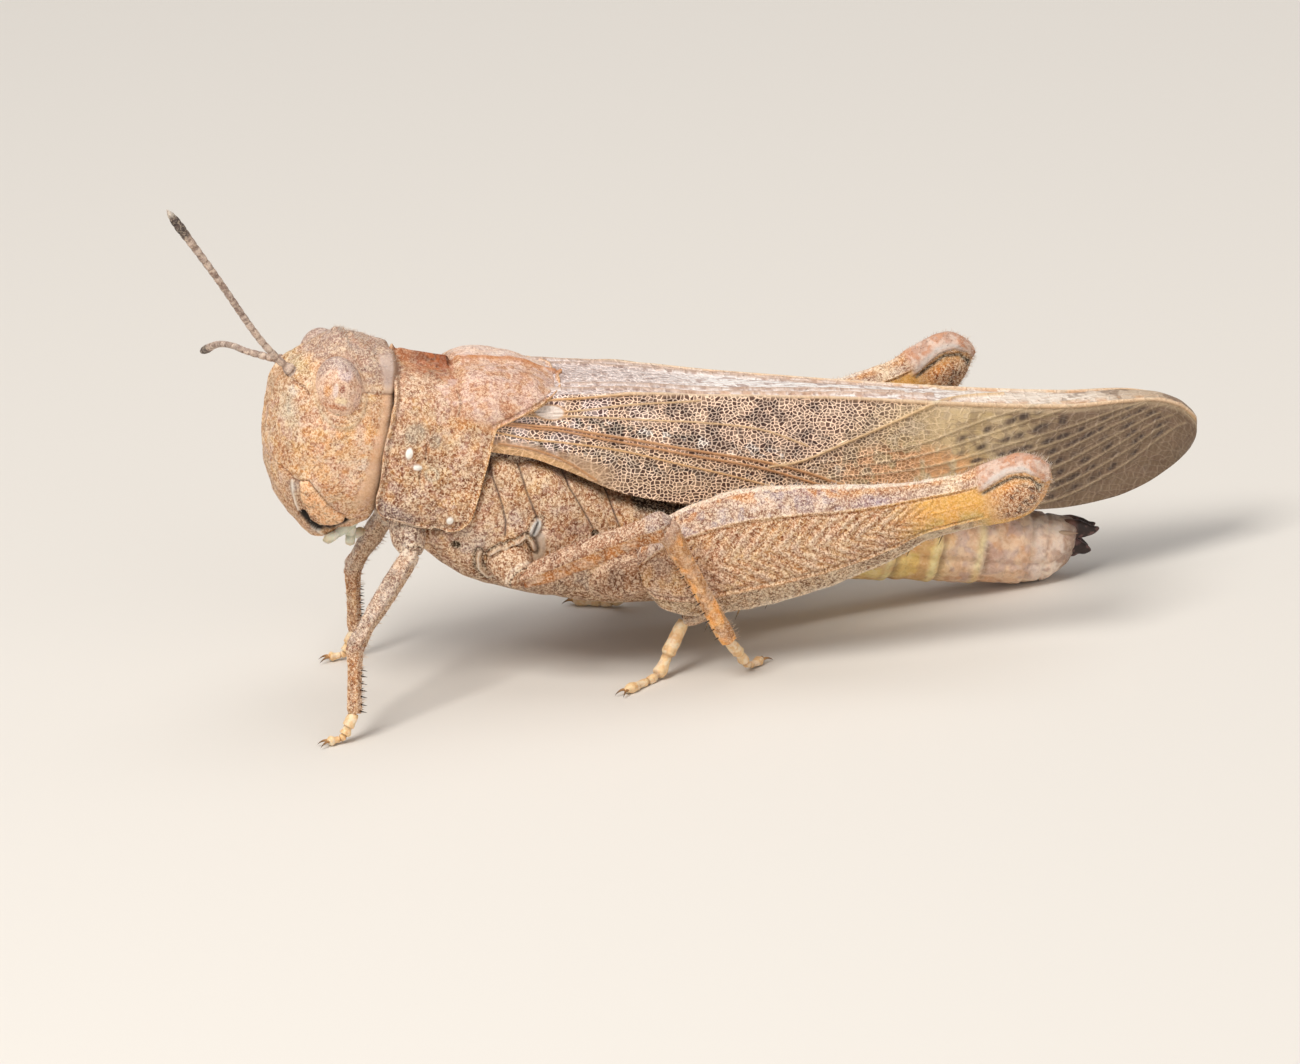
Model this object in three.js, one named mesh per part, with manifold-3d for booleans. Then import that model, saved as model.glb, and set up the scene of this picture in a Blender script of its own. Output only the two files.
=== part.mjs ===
// Female band-winged grasshopper at rest, life size, in millimetres.
//
// World frame: +Z up, head toward -Y, the animal's left toward +X, floor at Z = 0.
// Trunk frame: x to the animal's left, s tailward along the body, h toward its back.
// The trunk is pitched nose up, and the six feet and the tip of the belly meet the floor.

import * as THREE from 'three';
import { LoftGeometry } from 'three/addons/geometries/LoftGeometry.js';
import { mergeVertices } from 'three/addons/utils/BufferGeometryUtils.js';
import Module from 'manifold-3d';

const wasm = await Module();
wasm.setup();

// ---------------------------------------------------------------- driving dimensions

const GAP = 0.3; // clearance between neighbouring pieces
const THIN = 0.5; // least thickness of a wing, feeler or foot

const PITCH = THREE.MathUtils.degToRad( 15.5 ); // nose-up pitch of the trunk
const TRUNK_Y = - 5.5; // the trunk frame's origin in the world
const TRUNK_Z = 7.2;

const CUTICLE = new THREE.MeshStandardMaterial( { color: 0xb98a66, roughness: 0.75, metalness: 0 } );
const WING = new THREE.MeshStandardMaterial( { color: 0xc2a184, roughness: 0.6, metalness: 0 } );
const EYE = new THREE.MeshStandardMaterial( { color: 0x9c7d72, roughness: 0.3, metalness: 0 } );
const DARK = new THREE.MeshStandardMaterial( { color: 0x2d221e, roughness: 0.5, metalness: 0 } );
const FOOT = new THREE.MeshStandardMaterial( { color: 0xd8b070, roughness: 0.7, metalness: 0 } );

// ---------------------------------------------------------------- helpers: numbers and points

const { PI, sin, cos, abs, sign, max, min } = Math;
const lerp = THREE.MathUtils.lerp;

/** A smooth curve through rows of [ place, ...values ] that never overshoots them. */
function through( rows ) {

	const width = rows[ 0 ].length - 1;

	const slope = ( i, k ) => {

		const rise = ( a ) => ( rows[ a + 1 ][ k ] - rows[ a ][ k ] ) / ( rows[ a + 1 ][ 0 ] - rows[ a ][ 0 ] );
		const before = rise( max( i - 1, 0 ) );
		const after = rise( min( i, rows.length - 2 ) );
		return before * after > 0 ? 2 * before * after / ( before + after ) : 0;

	};

	return ( place ) => {

		let i = 0;
		while ( i < rows.length - 2 && place > rows[ i + 1 ][ 0 ] ) i ++;
		const span = rows[ i + 1 ][ 0 ] - rows[ i ][ 0 ];
		const t = THREE.MathUtils.clamp( ( place - rows[ i ][ 0 ] ) / span, 0, 1 );
		const values = [];
		for ( let k = 1; k <= width; k ++ ) {

			const a = rows[ i ][ k ];
			const b = rows[ i + 1 ][ k ];
			const ease = t * t * ( 3 - 2 * t );
			const lift = t * ( 1 - t ) * ( 1 - t ) * slope( i, k ) - t * t * ( 1 - t ) * slope( i + 1, k );
			values.push( lerp( a, b, ease ) + span * lift );

		}

		return values;

	};

}

/** A point of the trunk frame. */
const at = ( x, s, h ) => new THREE.Vector3( x, s, h );

/** Evenly spaced numbers from first to last, both included. */
function spread( first, last, count ) {

	return Array.from( { length: count }, ( _, i ) => lerp( first, last, i / ( count - 1 ) ) );

}

/** The cosine or sine of a rounded rectangle's outline: power 2 is an ellipse, more is squarer. */
const rounded = ( value, power ) => sign( value ) * abs( value ) ** ( 2 / power );

// ---------------------------------------------------------------- helpers: solids

/** The closed solid of a geometry whose surface closes on itself. */
function solid( geometry ) {

	const bare = new THREE.BufferGeometry();
	bare.setAttribute( 'position', geometry.getAttribute( 'position' ) );
	bare.setIndex( geometry.index );
	const merged = mergeVertices( bare, 1e-4 );
	const spots = merged.getAttribute( 'position' );
	const corners = [];
	let volume = 0;
	for ( let i = 0; i < merged.index.count; i += 3 ) {

		const [ a, b, c ] = [ 0, 1, 2 ].map( ( k ) => merged.index.getX( i + k ) );
		if ( a === b || b === c || c === a ) continue;
		corners.push( a, b, c );
		const [ p, q, r ] = [ a, b, c ].map( ( k ) => new THREE.Vector3().fromBufferAttribute( spots, k ) );
		volume += p.dot( q.cross( r ) );

	}

	if ( volume < 0 ) corners.reverse();
	return new wasm.Manifold( new wasm.Mesh( {
		numProp: 3,
		vertProperties: new Float32Array( spots.array ),
		triVerts: new Uint32Array( corners ),
	} ) );

}

/** A ring shrunk to its own centre, which closes the end of a loft. */
function pole( ring ) {

	const centre = ring.reduce( ( sum, point ) => sum.add( point ), at( 0, 0, 0 ) ).divideScalar( ring.length );
	return ring.map( () => centre );

}

/** The solid through a row of rings of points, with flat ends. */
function loft( rings ) {

	return solid( new LoftGeometry( [ pole( rings[ 0 ] ), ...rings, pole( rings.at( - 1 ) ) ] ) );

}

/** The largest closed body of a solid. */
function largest( body ) {

	return body.decompose().reduce( ( best, next ) => next.volume() > best.volume() ? next : best );

}

/** A ring through a left half outline of [ x, h ] points, top to bottom, and its mirror image. */
function symmetric( half, s ) {

	const left = half.map( ( [ x, h ] ) => at( x, s, h ) );
	const right = half.slice( 1, - 1 ).reverse().map( ( [ x, h ] ) => at( - x, s, h ) );
	return [ ...left, ...right ];

}

/** The body that a side outline of [ s, h ] points cuts out across the whole width. */
function sideCut( outline, halfWidth = 6 ) {

	const shape = new THREE.Shape( outline.map( ( [ s, h ] ) => new THREE.Vector2( s, h ) ) );
	const slab = new THREE.ExtrudeGeometry( shape, { depth: 2 * halfWidth, bevelEnabled: false } );
	const sideways = new THREE.Matrix4().makeBasis( at( 0, 1, 0 ), at( 0, 0, 1 ), at( 1, 0, 0 ) );
	slab.applyMatrix4( sideways.setPosition( - halfWidth, 0, 0 ) );
	return solid( slab );

}

/** An outline moved outward by a distance, each point along the mean of its edges' normals. */
function swell( outline, distance ) {

	const turn = sign( THREE.ShapeUtils.area( outline.map( ( [ s, h ] ) => new THREE.Vector2( s, h ) ) ) );
	return outline.map( ( [ s, h ], i ) => {

		const [ s0, h0 ] = outline.at( i - 1 );
		const [ s1, h1 ] = outline[ ( i + 1 ) % outline.length ];
		const before = new THREE.Vector2( h - h0, s0 - s ).normalize();
		const after = new THREE.Vector2( h1 - h, s - s1 ).normalize();
		const normal = before.add( after );
		const reach = turn * distance * 2 / max( normal.lengthSq(), 1 );
		return [ s + normal.x * reach, h + normal.y * reach ];

	} );

}

/** A thin slot, one gap wide, along a side polyline of [ s, h ] points and across the whole width. */
function slot( line ) {

	const sides = [ GAP / 2, - GAP / 2 ].map( ( reach ) => line.map( ( [ s, h ], i ) => {

		const [ s0, h0 ] = line[ max( i - 1, 0 ) ];
		const [ s1, h1 ] = line[ min( i + 1, line.length - 1 ) ];
		const normal = new THREE.Vector2( h1 - h0, s0 - s1 ).normalize();
		return [ s + normal.x * reach, h + normal.y * reach ];

	} ) );
	return sideCut( [ ...sides[ 0 ], ...sides[ 1 ].reverse() ] );

}

/**
 * A tapering limb along a smooth path. Its rows are [ part of the length, half width along
 * `side`, half height ], and `grow` makes it larger all round, to cut a neighbour clear of it.
 */
function limb( path, rows, { sides = 8, rings = 8, side = at( 1, 0, 0 ), power = 2, grow = 0 } = {} ) {

	const curve = new THREE.CatmullRomCurve3( path, false, 'centripetal' );
	const size = through( rows );
	return loft( spread( 0, 1, rings + 1 ).map( ( part ) => {

		const along = curve.getTangentAt( part );
		const across = side.clone().addScaledVector( along, - side.dot( along ) ).normalize();
		const over = new THREE.Vector3().crossVectors( along, across );
		const centre = curve.getPointAt( part );
		if ( part === 0 ) centre.addScaledVector( along, - grow );
		if ( part === 1 ) centre.addScaledVector( along, grow );
		const [ a, b ] = size( part ).map( ( half ) => half + grow );
		return Array.from( { length: sides }, ( _, j ) => {

			const turn = 2 * PI * ( j + 0.5 ) / sides;
			return centre.clone()
				.addScaledVector( across, a * rounded( cos( turn ), power ) )
				.addScaledVector( over, b * rounded( sin( turn ), power ) );

		} );

	} ) );

}

/** An ellipsoid at a centre, with its radii along x, s and h. */
function ellipsoid( centre, radii, segments = 12 ) {

	const ball = new THREE.SphereGeometry( 1, segments, Math.round( segments * 0.7 ) );
	ball.scale( ...radii.toArray() );
	ball.translate( ...centre.toArray() );
	return solid( ball );

}

/** A solid moved by a matrix. */
const moved = ( body, matrix ) => body.transform( matrix.elements );

/** The mirror image of a solid in the animal's middle plane. */
const mirrored = ( body ) => moved( body, new THREE.Matrix4().makeScale( - 1, 1, 1 ) );

/** A named mesh of a solid. */
function piece( name, body, material ) {

	const { vertProperties, triVerts } = largest( body ).getMesh();
	const geometry = new THREE.BufferGeometry();
	geometry.setAttribute( 'position', new THREE.BufferAttribute( vertProperties, 3 ) );
	geometry.setIndex( new THREE.BufferAttribute( triVerts, 1 ) );
	geometry.computeVertexNormals();
	const mesh = new THREE.Mesh( geometry, material );
	mesh.name = name;
	return mesh;

}

const trunkToWorld = new THREE.Matrix4().makeRotationX( - PITCH ).setPosition( 0, TRUNK_Y, TRUNK_Z );
const worldToTrunk = trunkToWorld.clone().invert();

/** A world point given by its place in the trunk frame. */
const inWorld = ( x, s, h ) => at( x, s, h ).applyMatrix4( trunkToWorld );

/** Everything below the floor, in the world frame. */
const underFloor = solid( new THREE.BoxGeometry( 60, 80, 10 ).translate( 0, 0, - 5 ) );

// ---------------------------------------------------------------- thorax

// Rows: s, top, wing ledge height, belly height, half width at the flank, half width low down.
const thoraxRows = through( [
	[ - 3.15, - 1.55, - 1.75, - 2.1, 0.9, 0.7 ],
	[ - 1.6, - 1.2, - 1.6, - 2.95, 1.7, 1.2 ],
	[ - 0.75, 0.6, - 0.6, - 3.45, 2.3, 1.7 ],
	[ - 0.2, 2.5, 1.2, - 3.7, 2.75, 2.1 ],
	[ 1.0, 2.5, 1.15, - 3.88, 2.88, 2.3 ],
	[ 2.2, 2.35, 0.9, - 3.98, 2.9, 2.35 ],
	[ 3.4, 1.8, 0.45, - 4.02, 2.88, 2.35 ],
	[ 4.6, 1.6, 0.1, - 4.03, 2.8, 2.3 ],
	[ 6.35, 1.4, - 0.05, - 3.85, 2.55, 2.05 ],
] );
const THORAX_END = 6.35;
const THORAX_PLACES = [ - 3.15, - 2.4, - 1.6, - 1.1, - 0.75, - 0.45, - 0.2, 0.3, 1.0, 2.2, 3.4, 4.6, 5.5 ];

function thoraxSolid( grow = 0 ) {

	const places = [ ...THORAX_PLACES, THORAX_END ];
	return loft( places.map( ( s, i ) => {

		const [ top, ledge, belly, flank, low ] = thoraxRows( s );
		const end = i === 0 ? - grow : i === places.length - 1 ? grow : 0;
		const neck = min( 1.75, flank * 0.7 );
		const half = [
			[ 0, top + grow ],
			[ neck * 0.62 + grow, top - 0.12 + grow ],
			[ neck + grow, lerp( top, ledge, 0.35 ) + grow ],
			[ neck + 0.12 + grow, ledge + 0.1 + grow ],
			[ flank - 0.12 + grow, ledge - min( 0.35, 0.15 * ( ledge - belly ) ) + grow ],
			[ flank + grow, lerp( ledge, belly, 0.35 ) ],
			[ lerp( low, flank, 0.55 ) + grow, lerp( ledge, belly, 0.68 ) ],
			[ low * 0.72 + grow, lerp( ledge, belly, 0.93 ) - grow ],
			[ 0, belly - grow ],
		];
		return symmetric( half, s + end );

	} ) );

}

const thorax = thoraxSolid();
const thoraxGrown = thoraxSolid( GAP ).add( thoraxSolid( GAP ).translate( 0, - GAP, 0 ) );

// ---------------------------------------------------------------- pronotum

// Rows: s, crest height, disc height, shoulder half width, shoulder height, half width of the side lobe.
const pronotumRows = through( [
	[ - 4.35, 3.96, 3.31, 1.95, 2.75, 2.35 ],
	[ - 3.1, 3.77, 3.22, 2.05, 2.75, 2.5 ],
	[ - 1.85, 3.74, 3.25, 2.15, 2.8, 2.6 ],
	[ - 1.68, 3.6, 3.24, 2.2, 2.85, 2.62 ],
	[ - 1.5, 3.74, 3.45, 2.3, 2.9, 2.65 ],
	[ - 0.6, 3.86, 3.65, 2.65, 3.0, 2.85 ],
	[ 0.6, 3.88, 3.62, 2.7, 3.05, 2.9 ],
	[ 1.5, 3.7, 3.48, 2.4, 3.05, 2.8 ],
	[ 2.5, 3.5, 3.3, 2.0, 2.95, 2.7 ],
] );

const PRONOTUM_REAR = [
	[ 2.3, 3.62 ], [ 1.5, 3.3 ], [ 0.78, 2.99 ], [ 0.07, 2.54 ], [ - 0.37, 2.2 ],
	[ - 0.45, 1.4 ], [ - 0.6, - 0.28 ], [ - 0.68, - 0.98 ], [ - 0.9, - 1.48 ], [ - 1.32, - 1.67 ],
];
const PRONOTUM_FRONT = [
	[ - 1.9, - 1.67 ], [ - 2.6, - 1.54 ], [ - 3.72, - 1.35 ], [ - 3.92, - 0.9 ], [ - 3.9, - 0.37 ],
	[ - 3.96, 0.8 ], [ - 3.9, 1.7 ], [ - 3.8, 2.9 ], [ - 3.8, 4.6 ],
];
const PRONOTUM_OUTLINE = [ [ 2.5, 4.6 ], ...PRONOTUM_REAR, ...PRONOTUM_FRONT ];

function pronotumSolid( grow = 0 ) {

	const places = [ - 4.7, - 4.1, - 3.4, - 2.6, - 1.85, - 1.68, - 1.5, - 0.9, - 0.3, 0.3, 0.9, 1.5, 2.1, 2.9 ];
	const roof = loft( places.map( ( s ) => {

		const [ crest, disc, shoulder, brow, lobe ] = pronotumRows( s );
		const half = [
			[ 0, crest + grow ],
			[ 0.22, lerp( crest, disc, 0.4 ) + grow ],
			[ shoulder * 0.66 + grow, disc + grow ],
			[ shoulder + grow, brow + grow * 0.7 ],
			[ lerp( shoulder, lobe, 0.75 ) + grow, 1.9 ],
			[ lobe + grow, 0.4 ],
			[ lobe - 0.12 + grow, - 1.1 ],
			[ lobe - 0.55 + grow, - 2.1 - grow ],
			[ 0, - 2.3 - grow ],
		];
		return symmetric( half, s );

	} ) );
	return roof.intersect( sideCut( grow > 0 ? swell( PRONOTUM_OUTLINE, grow ) : PRONOTUM_OUTLINE ) );

}

const pronotumGrown = pronotumSolid( GAP );
const pronotum = pronotumSolid().subtract( thoraxGrown );

// ---------------------------------------------------------------- head and its parts

// Rows: height, front of the face, back of the head, half width, squareness of the outline.
const headRows = through( [
	[ - 2.88, - 5.6, - 4.95, 0.55, 2.2 ],
	[ - 2.55, - 6.05, - 4.5, 1.0, 2.3 ],
	[ - 1.7, - 6.85, - 3.3, 1.8, 2.4 ],
	[ - 0.6, - 7.4, - 2.8, 2.2, 2.5 ],
	[ 0.9, - 7.68, - 2.5, 2.3, 2.5 ],
	[ 2.2, - 7.68, - 2.5, 2.05, 2.4 ],
	[ 3.05, - 7.4, - 2.6, 1.85, 2.3 ],
	[ 3.5, - 6.8, - 2.9, 1.7, 2.2 ],
	[ 3.95, - 6.4, - 4.1, 1.35, 2.1 ],
	[ 4.22, - 6.15, - 4.9, 0.9, 2 ],
	[ 4.38, - 5.95, - 5.4, 0.35, 2 ],
] );
const HEAD_HEIGHTS = [
	- 2.88, - 2.7, - 2.4, - 1.9, - 1.3, - 0.6, 0.2, 1, 1.8, 2.5, 3.05, 3.45, 3.8, 4.08, 4.26, 4.38,
];
const HEAD_SIDES = 18;

function headSolid( grow = 0 ) {

	return loft( HEAD_HEIGHTS.map( ( h, i ) => {

		const [ front, back, half, power ] = headRows( h );
		const end = i === 0 ? - grow : i === HEAD_HEIGHTS.length - 1 ? grow : 0;
		const middle = ( front + back ) / 2;
		const deep = ( back - front ) / 2;
		return Array.from( { length: HEAD_SIDES }, ( _, j ) => {

			const turn = 2 * PI * j / HEAD_SIDES;
			const x = ( half + grow ) * rounded( sin( turn ), power );
			return at( x, middle - ( deep + grow ) * rounded( cos( turn ), power ), h + end );

		} );

	} ) );

}

const EYE_CENTRE = at( 1.55, - 5.7, 2.74 );
const EYE_RADII = at( 0.82, 0.74, 1.1 );

const eye = ellipsoid( EYE_CENTRE, EYE_RADII );
const eyeGrown = ellipsoid( EYE_CENTRE, EYE_RADII.clone().addScalar( GAP ) );

// Lines that part the mouth from the head, seen from the side.
const LABRUM_LINE = [
	[ - 8.4, - 1.05 ], [ - 6.75, - 1.05 ], [ - 6.0, - 2.05 ], [ - 5.45, - 2.45 ], [ - 4.6, - 3.4 ],
];
const MOUTH_LINE = [ [ - 6.75, - 1.05 ], [ - 4.95, - 1.35 ], [ - 3.4, - 1.75 ] ];
const LABIUM_LINE = [ [ - 5.1, - 1.32 ], [ - 4.95, - 2.3 ], [ - 4.95, - 3.4 ] ];

const lips = [ LABRUM_LINE, MOUTH_LINE, LABIUM_LINE ].reduce( ( whole, line ) => whole.subtract( slot( line ) ),
	headSolid().subtract( sideCut( swell( PRONOTUM_OUTLINE, GAP ) ) ) );
const jawSlot = solid( new THREE.BoxGeometry( GAP, 2.6, 3 ).translate( 0, - 6.3, - 2.2 ) );

/** The piece of the parted head that holds a point's nearest centre. */
function parted( body, spot ) {

	const distance = ( part ) => {

		const { min: low, max: high } = part.boundingBox();
		return at( ...low ).add( at( ...high ) ).multiplyScalar( 0.5 ).distanceTo( spot );

	};

	return body.decompose().reduce( ( best, next ) => distance( next ) < distance( best ) ? next : best );

}

const labrum = parted( lips, at( 0, - 6.4, - 2 ) );
const labium = parted( lips, at( 0, - 4.5, - 2 ) );
const jaws = parted( lips, at( 0, - 5.7, - 1.7 ) ).subtract( jawSlot );
const head = largest( lips ).subtract( eyeGrown ).subtract( mirrored( eyeGrown ) );

/** A palp that hangs from the lower lip, bent once. */
function palp( x, s, length ) {

	const root = at( x, s, - 1.9 );
	const bend = at( x + 0.45, s - 0.05, - 1.9 - length * 0.6 );
	const tip = at( x + 0.3, s - 0.3, - 1.9 - length );
	const rows = [ [ 0, 0.25, 0.25 ], [ 0.7, 0.26, 0.26 ], [ 1, 0.16, 0.16 ] ];
	return limb( [ root, bend, tip ], rows, { sides: 5, rings: 3 } );

}

const palps = [ palp( 0.85, - 4.45, 1.35 ), palp( 0.35, - 4.25, 1.15 ) ];
const lowerLip = palps.reduce( ( lip, one ) => lip.add( one ).add( mirrored( one ) ), labium );

const FEELER_ROWS = [ [ 0, 0.42, 0.42 ], [ 0.07, 0.36, 0.36 ], [ 0.11, 0.25, 0.25 ], [ 0.8, 0.25, 0.25 ],
	[ 0.92, 0.29, 0.26 ], [ 1, 0.16, 0.16 ] ];
const feelerRoot = at( 0.72, - 7.2, 2.75 );

/** A feeler from the brow through two world points. */
function feeler( ...points ) {

	const path = [ feelerRoot, ...points.map( ( spot ) => spot.clone().applyMatrix4( worldToTrunk ) ) ];
	return limb( path, FEELER_ROWS, { sides: 6, rings: 18, side: at( 0.3, 1, 0 ) } )
		.subtract( headSolid( GAP * 1.3 ) );

}

const feelerLeft = feeler( at( 1.05, - 12.55, 13.1 ), at( 1.6, - 14.01, 15.97 ), at( 2.2, - 15.48, 18.77 ) );
const feelerRight = mirrored( feeler(
	at( 1.2, - 12.75, 12.1 ), at( 2.5, - 13.1, 11.95 ), at( 4.0, - 13.4, 11.55 ), at( 5.6, - 13.75, 10.8 ),
) );

// ---------------------------------------------------------------- abdomen

const ABDOMEN_START = THORAX_END + GAP;
const ABDOMEN_END = 20.7;
const SEGMENTS = 9;

// Rows: s, back height, belly height, half width.
const abdomenRows = through( [
	[ 6.6, 1.4, - 3.75, 2.15 ],
	[ 9, 1.4, - 3.4, 2.1 ],
	[ 12, 1.1, - 2.75, 1.75 ],
	[ 15, 0.8, - 2.38, 1.5 ],
	[ 18, 0.5, - 2.2, 1.25 ],
	[ 19.8, 0.35, - 1.98, 1.0 ],
	[ 20.7, 0.28, - 1.18, 0.7 ],
] );
const RING_STEP = 0.07; // how far each body ring stands over the next one's front
const RING_SIDES = 14;
const RING_POWER = 2.2;

function abdomenSolid( grow = 0 ) {

	const places = [];
	for ( let ring = 0; ring < SEGMENTS; ring ++ ) {

		const start = lerp( ABDOMEN_START, ABDOMEN_END, ring / SEGMENTS );
		const end = lerp( ABDOMEN_START, ABDOMEN_END, ( ring + 1 ) / SEGMENTS );
		places.push( [ start, - RING_STEP ], [ lerp( start, end, 0.3 ), 0 ], [ end - 0.08, RING_STEP * 0.5 ] );

	}

	return loft( places.map( ( [ s, lift ], i ) => {

		const [ back, belly, half ] = abdomenRows( s );
		const end = i === 0 ? - grow : i === places.length - 1 ? grow : 0;
		const middle = ( back + belly ) / 2;
		return Array.from( { length: RING_SIDES }, ( _, j ) => {

			const turn = 2 * PI * ( j + 0.5 ) / RING_SIDES;
			const x = ( half + lift + grow ) * rounded( cos( turn ), RING_POWER );
			const high = ( ( back - belly ) / 2 + lift + grow ) * rounded( sin( turn ), RING_POWER );
			return at( x, s + end, middle + high );

		} );

	} ) );

}

const abdomen = abdomenSolid().subtract( moved( underFloor, worldToTrunk ) );

/** One pair of egg-laying valves, fused at their root, turned up or down at the tip. */
function valves( up ) {

	const root = at( 0.28, ABDOMEN_END, up ? 0 : - 0.8 );
	const tip = at( 0.3, ABDOMEN_END + ( up ? 0.85 : 0.7 ), up ? 0.12 : - 0.92 );
	const blade = limb( [ root, root.clone().lerp( tip, 0.5 ), tip ],
		[ [ 0, 0.34, 0.25 ], [ 0.6, 0.26, 0.22 ], [ 1, 0.1, 0.1 ] ], { sides: 6, rings: 3 } );
	return blade.add( mirrored( blade ) ).subtract( abdomenSolid( GAP ) );

}

// ---------------------------------------------------------------- wings

// Rows: s, half width at the fold, height at the fold, half width and height at the lower edge.
const wingRows = through( [
	[ - 1.2, 2.15, 3.25, 2.75, 1.4 ],
	[ 0.8, 2.15, 3.3, 2.85, 1.35 ],
	[ 2.0, 2.05, 3.42, 2.88, 1.1 ],
	[ 4.5, 1.7, 3.6, 2.9, 0.42 ],
	[ 6.4, 1.55, 3.65, 2.85, 0.28 ],
	[ 9.3, 1.2, 3.8, 2.65, 0.3 ],
	[ 12, 0.95, 3.95, 2.35, 0.4 ],
	[ 16, 0.85, 4.16, 1.8, 0.65 ],
	[ 19.6, 0.8, 4.42, 1.2, 0.92 ],
	[ 21.6, 0.78, 4.75, 0.95, 1.2 ],
	[ 22.7, 0.77, 4.86, 0.88, 1.65 ],
	[ 23.5, 0.76, 4.6, 0.82, 2.1 ],
	[ 24.0, 0.75, 4.2, 0.78, 2.65 ],
	[ 24.3, 0.75, 3.75, 0.77, 3.2 ],
] );

// Rows: s, then the main veins' places from the fold (0) to the lower edge (1).
const veinRows = through( [
	[ - 1.2, 0.14, 0.27, 0.68 ],
	[ 1.8, 0.17, 0.42, 0.73 ],
	[ 6.3, 0.2, 0.42, 0.72 ],
	[ 9.4, 0.27, 0.52, 0.8 ],
	[ 10.7, 0.27, 0.62, 0.86 ],
	[ 12, 0.22, 0.7, 0.88 ],
	[ 13.3, 0.12, 0.74, 0.89 ],
	[ 16, 0.1, 0.75, 0.89 ],
	[ 24.3, 0.12, 0.74, 0.88 ],
] );
const VEIN_HIGH = 0.13;
const VEIN_HALF = 0.03; // half the foot of a vein, as part of the side field's width
const TWIN_STEP = 0.055; // from one crest of the double vein to the other
const FIELD_BULGE = 0.14; // how far the side field bows outward

// The oblique vein climbs from the double vein to the upper one as it runs tailward.
const OBLIQUE = [ [ 9.6, 'double' ], [ 10, 'foot' ], [ 10.5, 'low' ], [ 11.3, 'high' ], [ 12, 'upper' ] ];

const WING_PLACES = [
	- 0.8, 0.6, 2, 3.6, 5.4, 7.4, 8.9, 9.6, 10, 10.5, 11.3, 12, 13.2, 15, 17, 19, 20.6, 22, 23, 23.6, 24.05, 24.3,
];

/** The columns of the side field at s: [ name, part of the field from fold to lower edge, height ]. */
function sideColumns( s ) {

	const [ upper, double, sub ] = veinRows( s );
	const twin = double + TWIN_STEP;
	const young = THREE.MathUtils.smoothstep( s, 12, 14 );
	const fading = 1 - 0.7 * THREE.MathUtils.smoothstep( s, 20, 24 );
	const climb = ( name ) => OBLIQUE.some( ( [ place, column ] ) => column === name && place === s ) ? 1 : 0;
	return [
		[ 'fold', 0, 0.7 ],
		[ 'upperFoot', upper - VEIN_HALF, 0 ],
		[ 'upper', upper, fading ],
		[ 'upperHeel', upper + VEIN_HALF, 0 ],
		[ 'high', lerp( upper, double, 0.36 ), max( young * fading * 0.7, climb( 'high' ) ) ],
		[ 'low', lerp( upper, double, 0.66 ), max( young * fading * 0.7, climb( 'low' ) ) ],
		[ 'foot', double - VEIN_HALF, climb( 'foot' ) ],
		[ 'double', double, fading ],
		[ 'valley', ( double + twin ) / 2, 0.3 * fading ],
		[ 'twin', twin, fading ],
		[ 'heel', twin + VEIN_HALF, 0 ],
		[ 'subFoot', sub - VEIN_HALF, 0 ],
		[ 'sub', sub, fading ],
		[ 'subHeel', sub + VEIN_HALF, 0 ],
		[ 'rim', 1, 0.4 ],
	];

}

/** The left forewing: a flat field on the back and a side field, both one thickness, with veins. */
function forewing() {

	const outer = [];
	const inner = [];
	for ( const s of WING_PLACES ) {

		const [ foldX, foldH, lowX, lowH ] = wingRows( s );
		const seam = at( GAP / 2, s, foldH + 0.1 );
		const fold = at( foldX, s, foldH );
		const low = at( lowX, s, lowH );
		const down = low.clone().sub( fold ).normalize();
		const outward = at( - down.z, 0, down.x );
		const innerFold = at( foldX - THIN * 0.72, s, foldH - THIN );
		const innerLow = low.clone().addScaledVector( outward, - THIN );
		const bulge = ( part ) => FIELD_BULGE * sin( PI * part );
		const outerRow = [ seam ];
		const innerRow = [ seam.clone().setZ( seam.z - THIN ) ];
		for ( const [ part, high ] of [ [ 0.42, 0 ], [ 0.5, 1 ], [ 0.58, 0 ] ] ) {

			outerRow.push( seam.clone().lerp( fold, part ).add( at( 0, 0, high * VEIN_HIGH ) ) );
			innerRow.push( innerRow[ 0 ].clone().lerp( innerFold, part ) );

		}

		for ( const [ , part, high ] of sideColumns( s ) ) {

			outerRow.push( fold.clone().lerp( low, part ).addScaledVector( outward, high * VEIN_HIGH + bulge( part ) ) );
			innerRow.push( innerFold.clone().lerp( innerLow, part ).addScaledVector( outward, bulge( part ) ) );

		}

		outer.push( outerRow );
		inner.push( innerRow );

	}

	return slab( outer, inner );

}

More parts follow.
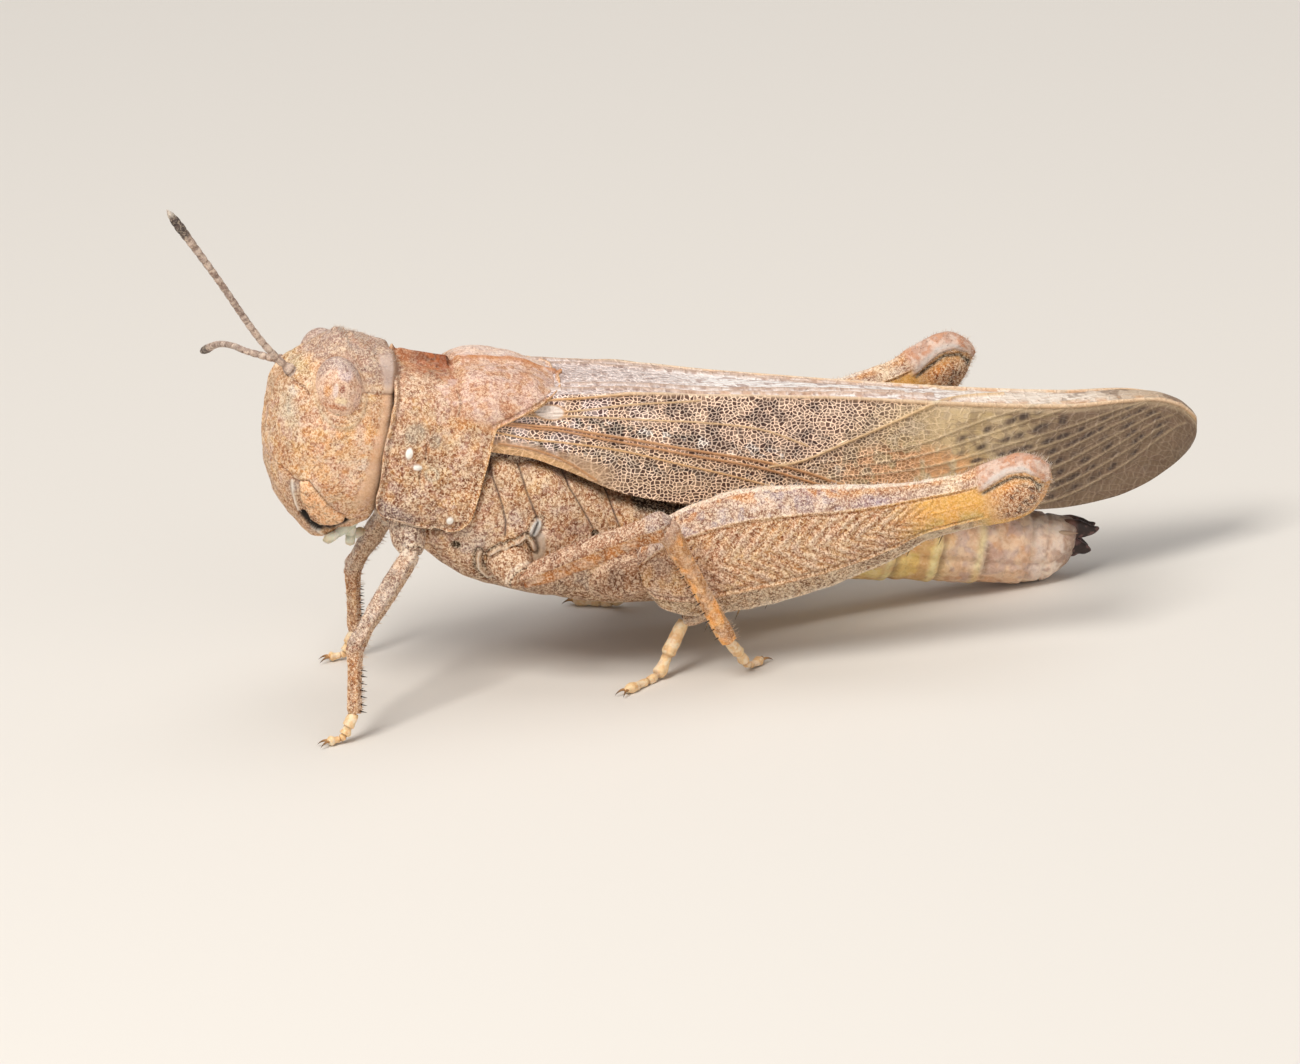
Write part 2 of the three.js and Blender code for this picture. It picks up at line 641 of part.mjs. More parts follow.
/** The closed plate between two grids of points, both split in triangles alike. */
function slab( outer, inner ) {

	const rows = outer.length;
	const columns = outer[ 0 ].length;
	const points = [ ...outer.flat(), ...inner.flat() ];
	const corner = ( row, column, layer ) => layer * rows * columns + row * columns + column;
	const faces = [];
	for ( let row = 0; row < rows - 1; row ++ ) {

		for ( let column = 0; column < columns - 1; column ++ ) {

			const [ a, b, c, d ] = [ [ 0, 0 ], [ 0, 1 ], [ 1, 1 ], [ 1, 0 ] ]
				.map( ( [ i, j ] ) => corner( row + i, column + j, 0 ) );
			const [ e, f, g, k ] = [ a, b, c, d ].map( ( index ) => index + rows * columns );
			faces.push( a, d, b, b, d, c, e, f, k, f, g, k );

		}

	}

	const rim = [];
	for ( let j = 0; j < columns - 1; j ++ ) rim.push( [ 0, j ] );
	for ( let i = 0; i < rows - 1; i ++ ) rim.push( [ i, columns - 1 ] );
	for ( let j = columns - 1; j > 0; j -- ) rim.push( [ rows - 1, j ] );
	for ( let i = rows - 1; i > 0; i -- ) rim.push( [ i, 0 ] );
	rim.forEach( ( [ i, j ], index ) => {

		const [ nextI, nextJ ] = rim[ ( index + 1 ) % rim.length ];
		const [ a, b ] = [ corner( i, j, 0 ), corner( nextI, nextJ, 0 ) ];
		const [ c, d ] = [ b, a ].map( ( point ) => point + rows * columns );
		faces.push( a, b, d, b, c, d );

	} );

	const geometry = new THREE.BufferGeometry().setFromPoints( points );
	geometry.setIndex( faces );
	return solid( geometry );

}

const forewingLeft = forewing().subtract( pronotumGrown ).subtract( thoraxGrown );

/** The left hind wing, folded to a narrow pleated blade under the roof of the forewings. */
function hindwing() {

	const width = through( [ [ 3, 0.9 ], [ 6, 0.8 ], [ 12, 0.55 ], [ 16, 0.5 ] ] );
	const height = through( [ [ 3, 2.7 ], [ 6, 2.6 ], [ 12, 2.4 ], [ 16, 2.3 ] ] );
	const pleats = 4;
	const rings = spread( 3.2, 16, 8 ).map( ( s ) => {

		const top = height( s )[ 0 ];
		const upper = spread( 0, 1, pleats * 2 - 1 ).map( ( part, i ) =>
			at( GAP / 2 + part * width( s )[ 0 ], s, top - ( i % 2 ) * 0.1 ) );
		const lower = upper.map( ( point ) => point.clone().setZ( top - THIN - 0.1 ) ).reverse();
		return [ ...upper, ...lower ];

	} );
	return loft( rings ).subtract( thoraxGrown ).subtract( abdomenSolid( GAP ) );

}

// ---------------------------------------------------------------- legs

/** Short spines fused to a limb: each [ root, tip ] becomes a sharp cone sunk into it. */
function withSpines( body, spines, halfFoot ) {

	return spines.reduce( ( whole, [ root, tip ] ) => {

		const axis = tip.clone().sub( root );
		const cone = new THREE.ConeGeometry( halfFoot, axis.length(), 4, 1 );
		cone.translate( 0, axis.length() / 2, 0 );
		const aim = new THREE.Quaternion().setFromUnitVectors( at( 0, 1, 0 ), axis.normalize() );
		cone.applyQuaternion( aim );
		cone.translate( ...root.toArray() );
		return whole.add( solid( cone ) );

	}, body );

}

/** A repeatable random draw from -1 to 1. */
function draws( seed ) {

	let state = seed;
	return () => {

		state = ( state * 16807 ) % 2147483647;
		return state / 1073741823.5 - 1;

	};

}

/** A foot of three joints with a flat sole on the floor and two hooked claws. */
function foot( ankle, landing, toe, side ) {

	const sole = at( landing.x, landing.y, 0.22 );
	const end = at( toe.x, toe.y, 0.22 );
	const path = [ ankle, ankle.clone().lerp( sole, 0.55 ), sole, end ];
	const body = limb( path, [ [ 0, 0.26, 0.26 ], [ 0.4, 0.3, 0.3 ], [ 0.62, 0.27, 0.27 ], [ 1, 0.3, 0.27 ] ],
		{ sides: 8, rings: 9, side } );
	const ahead = end.clone().sub( sole ).setZ( 0 ).normalize();
	const across = at( - ahead.y, ahead.x, 0 );
	const claws = [ - 1, 1 ].map( ( hand ) => [
		end.clone().addScaledVector( across, hand * 0.12 ).addScaledVector( ahead, - 0.2 ),
		end.clone().addScaledVector( across, hand * 0.36 ).addScaledVector( ahead, 0.5 ).setZ( 0.12 ),
	] );
	return withSpines( body, claws, 0.17 ).subtract( underFloor );

}

const OUT = at( 1, 0, 0 );

// Joint places in the world frame of the left legs, from hip to toe.
const LEGS = {
	fore: {
		hip: inWorld( 1.55, - 2.55, - 1.9 ), trochanter: at( 2.25, - 8.5, 5.35 ), knee: at( 4.2, - 11.05, 3.1 ),
		ankle: at( 4.88, - 11.42, 0.95 ), landing: at( 4.98, - 11.8, 0 ), toe: at( 5.05, - 12.45, 0 ),
		coxa: 0.62, femur: [ 0.4, 0.36, 0.34 ], tibia: [ 0.29, 0.27 ],
	},
	tuckedFore: {
		hip: inWorld( 1.55, - 2.55, - 1.9 ), trochanter: at( 2.1, - 8.55, 5.3 ), knee: at( 3.3, - 9.75, 3.15 ),
		ankle: at( 3.0, - 9.95, 0.95 ), landing: at( 2.95, - 10.3, 0 ), toe: at( 3.0, - 10.95, 0 ),
		coxa: 0.62, femur: [ 0.4, 0.36, 0.34 ], tibia: [ 0.29, 0.27 ],
	},
	mid: {
		hip: inWorld( 2.1, 0.9, - 2.35 ), trochanter: at( 3.15, - 4.95, 4.1 ), knee: at( 5.5, - 0.35, 5.95 ),
		ankle: at( 5.15, 1.47, 1.48 ), landing: at( 4.4, 2.1, 0 ), toe: at( 3.85, 2.75, 0 ),
		coxa: 0.85, femur: [ 0.42, 0.5, 0.38 ], tibia: [ 0.33, 0.3 ],
	},
};

// Two rows of short spines on each fore and middle shin.
const SHIN_SPINES = {
	count: 5, first: 0.4, step: 0.115, jitter: 0.012, splay: 0.45, out: 0.58, down: 0.3, foot: 0.18,
};

/** Coxa, femur, tibia and foot of a fore or middle left leg, each cut clear of the one before. */
function walkingLeg( leg, seed ) {

	const outward = leg.trochanter.clone().sub( leg.hip );
	const deep = leg.hip.clone().addScaledVector( outward, - 0.4 );
	const coxaPath = [ deep, leg.hip, leg.trochanter ];
	const coxaRows = [ [ 0, leg.coxa, leg.coxa ], [ 0.6, leg.coxa * 0.9, leg.coxa * 0.9 ], [ 1, 0.4, 0.4 ] ];
	const coxaWith = ( grow ) => limb( coxaPath, coxaRows, { sides: 10, rings: 5, grow } );
	const bodyGrown = thoraxGrown.add( pronotumGrown );
	const coxa = coxaWith( 0 ).subtract( moved( bodyGrown, trunkToWorld ) );

	const [ root, belly, end ] = leg.femur;
	const femurPath = [ leg.trochanter, leg.trochanter.clone().lerp( leg.knee, 0.5 ), leg.knee ];
	const femurRows = [ [ 0, root * 0.85, root * 0.85 ], [ 0.4, belly * 0.85, belly ], [ 1, end * 0.9, end ] ];
	const femurWith = ( grow ) => limb( femurPath, femurRows, { sides: 8, rings: 7, grow } );
	const femur = femurWith( 0 ).subtract( coxaWith( GAP ) );

	const [ shin, ankle ] = leg.tibia;
	const tibiaPath = [ leg.knee, leg.knee.clone().lerp( leg.ankle, 0.5 ), leg.ankle ];
	const tibiaRows = [ [ 0, shin, shin * 1.15 ], [ 0.2, shin * 0.9, shin ], [ 1, ankle, ankle ] ];
	const tibiaWith = ( grow ) => limb( tibiaPath, tibiaRows, { sides: 8, rings: 5, grow } );
	const random = draws( seed );
	const down = leg.ankle.clone().sub( leg.knee ).normalize();
	const spines = [];
	for ( const hand of [ - 1, 1 ] ) {

		for ( let i = 0; i < SHIN_SPINES.count; i ++ ) {

			const part = SHIN_SPINES.first + SHIN_SPINES.step * i + SHIN_SPINES.jitter * random();
			const start = leg.knee.clone().lerp( leg.ankle, part );
			const lean = at( hand * SHIN_SPINES.splay, - sign( down.y ), 0 ).normalize();
			const tip = start.clone().addScaledVector( lean, SHIN_SPINES.out ).addScaledVector( down, SHIN_SPINES.down );
			spines.push( [ start, tip ] );

		}

	}

	const tibia = withSpines( tibiaWith( 0 ), spines, SHIN_SPINES.foot ).subtract( femurWith( GAP ) );
	const tarsus = foot( leg.ankle, leg.landing, leg.toe, OUT ).subtract( tibiaWith( GAP ) );
	return { coxa, femur, tibia, tarsus };

}

// The hind thigh's own frame: u along it from hip to knee, v toward its upper keel, w outward.
const THIGH_ROOT = at( 3.5, - 1.0, 3.9 );
const THIGH_KNEE = at( 6.6, 12.2, 5.95 );
const thighU = THIGH_KNEE.clone().sub( THIGH_ROOT ).normalize();
const thighW = new THREE.Vector3().crossVectors( thighU, at( 0, 0, 1 ) ).normalize();
const thighV = new THREE.Vector3().crossVectors( thighW, thighU );
const thighFrame = new THREE.Matrix4().makeBasis( thighU, thighV, thighW ).setPosition( THIGH_ROOT );

/** A world point given in the hind thigh's frame. */
const inThigh = ( u, v, w ) => at( u, v, w ).applyMatrix4( thighFrame );

// Rows: u, upper keel, lower keel, half thickness.
const thighRows = through( [
	[ 0, 0.55, - 0.75, 0.45 ],
	[ 0.4, 1.0, - 1.5, 0.55 ],
	[ 1.5, 1.68, - 2.0, 0.74 ],
	[ 3.7, 2.0, - 2.15, 0.92 ],
	[ 5.4, 1.8, - 2.06, 0.98 ],
	[ 7.0, 1.43, - 1.85, 0.93 ],
	[ 8.6, 1.08, - 1.5, 0.8 ],
	[ 9.8, 0.9, - 1.15, 0.66 ],
	[ 11.3, 0.82, - 1.12, 0.58 ],
	[ 12.4, 1.0, - 1.22, 0.66 ],
	[ 13.2, 1.12, - 1.15, 0.72 ],
	[ 13.8, 0.98, - 0.7, 0.66 ],
	[ 14.25, 0.45, - 0.15, 0.4 ],
] );

/** The hind thigh: flat sides between an upper and a lower keel, swollen at the hip end. */
function thighSolid( grow = 0 ) {

	const places = [ 0, 0.4, 0.9, 1.5, 2.5, 3.7, 5, 6.2, 7.4, 8.6, 9.8, 11, 12, 12.8, 13.4, 13.8, 14.1, 14.25 ];
	return loft( places.map( ( u, i ) => {

		const [ top, low, half ] = thighRows( u );
		const end = i === 0 ? - grow : i === places.length - 1 ? grow : 0;
		const outline = [
			[ top + grow, 0.12 ], [ lerp( top, low, 0.12 ) + grow * 0.7, 0.62 ], [ lerp( top, low, 0.34 ), 0.97 ],
			[ lerp( top, low, 0.64 ), 1 ], [ lerp( top, low, 0.84 ), 0.66 ], [ low - grow, 0.3 ],
		];
		const left = outline.map( ( [ v, part ] ) => inThigh( u + end, v, part * half + grow ) );
		const right = outline.map( ( [ v, part ] ) => inThigh( u + end, v, - part * half - grow ) ).reverse();
		return [ ...left, ...right ];

	} ) );

}

const SHIN_INWARD = - 0.5; // the folded shin lies on the inner side of the thigh's lower keel
const SHIN_TOP = inThigh( 12.7, - 0.62, SHIN_INWARD );
const SHIN_END = inThigh( 0.9, - 2.3, SHIN_INWARD );
const HIND_LANDING = at( 3.75, - 0.75, 0 );
const HIND_TOE = at( 4.75, - 2.15, 0 );

// Two rows of longer spines under each hind shin, an outer and an inner one.
const HIND_SPINES = {
	count: 9, first: 0.2, step: 0.088, jitter: 0.008, back: 0.62, under: 0.72, splay: 0.5, foot: 0.2,
};

const SHIN_ROWS = [ [ 0, 0.34, 0.4 ], [ 0.12, 0.27, 0.3 ], [ 0.85, 0.27, 0.28 ], [ 1, 0.34, 0.32 ] ];
const SHIN_PATH = [ SHIN_TOP, SHIN_TOP.clone().lerp( SHIN_END, 0.5 ), SHIN_END ];
const shinWith = ( grow ) => limb( SHIN_PATH, SHIN_ROWS, { side: thighW, grow } );

function hindLeg() {

	const hip = inWorld( 2.35, 4.75, - 2.55 );
	const hipEnd = inThigh( 0.25, - 0.3, 0 );
	const path = [ hip.clone().lerp( hipEnd, - 0.7 ), hip, hipEnd ];
	const rows = [ [ 0, 1.05, 0.95 ], [ 0.6, 0.95, 0.85 ], [ 1, 0.55, 0.5 ] ];
	const coxaWith = ( grow ) => limb( path, rows, { sides: 10, rings: 5, side: at( 0, 1, 0 ), grow } );
	const coxa = coxaWith( 0 ).subtract( moved( thoraxGrown.add( abdomenSolid( GAP ) ), trunkToWorld ) );
	const femur = thighSolid().subtract( shinWith( GAP * 1.2 ) ).subtract( coxaWith( GAP ) );

	const random = draws( 71 );
	const spines = [];
	const back = SHIN_END.clone().sub( SHIN_TOP ).normalize();
	const under = thighV.clone().negate();
	for ( const hand of [ - 1, 0.25 ] ) {

		for ( let i = 0; i < HIND_SPINES.count; i ++ ) {

			const part = HIND_SPINES.first + HIND_SPINES.step * i + HIND_SPINES.jitter * random();
			const start = SHIN_TOP.clone().lerp( SHIN_END, part );
			const tip = start.clone().addScaledVector( back, HIND_SPINES.back )
				.addScaledVector( under, HIND_SPINES.under ).addScaledVector( thighW, hand * HIND_SPINES.splay );
			spines.push( [ start, tip ] );

		}

	}

	const tibia = withSpines( shinWith( 0 ), spines, HIND_SPINES.foot );
	const tarsus = foot( SHIN_END, HIND_LANDING, HIND_TOE, thighW ).subtract( shinWith( GAP ) );
	return { coxa, femur, tibia, tarsus };

}

// ---------------------------------------------------------------- assembly

const trunk = new THREE.Group();
trunk.position.set( 0, TRUNK_Y, TRUNK_Z );
trunk.rotation.x = - PITCH;
trunk.add(
	piece( 'head', head, CUTICLE ),
	piece( 'labrum', labrum, CUTICLE ),
	piece( 'labium', lowerLip, CUTICLE ),
	piece( 'antenna_left', feelerLeft, CUTICLE ),
	piece( 'antenna_right', feelerRight, CUTICLE ),
	piece( 'pronotum', pronotum, CUTICLE ),
	piece( 'thorax', thorax, CUTICLE ),
	piece( 'abdomen', abdomen, CUTICLE ),
	piece( 'ovipositor_upper', valves( true ), DARK ),
	piece( 'ovipositor_lower', valves( false ), DARK ),
);

/** A left piece and its mirror image on the right. */
function pair( name, body, material ) {

	return [ piece( `${ name }_left`, body, material ), piece( `${ name }_right`, mirrored( body ), material ) ];

}

const leftJaw = jaws.decompose().find( ( jaw ) => jaw.boundingBox().min[ 0 ] > 0 );
trunk.add(
	...pair( 'eye', eye, EYE ),
	...pair( 'mandible', leftJaw, CUTICLE ),
	...pair( 'tegmen', forewingLeft, WING ),
	...pair( 'hindwing', hindwing(), WING ),
);

const insect = new THREE.Group();
insect.add( trunk );
const MATERIALS = { coxa: CUTICLE, femur: CUTICLE, tibia: CUTICLE, tarsus: FOOT };
const legs = [
	[ 'foreleg', walkingLeg( LEGS.fore, 11 ), walkingLeg( LEGS.tuckedFore, 17 ) ],
	[ 'midleg', walkingLeg( LEGS.mid, 23 ) ],
	[ 'hindleg', hindLeg() ],
];
for ( const [ name, left, right = left ] of legs ) {

	for ( const [ part, material ] of Object.entries( MATERIALS ) ) {

		insect.add(
			piece( `${ name }_${ part }_left`, left[ part ], material ),
			piece( `${ name }_${ part }_right`, mirrored( right[ part ] ), material ),
		);

	}

}

// The model's origin is the centre of its footprint, on the floor.
const box = new THREE.Box3().setFromObject( insect, true );
const middle = box.getCenter( new THREE.Vector3() );
insect.position.set( - middle.x, - middle.y, 0 );

const model = new THREE.Group();
model.add( insect );

export default model;
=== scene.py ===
# %% [markdown]
# # A band-winged grasshopper at rest
# This lesson dresses a imported solid model of a life-size grasshopper. The solids give every
# size; here each plate of the animal gets a finer surface, its own relief and its own finish.
# We begin by loading the solids.

import math

import bpy
import numpy as np
from mathutils import Matrix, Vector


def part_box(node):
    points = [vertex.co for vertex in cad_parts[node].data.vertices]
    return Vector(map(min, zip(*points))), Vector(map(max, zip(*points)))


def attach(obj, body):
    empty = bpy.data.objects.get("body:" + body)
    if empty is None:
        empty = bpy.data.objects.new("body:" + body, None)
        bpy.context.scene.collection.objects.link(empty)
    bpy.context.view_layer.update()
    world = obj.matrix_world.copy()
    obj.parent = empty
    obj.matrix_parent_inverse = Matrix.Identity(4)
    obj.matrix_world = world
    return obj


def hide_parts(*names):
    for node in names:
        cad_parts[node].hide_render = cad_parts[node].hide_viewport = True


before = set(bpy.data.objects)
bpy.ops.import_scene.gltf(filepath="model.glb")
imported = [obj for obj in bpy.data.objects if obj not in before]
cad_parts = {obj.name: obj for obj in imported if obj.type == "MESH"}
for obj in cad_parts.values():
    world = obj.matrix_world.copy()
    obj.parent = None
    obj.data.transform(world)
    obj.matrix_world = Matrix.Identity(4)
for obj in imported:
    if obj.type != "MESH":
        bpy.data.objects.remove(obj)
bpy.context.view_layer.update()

# %% [markdown]
# ## Two frames
# A grasshopper sits nose up, so its trunk is easier to describe in a frame of its own: x to the
# animal's left, s tailward along the body, h toward the back, all in millimetres. The pitch and
# the place of that frame are fixed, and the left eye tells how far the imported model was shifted.

# %% Trunk frame and floor frame
MM = 0.001
PITCH = math.radians(15.5)
TRUNK_Y, TRUNK_Z = -5.5, 7.2  # floor-frame place of the trunk frame's origin
EYE_CENTRE = np.array([1.55, -5.7, 2.74])


def tilted(points):
    """Millimetres in the trunk frame to millimetres in the floor frame, before the shift."""
    x, s, h = np.moveaxis(np.asarray(points, float), -1, 0)
    y = TRUNK_Y + s * math.cos(PITCH) + h * math.sin(PITCH)
    z = TRUNK_Z - s * math.sin(PITCH) + h * math.cos(PITCH)
    return np.stack([x, y, z], -1)


eye_low, eye_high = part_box("eye_left")
SHIFT = (np.array(eye_low) + np.array(eye_high)) / 2 / MM - tilted(EYE_CENTRE)
SHIFT[2] = 0.0
print("shift of the packed model", SHIFT.round(3))

# %% [markdown]
# ## Curves through a table
# A maker notes a shape at a few stations and lets a batten bend through them. This function is
# the batten: it passes every station smoothly and never bulges past two neighbours.

# %% The batten


def through(rows):
    """A smooth function through rows of [place, value, value, ...]."""
    table = np.array(rows, float)
    x, y = table[:, 0], table[:, 1:]
    rise = np.diff(y, axis=0) / np.diff(x)[:, None]
    before, after = np.vstack([rise[:1], rise]), np.vstack([rise, rise[-1:]])
    both = before * after
    slope = np.where(both > 0, 2 * both / np.where(both > 0, before + after, 1.0), 0.0)

    def curve(place):
        place = np.asarray(place, float)
        i = np.clip(np.searchsorted(x, place) - 1, 0, len(x) - 2)
        span = x[i + 1] - x[i]
        t = np.clip((place - x[i]) / span, 0, 1)[..., None]
        ease = t * t * (3 - 2 * t)
        lift = t * (1 - t) ** 2 * slope[i] - t * t * (1 - t) * slope[i + 1]
        values = y[i] * (1 - ease) + y[i + 1] * ease + span[..., None] * lift
        return np.moveaxis(values, -1, 0)

    return curve


def smooth(low, high, value):
    """0 below low, 1 above high, and an even swing between them."""
    t = np.clip((value - low) / (high - low), 0, 1)
    return t * t * (3 - 2 * t)


def bell(value, centre, width):
    """1 at the centre, fading to nothing a few widths away."""
    return np.exp(-(((value - centre) / width) ** 2))


def squared(value, power):
    """The cosine or sine of a rounded rectangle: power 2 is an ellipse, more is squarer."""
    return np.sign(value) * np.abs(value) ** (2 / power)


def near_line(a, b, points):
    """Distance of flat points (a, b) from a polyline of [a, b] corners."""
    spots = np.array(points, float)
    best = np.full(np.shape(a), 1e9)
    for (a0, b0), (a1, b1) in zip(spots[:-1], spots[1:]):
        run = (a1 - a0) ** 2 + (b1 - b0) ** 2
        t = np.clip(((a - a0) * (a1 - a0) + (b - b0) * (b1 - b0)) / run, 0, 1)
        best = np.minimum(best, np.hypot(a - a0 - t * (a1 - a0), b - b0 - t * (b1 - b0)))
    return best


def inside(a, b, corners):
    """Whether flat points (a, b) lie inside a closed outline of [a, b] corners."""
    within = np.zeros(np.shape(a), bool)
    spots = np.array(corners, float)
    for (a0, b0), (a1, b1) in zip(spots, np.roll(spots, -1, 0)):
        crosses = (b0 > b) != (b1 > b)
        along = (a1 - a0) * (b - b0) / np.where(b1 == b0, 1e-9, b1 - b0) + a0
        within ^= crosses & (a < along)
    return within


# %% [markdown]
# ## Natural unevenness
# Horn that grew is never quite even. A lattice of fixed pseudo-random numbers, blended smoothly,
# gives gentle swells and patches of colour that come out the same on each run.

# %% Swells and patches


def swell(points, size, seed=0):
    """Smooth variation from -1 to 1 over points in millimetres, with swells of about `size`."""
    q = np.asarray(points, float) / size + seed * 17.37
    cell = np.floor(q).astype(np.int64)
    f = q - cell
    f = f * f * (3 - 2 * f)
    total = np.zeros(q.shape[:-1])
    for corner in np.ndindex(2, 2, 2):
        i, j, k = np.moveaxis(cell + np.array(corner), -1, 0)
        mixed = (i * 73856093) ^ (j * 19349663) ^ (k * 83492791)
        mixed = (mixed ^ (mixed >> 13)) * 1274126177 & 0x7FFFFFFF
        value = ((mixed ^ (mixed >> 16)) & 0xFFFF) / 65535.0
        total += value * np.prod(np.where(np.array(corner) == 1, f, 1 - f), -1)
    return total * 2 - 1


def patches(points, size, seed=0, cover=0.5, edge=0.25):
    """A 0 to 1 mask of soft patches that cover about that share of a surface."""
    noise = 0.62 * swell(points, size, seed) + 0.38 * swell(points, size * 0.43, seed + 5)
    level = (0.5 - cover) * 0.9
    return smooth(level - edge / 2, level + edge / 2, noise)


# %% [markdown]
# ## From grids to meshes
# Nearly every plate can be laid out as a grid: rows along it and columns around or across it.
# One helper finds which way is out, another raises a relief along it, and a third turns the
# grid into a mesh that carries a tint, a polish and a flat map in millimetres.

# %% Grids


def outward(points, wrap=False, centre=None):
    """Unit normals of a grid of points, turned away from its own centre line."""
    across = np.roll(points, -1, 1) - np.roll(points, 1, 1) if wrap else np.gradient(points, axis=1)
    normal = np.cross(across, np.gradient(points, axis=0))
    normal /= np.maximum(np.linalg.norm(normal, axis=-1, keepdims=True), 1e-9)
    middle = points.mean(axis=1, keepdims=True) if centre is None else centre
    if np.sum(normal * (points - middle)) < 0:
        normal = -normal
    return normal


def raised(points, height, wrap=False, centre=None):
    """The grid with a relief in millimetres raised along its normals."""
    return points + outward(points, wrap, centre) * np.asarray(height)[..., None]


def quads(rows, columns, wrap):
    """Corner numbers of the faces of a grid."""
    i, j = np.meshgrid(np.arange(rows - 1), np.arange(columns if wrap else columns - 1), indexing="ij")
    k = (j + 1) % columns
    corners = np.stack([i * columns + j, i * columns + k, (i + 1) * columns + k,
                        (i + 1) * columns + j], -1)
    return corners.reshape(-1, 4)


def flat_map(points, wrap=False):
    """A map in millimetres: how far each point lies across and along its grid."""
    across = np.linalg.norm(np.diff(points, axis=1), axis=-1)
    along = np.linalg.norm(np.diff(points, axis=0), axis=-1)
    zero_column, zero_row = np.zeros((points.shape[0], 1)), np.zeros((1, points.shape[1]))
    u = np.cumsum(np.hstack([zero_column, across]), 1)
    v = np.cumsum(np.vstack([zero_row, along]), 0)
    if wrap:
        u = u - u.mean(1, keepdims=True)
    return np.stack([u, v], -1)


def mesh_piece(name, points, quad_faces, tri_faces, tint, polish, uv, finish):
    """A smooth-shaded mesh object from flat arrays in millimetres of the floor frame."""
    mesh = bpy.data.meshes.new(name)
    corners = np.concatenate([quad_faces.ravel(), tri_faces.ravel()]).astype(np.int32)
    totals = np.concatenate([np.full(len(quad_faces), 4), np.full(len(tri_faces), 3)]).astype(np.int32)
    mesh.vertices.add(len(points))
    mesh.vertices.foreach_set("co", ((points + SHIFT) * MM).astype(np.float32).ravel())
    mesh.loops.add(len(corners))
    mesh.loops.foreach_set("vertex_index", corners)
    mesh.polygons.add(len(totals))
    mesh.polygons.foreach_set("loop_start", (np.cumsum(totals) - totals).astype(np.int32))
    mesh.polygons.foreach_set("loop_total", totals)
    mesh.update(calc_edges=True)
    mesh.polygons.foreach_set("use_smooth", np.ones(len(totals), bool))
    colour = mesh.attributes.new("tint", "FLOAT_COLOR", "POINT")
    opaque = np.hstack([tint, np.ones((len(tint), 1))])
    colour.data.foreach_set("color", opaque.astype(np.float32).ravel())
    shine = mesh.attributes.new("polish", "FLOAT", "POINT")
    shine.data.foreach_set("value", polish.astype(np.float32).ravel())
    layer = mesh.uv_layers.new(name="plate_map")
    layer.data.foreach_set("uv", uv[corners].astype(np.float32).ravel())
    mesh.materials.append(finish)
    piece = bpy.data.objects.new(name, mesh)
    bpy.context.scene.collection.objects.link(piece)
    return piece


def even(value, shape):
    """A number or colour spread over a grid of points."""
    return np.broadcast_to(np.asarray(value, float), shape).copy()


def grid_piece(name, points, finish, tint, polish=0.0, wrap=False, caps=False, trunk=True, uv=None):
    """A grid made into a piece; caps close a wrapped grid's two ends at their middles."""
    rows, columns = points.shape[:2]
    uv = (flat_map(points, wrap) if uv is None else uv).reshape(-1, 2)
    tint = even(tint, points.shape)
    polish = even(polish, points.shape[:2])
    flat = points.reshape(-1, 3)
    normal = outward(points, wrap).reshape(-1, 3)
    faces = quads(rows, columns, wrap)
    a, b, c = (flat[faces[:, k]] for k in range(3))
    flip = np.sum(np.cross(b - a, c - a) * normal[faces[:, 0]]) < 0
    tints, shines = tint.reshape(-1, 3), polish.reshape(-1)
    lids = np.zeros((0, 3), int)
    if caps:
        flat = np.vstack([flat, points[0].mean(0), points[-1].mean(0)])
        tints = np.vstack([tints, tint[0].mean(0), tint[-1].mean(0)])
        shines = np.append(shines, [polish[0].mean(), polish[-1].mean()])
        uv = np.vstack([uv, uv[:columns].mean(0), uv[-columns:].mean(0)])
        here = np.arange(columns)
        there = (here + 1) % columns
        size = rows * columns
        last = size - columns
        start = np.stack([np.full(columns, size), there, here], -1)
        stop = np.stack([np.full(columns, size + 1), here + last, there + last], -1)
        lids = np.vstack([start, stop])
    if flip:
        faces, lids = faces[:, ::-1], lids[:, ::-1]
    place = tilted(flat) if trunk else flat
    return mesh_piece(name, place, faces, lids, tints, shines, uv, finish)


# %% [markdown]
# ## Sections, strands and margins
# Plates with corners are noted as a few points of their half section, so a set of fixed weights
# turns those points into a smooth row. Limbs and feelers follow a strand bent through their
# joints. A thin sheet looks like paper unless its margins turn inward, so one helper hems it.

# %% Sections, strands and hems


def batten(knots, places):
    """Weights that bend a smooth row through values at the knots: rows are places."""
    knots, places = np.array(knots, float), np.asarray(places, float)
    one = np.eye(len(knots))
    slope = np.gradient(one, knots, axis=0)
    i = np.clip(np.searchsorted(knots, places) - 1, 0, len(knots) - 2)
    span = (knots[i + 1] - knots[i])[:, None]
    t = ((places - knots[i])[:, None]) / span
    ease = t * t * (3 - 2 * t)
    bend = span * (t * (1 - t) ** 2 * slope[i] - t * t * (1 - t) * slope[i + 1])
    return one[i] * (1 - ease) + one[i + 1] * ease + bend


def strand(knots, count):
    """A smooth line bent through a few knots, sampled at even steps of its length."""
    spots = np.array(knots, float)
    spots = np.vstack([2 * spots[0] - spots[1], spots, 2 * spots[-1] - spots[-2]])
    t = np.linspace(0, 1, 60)[:, None]
    runs = []
    for a, b, c, d in zip(spots, spots[1:], spots[2:], spots[3:]):
        first, own, last = (np.linalg.norm(q - p) ** 0.5 for p, q in ((a, b), (b, c), (c, d)))
        leave = ((b - a) / first - (c - a) / (first + own)) * own + (c - b)
        reach = (c - b) - ((d - b) / (own + last) - (d - c) / last) * own
        ease = t * t * (3 - 2 * t)
        runs.append(b * (1 - ease) + c * ease + t * (1 - t) ** 2 * leave - t * t * (1 - t) * reach)
    line = np.vstack(runs)
    far = np.append(0, np.cumsum(np.linalg.norm(np.diff(line, axis=0), axis=1)))
    steps = np.linspace(0, far[-1], count)
    return np.stack([np.interp(steps, far, line[:, k]) for k in range(3)], -1)


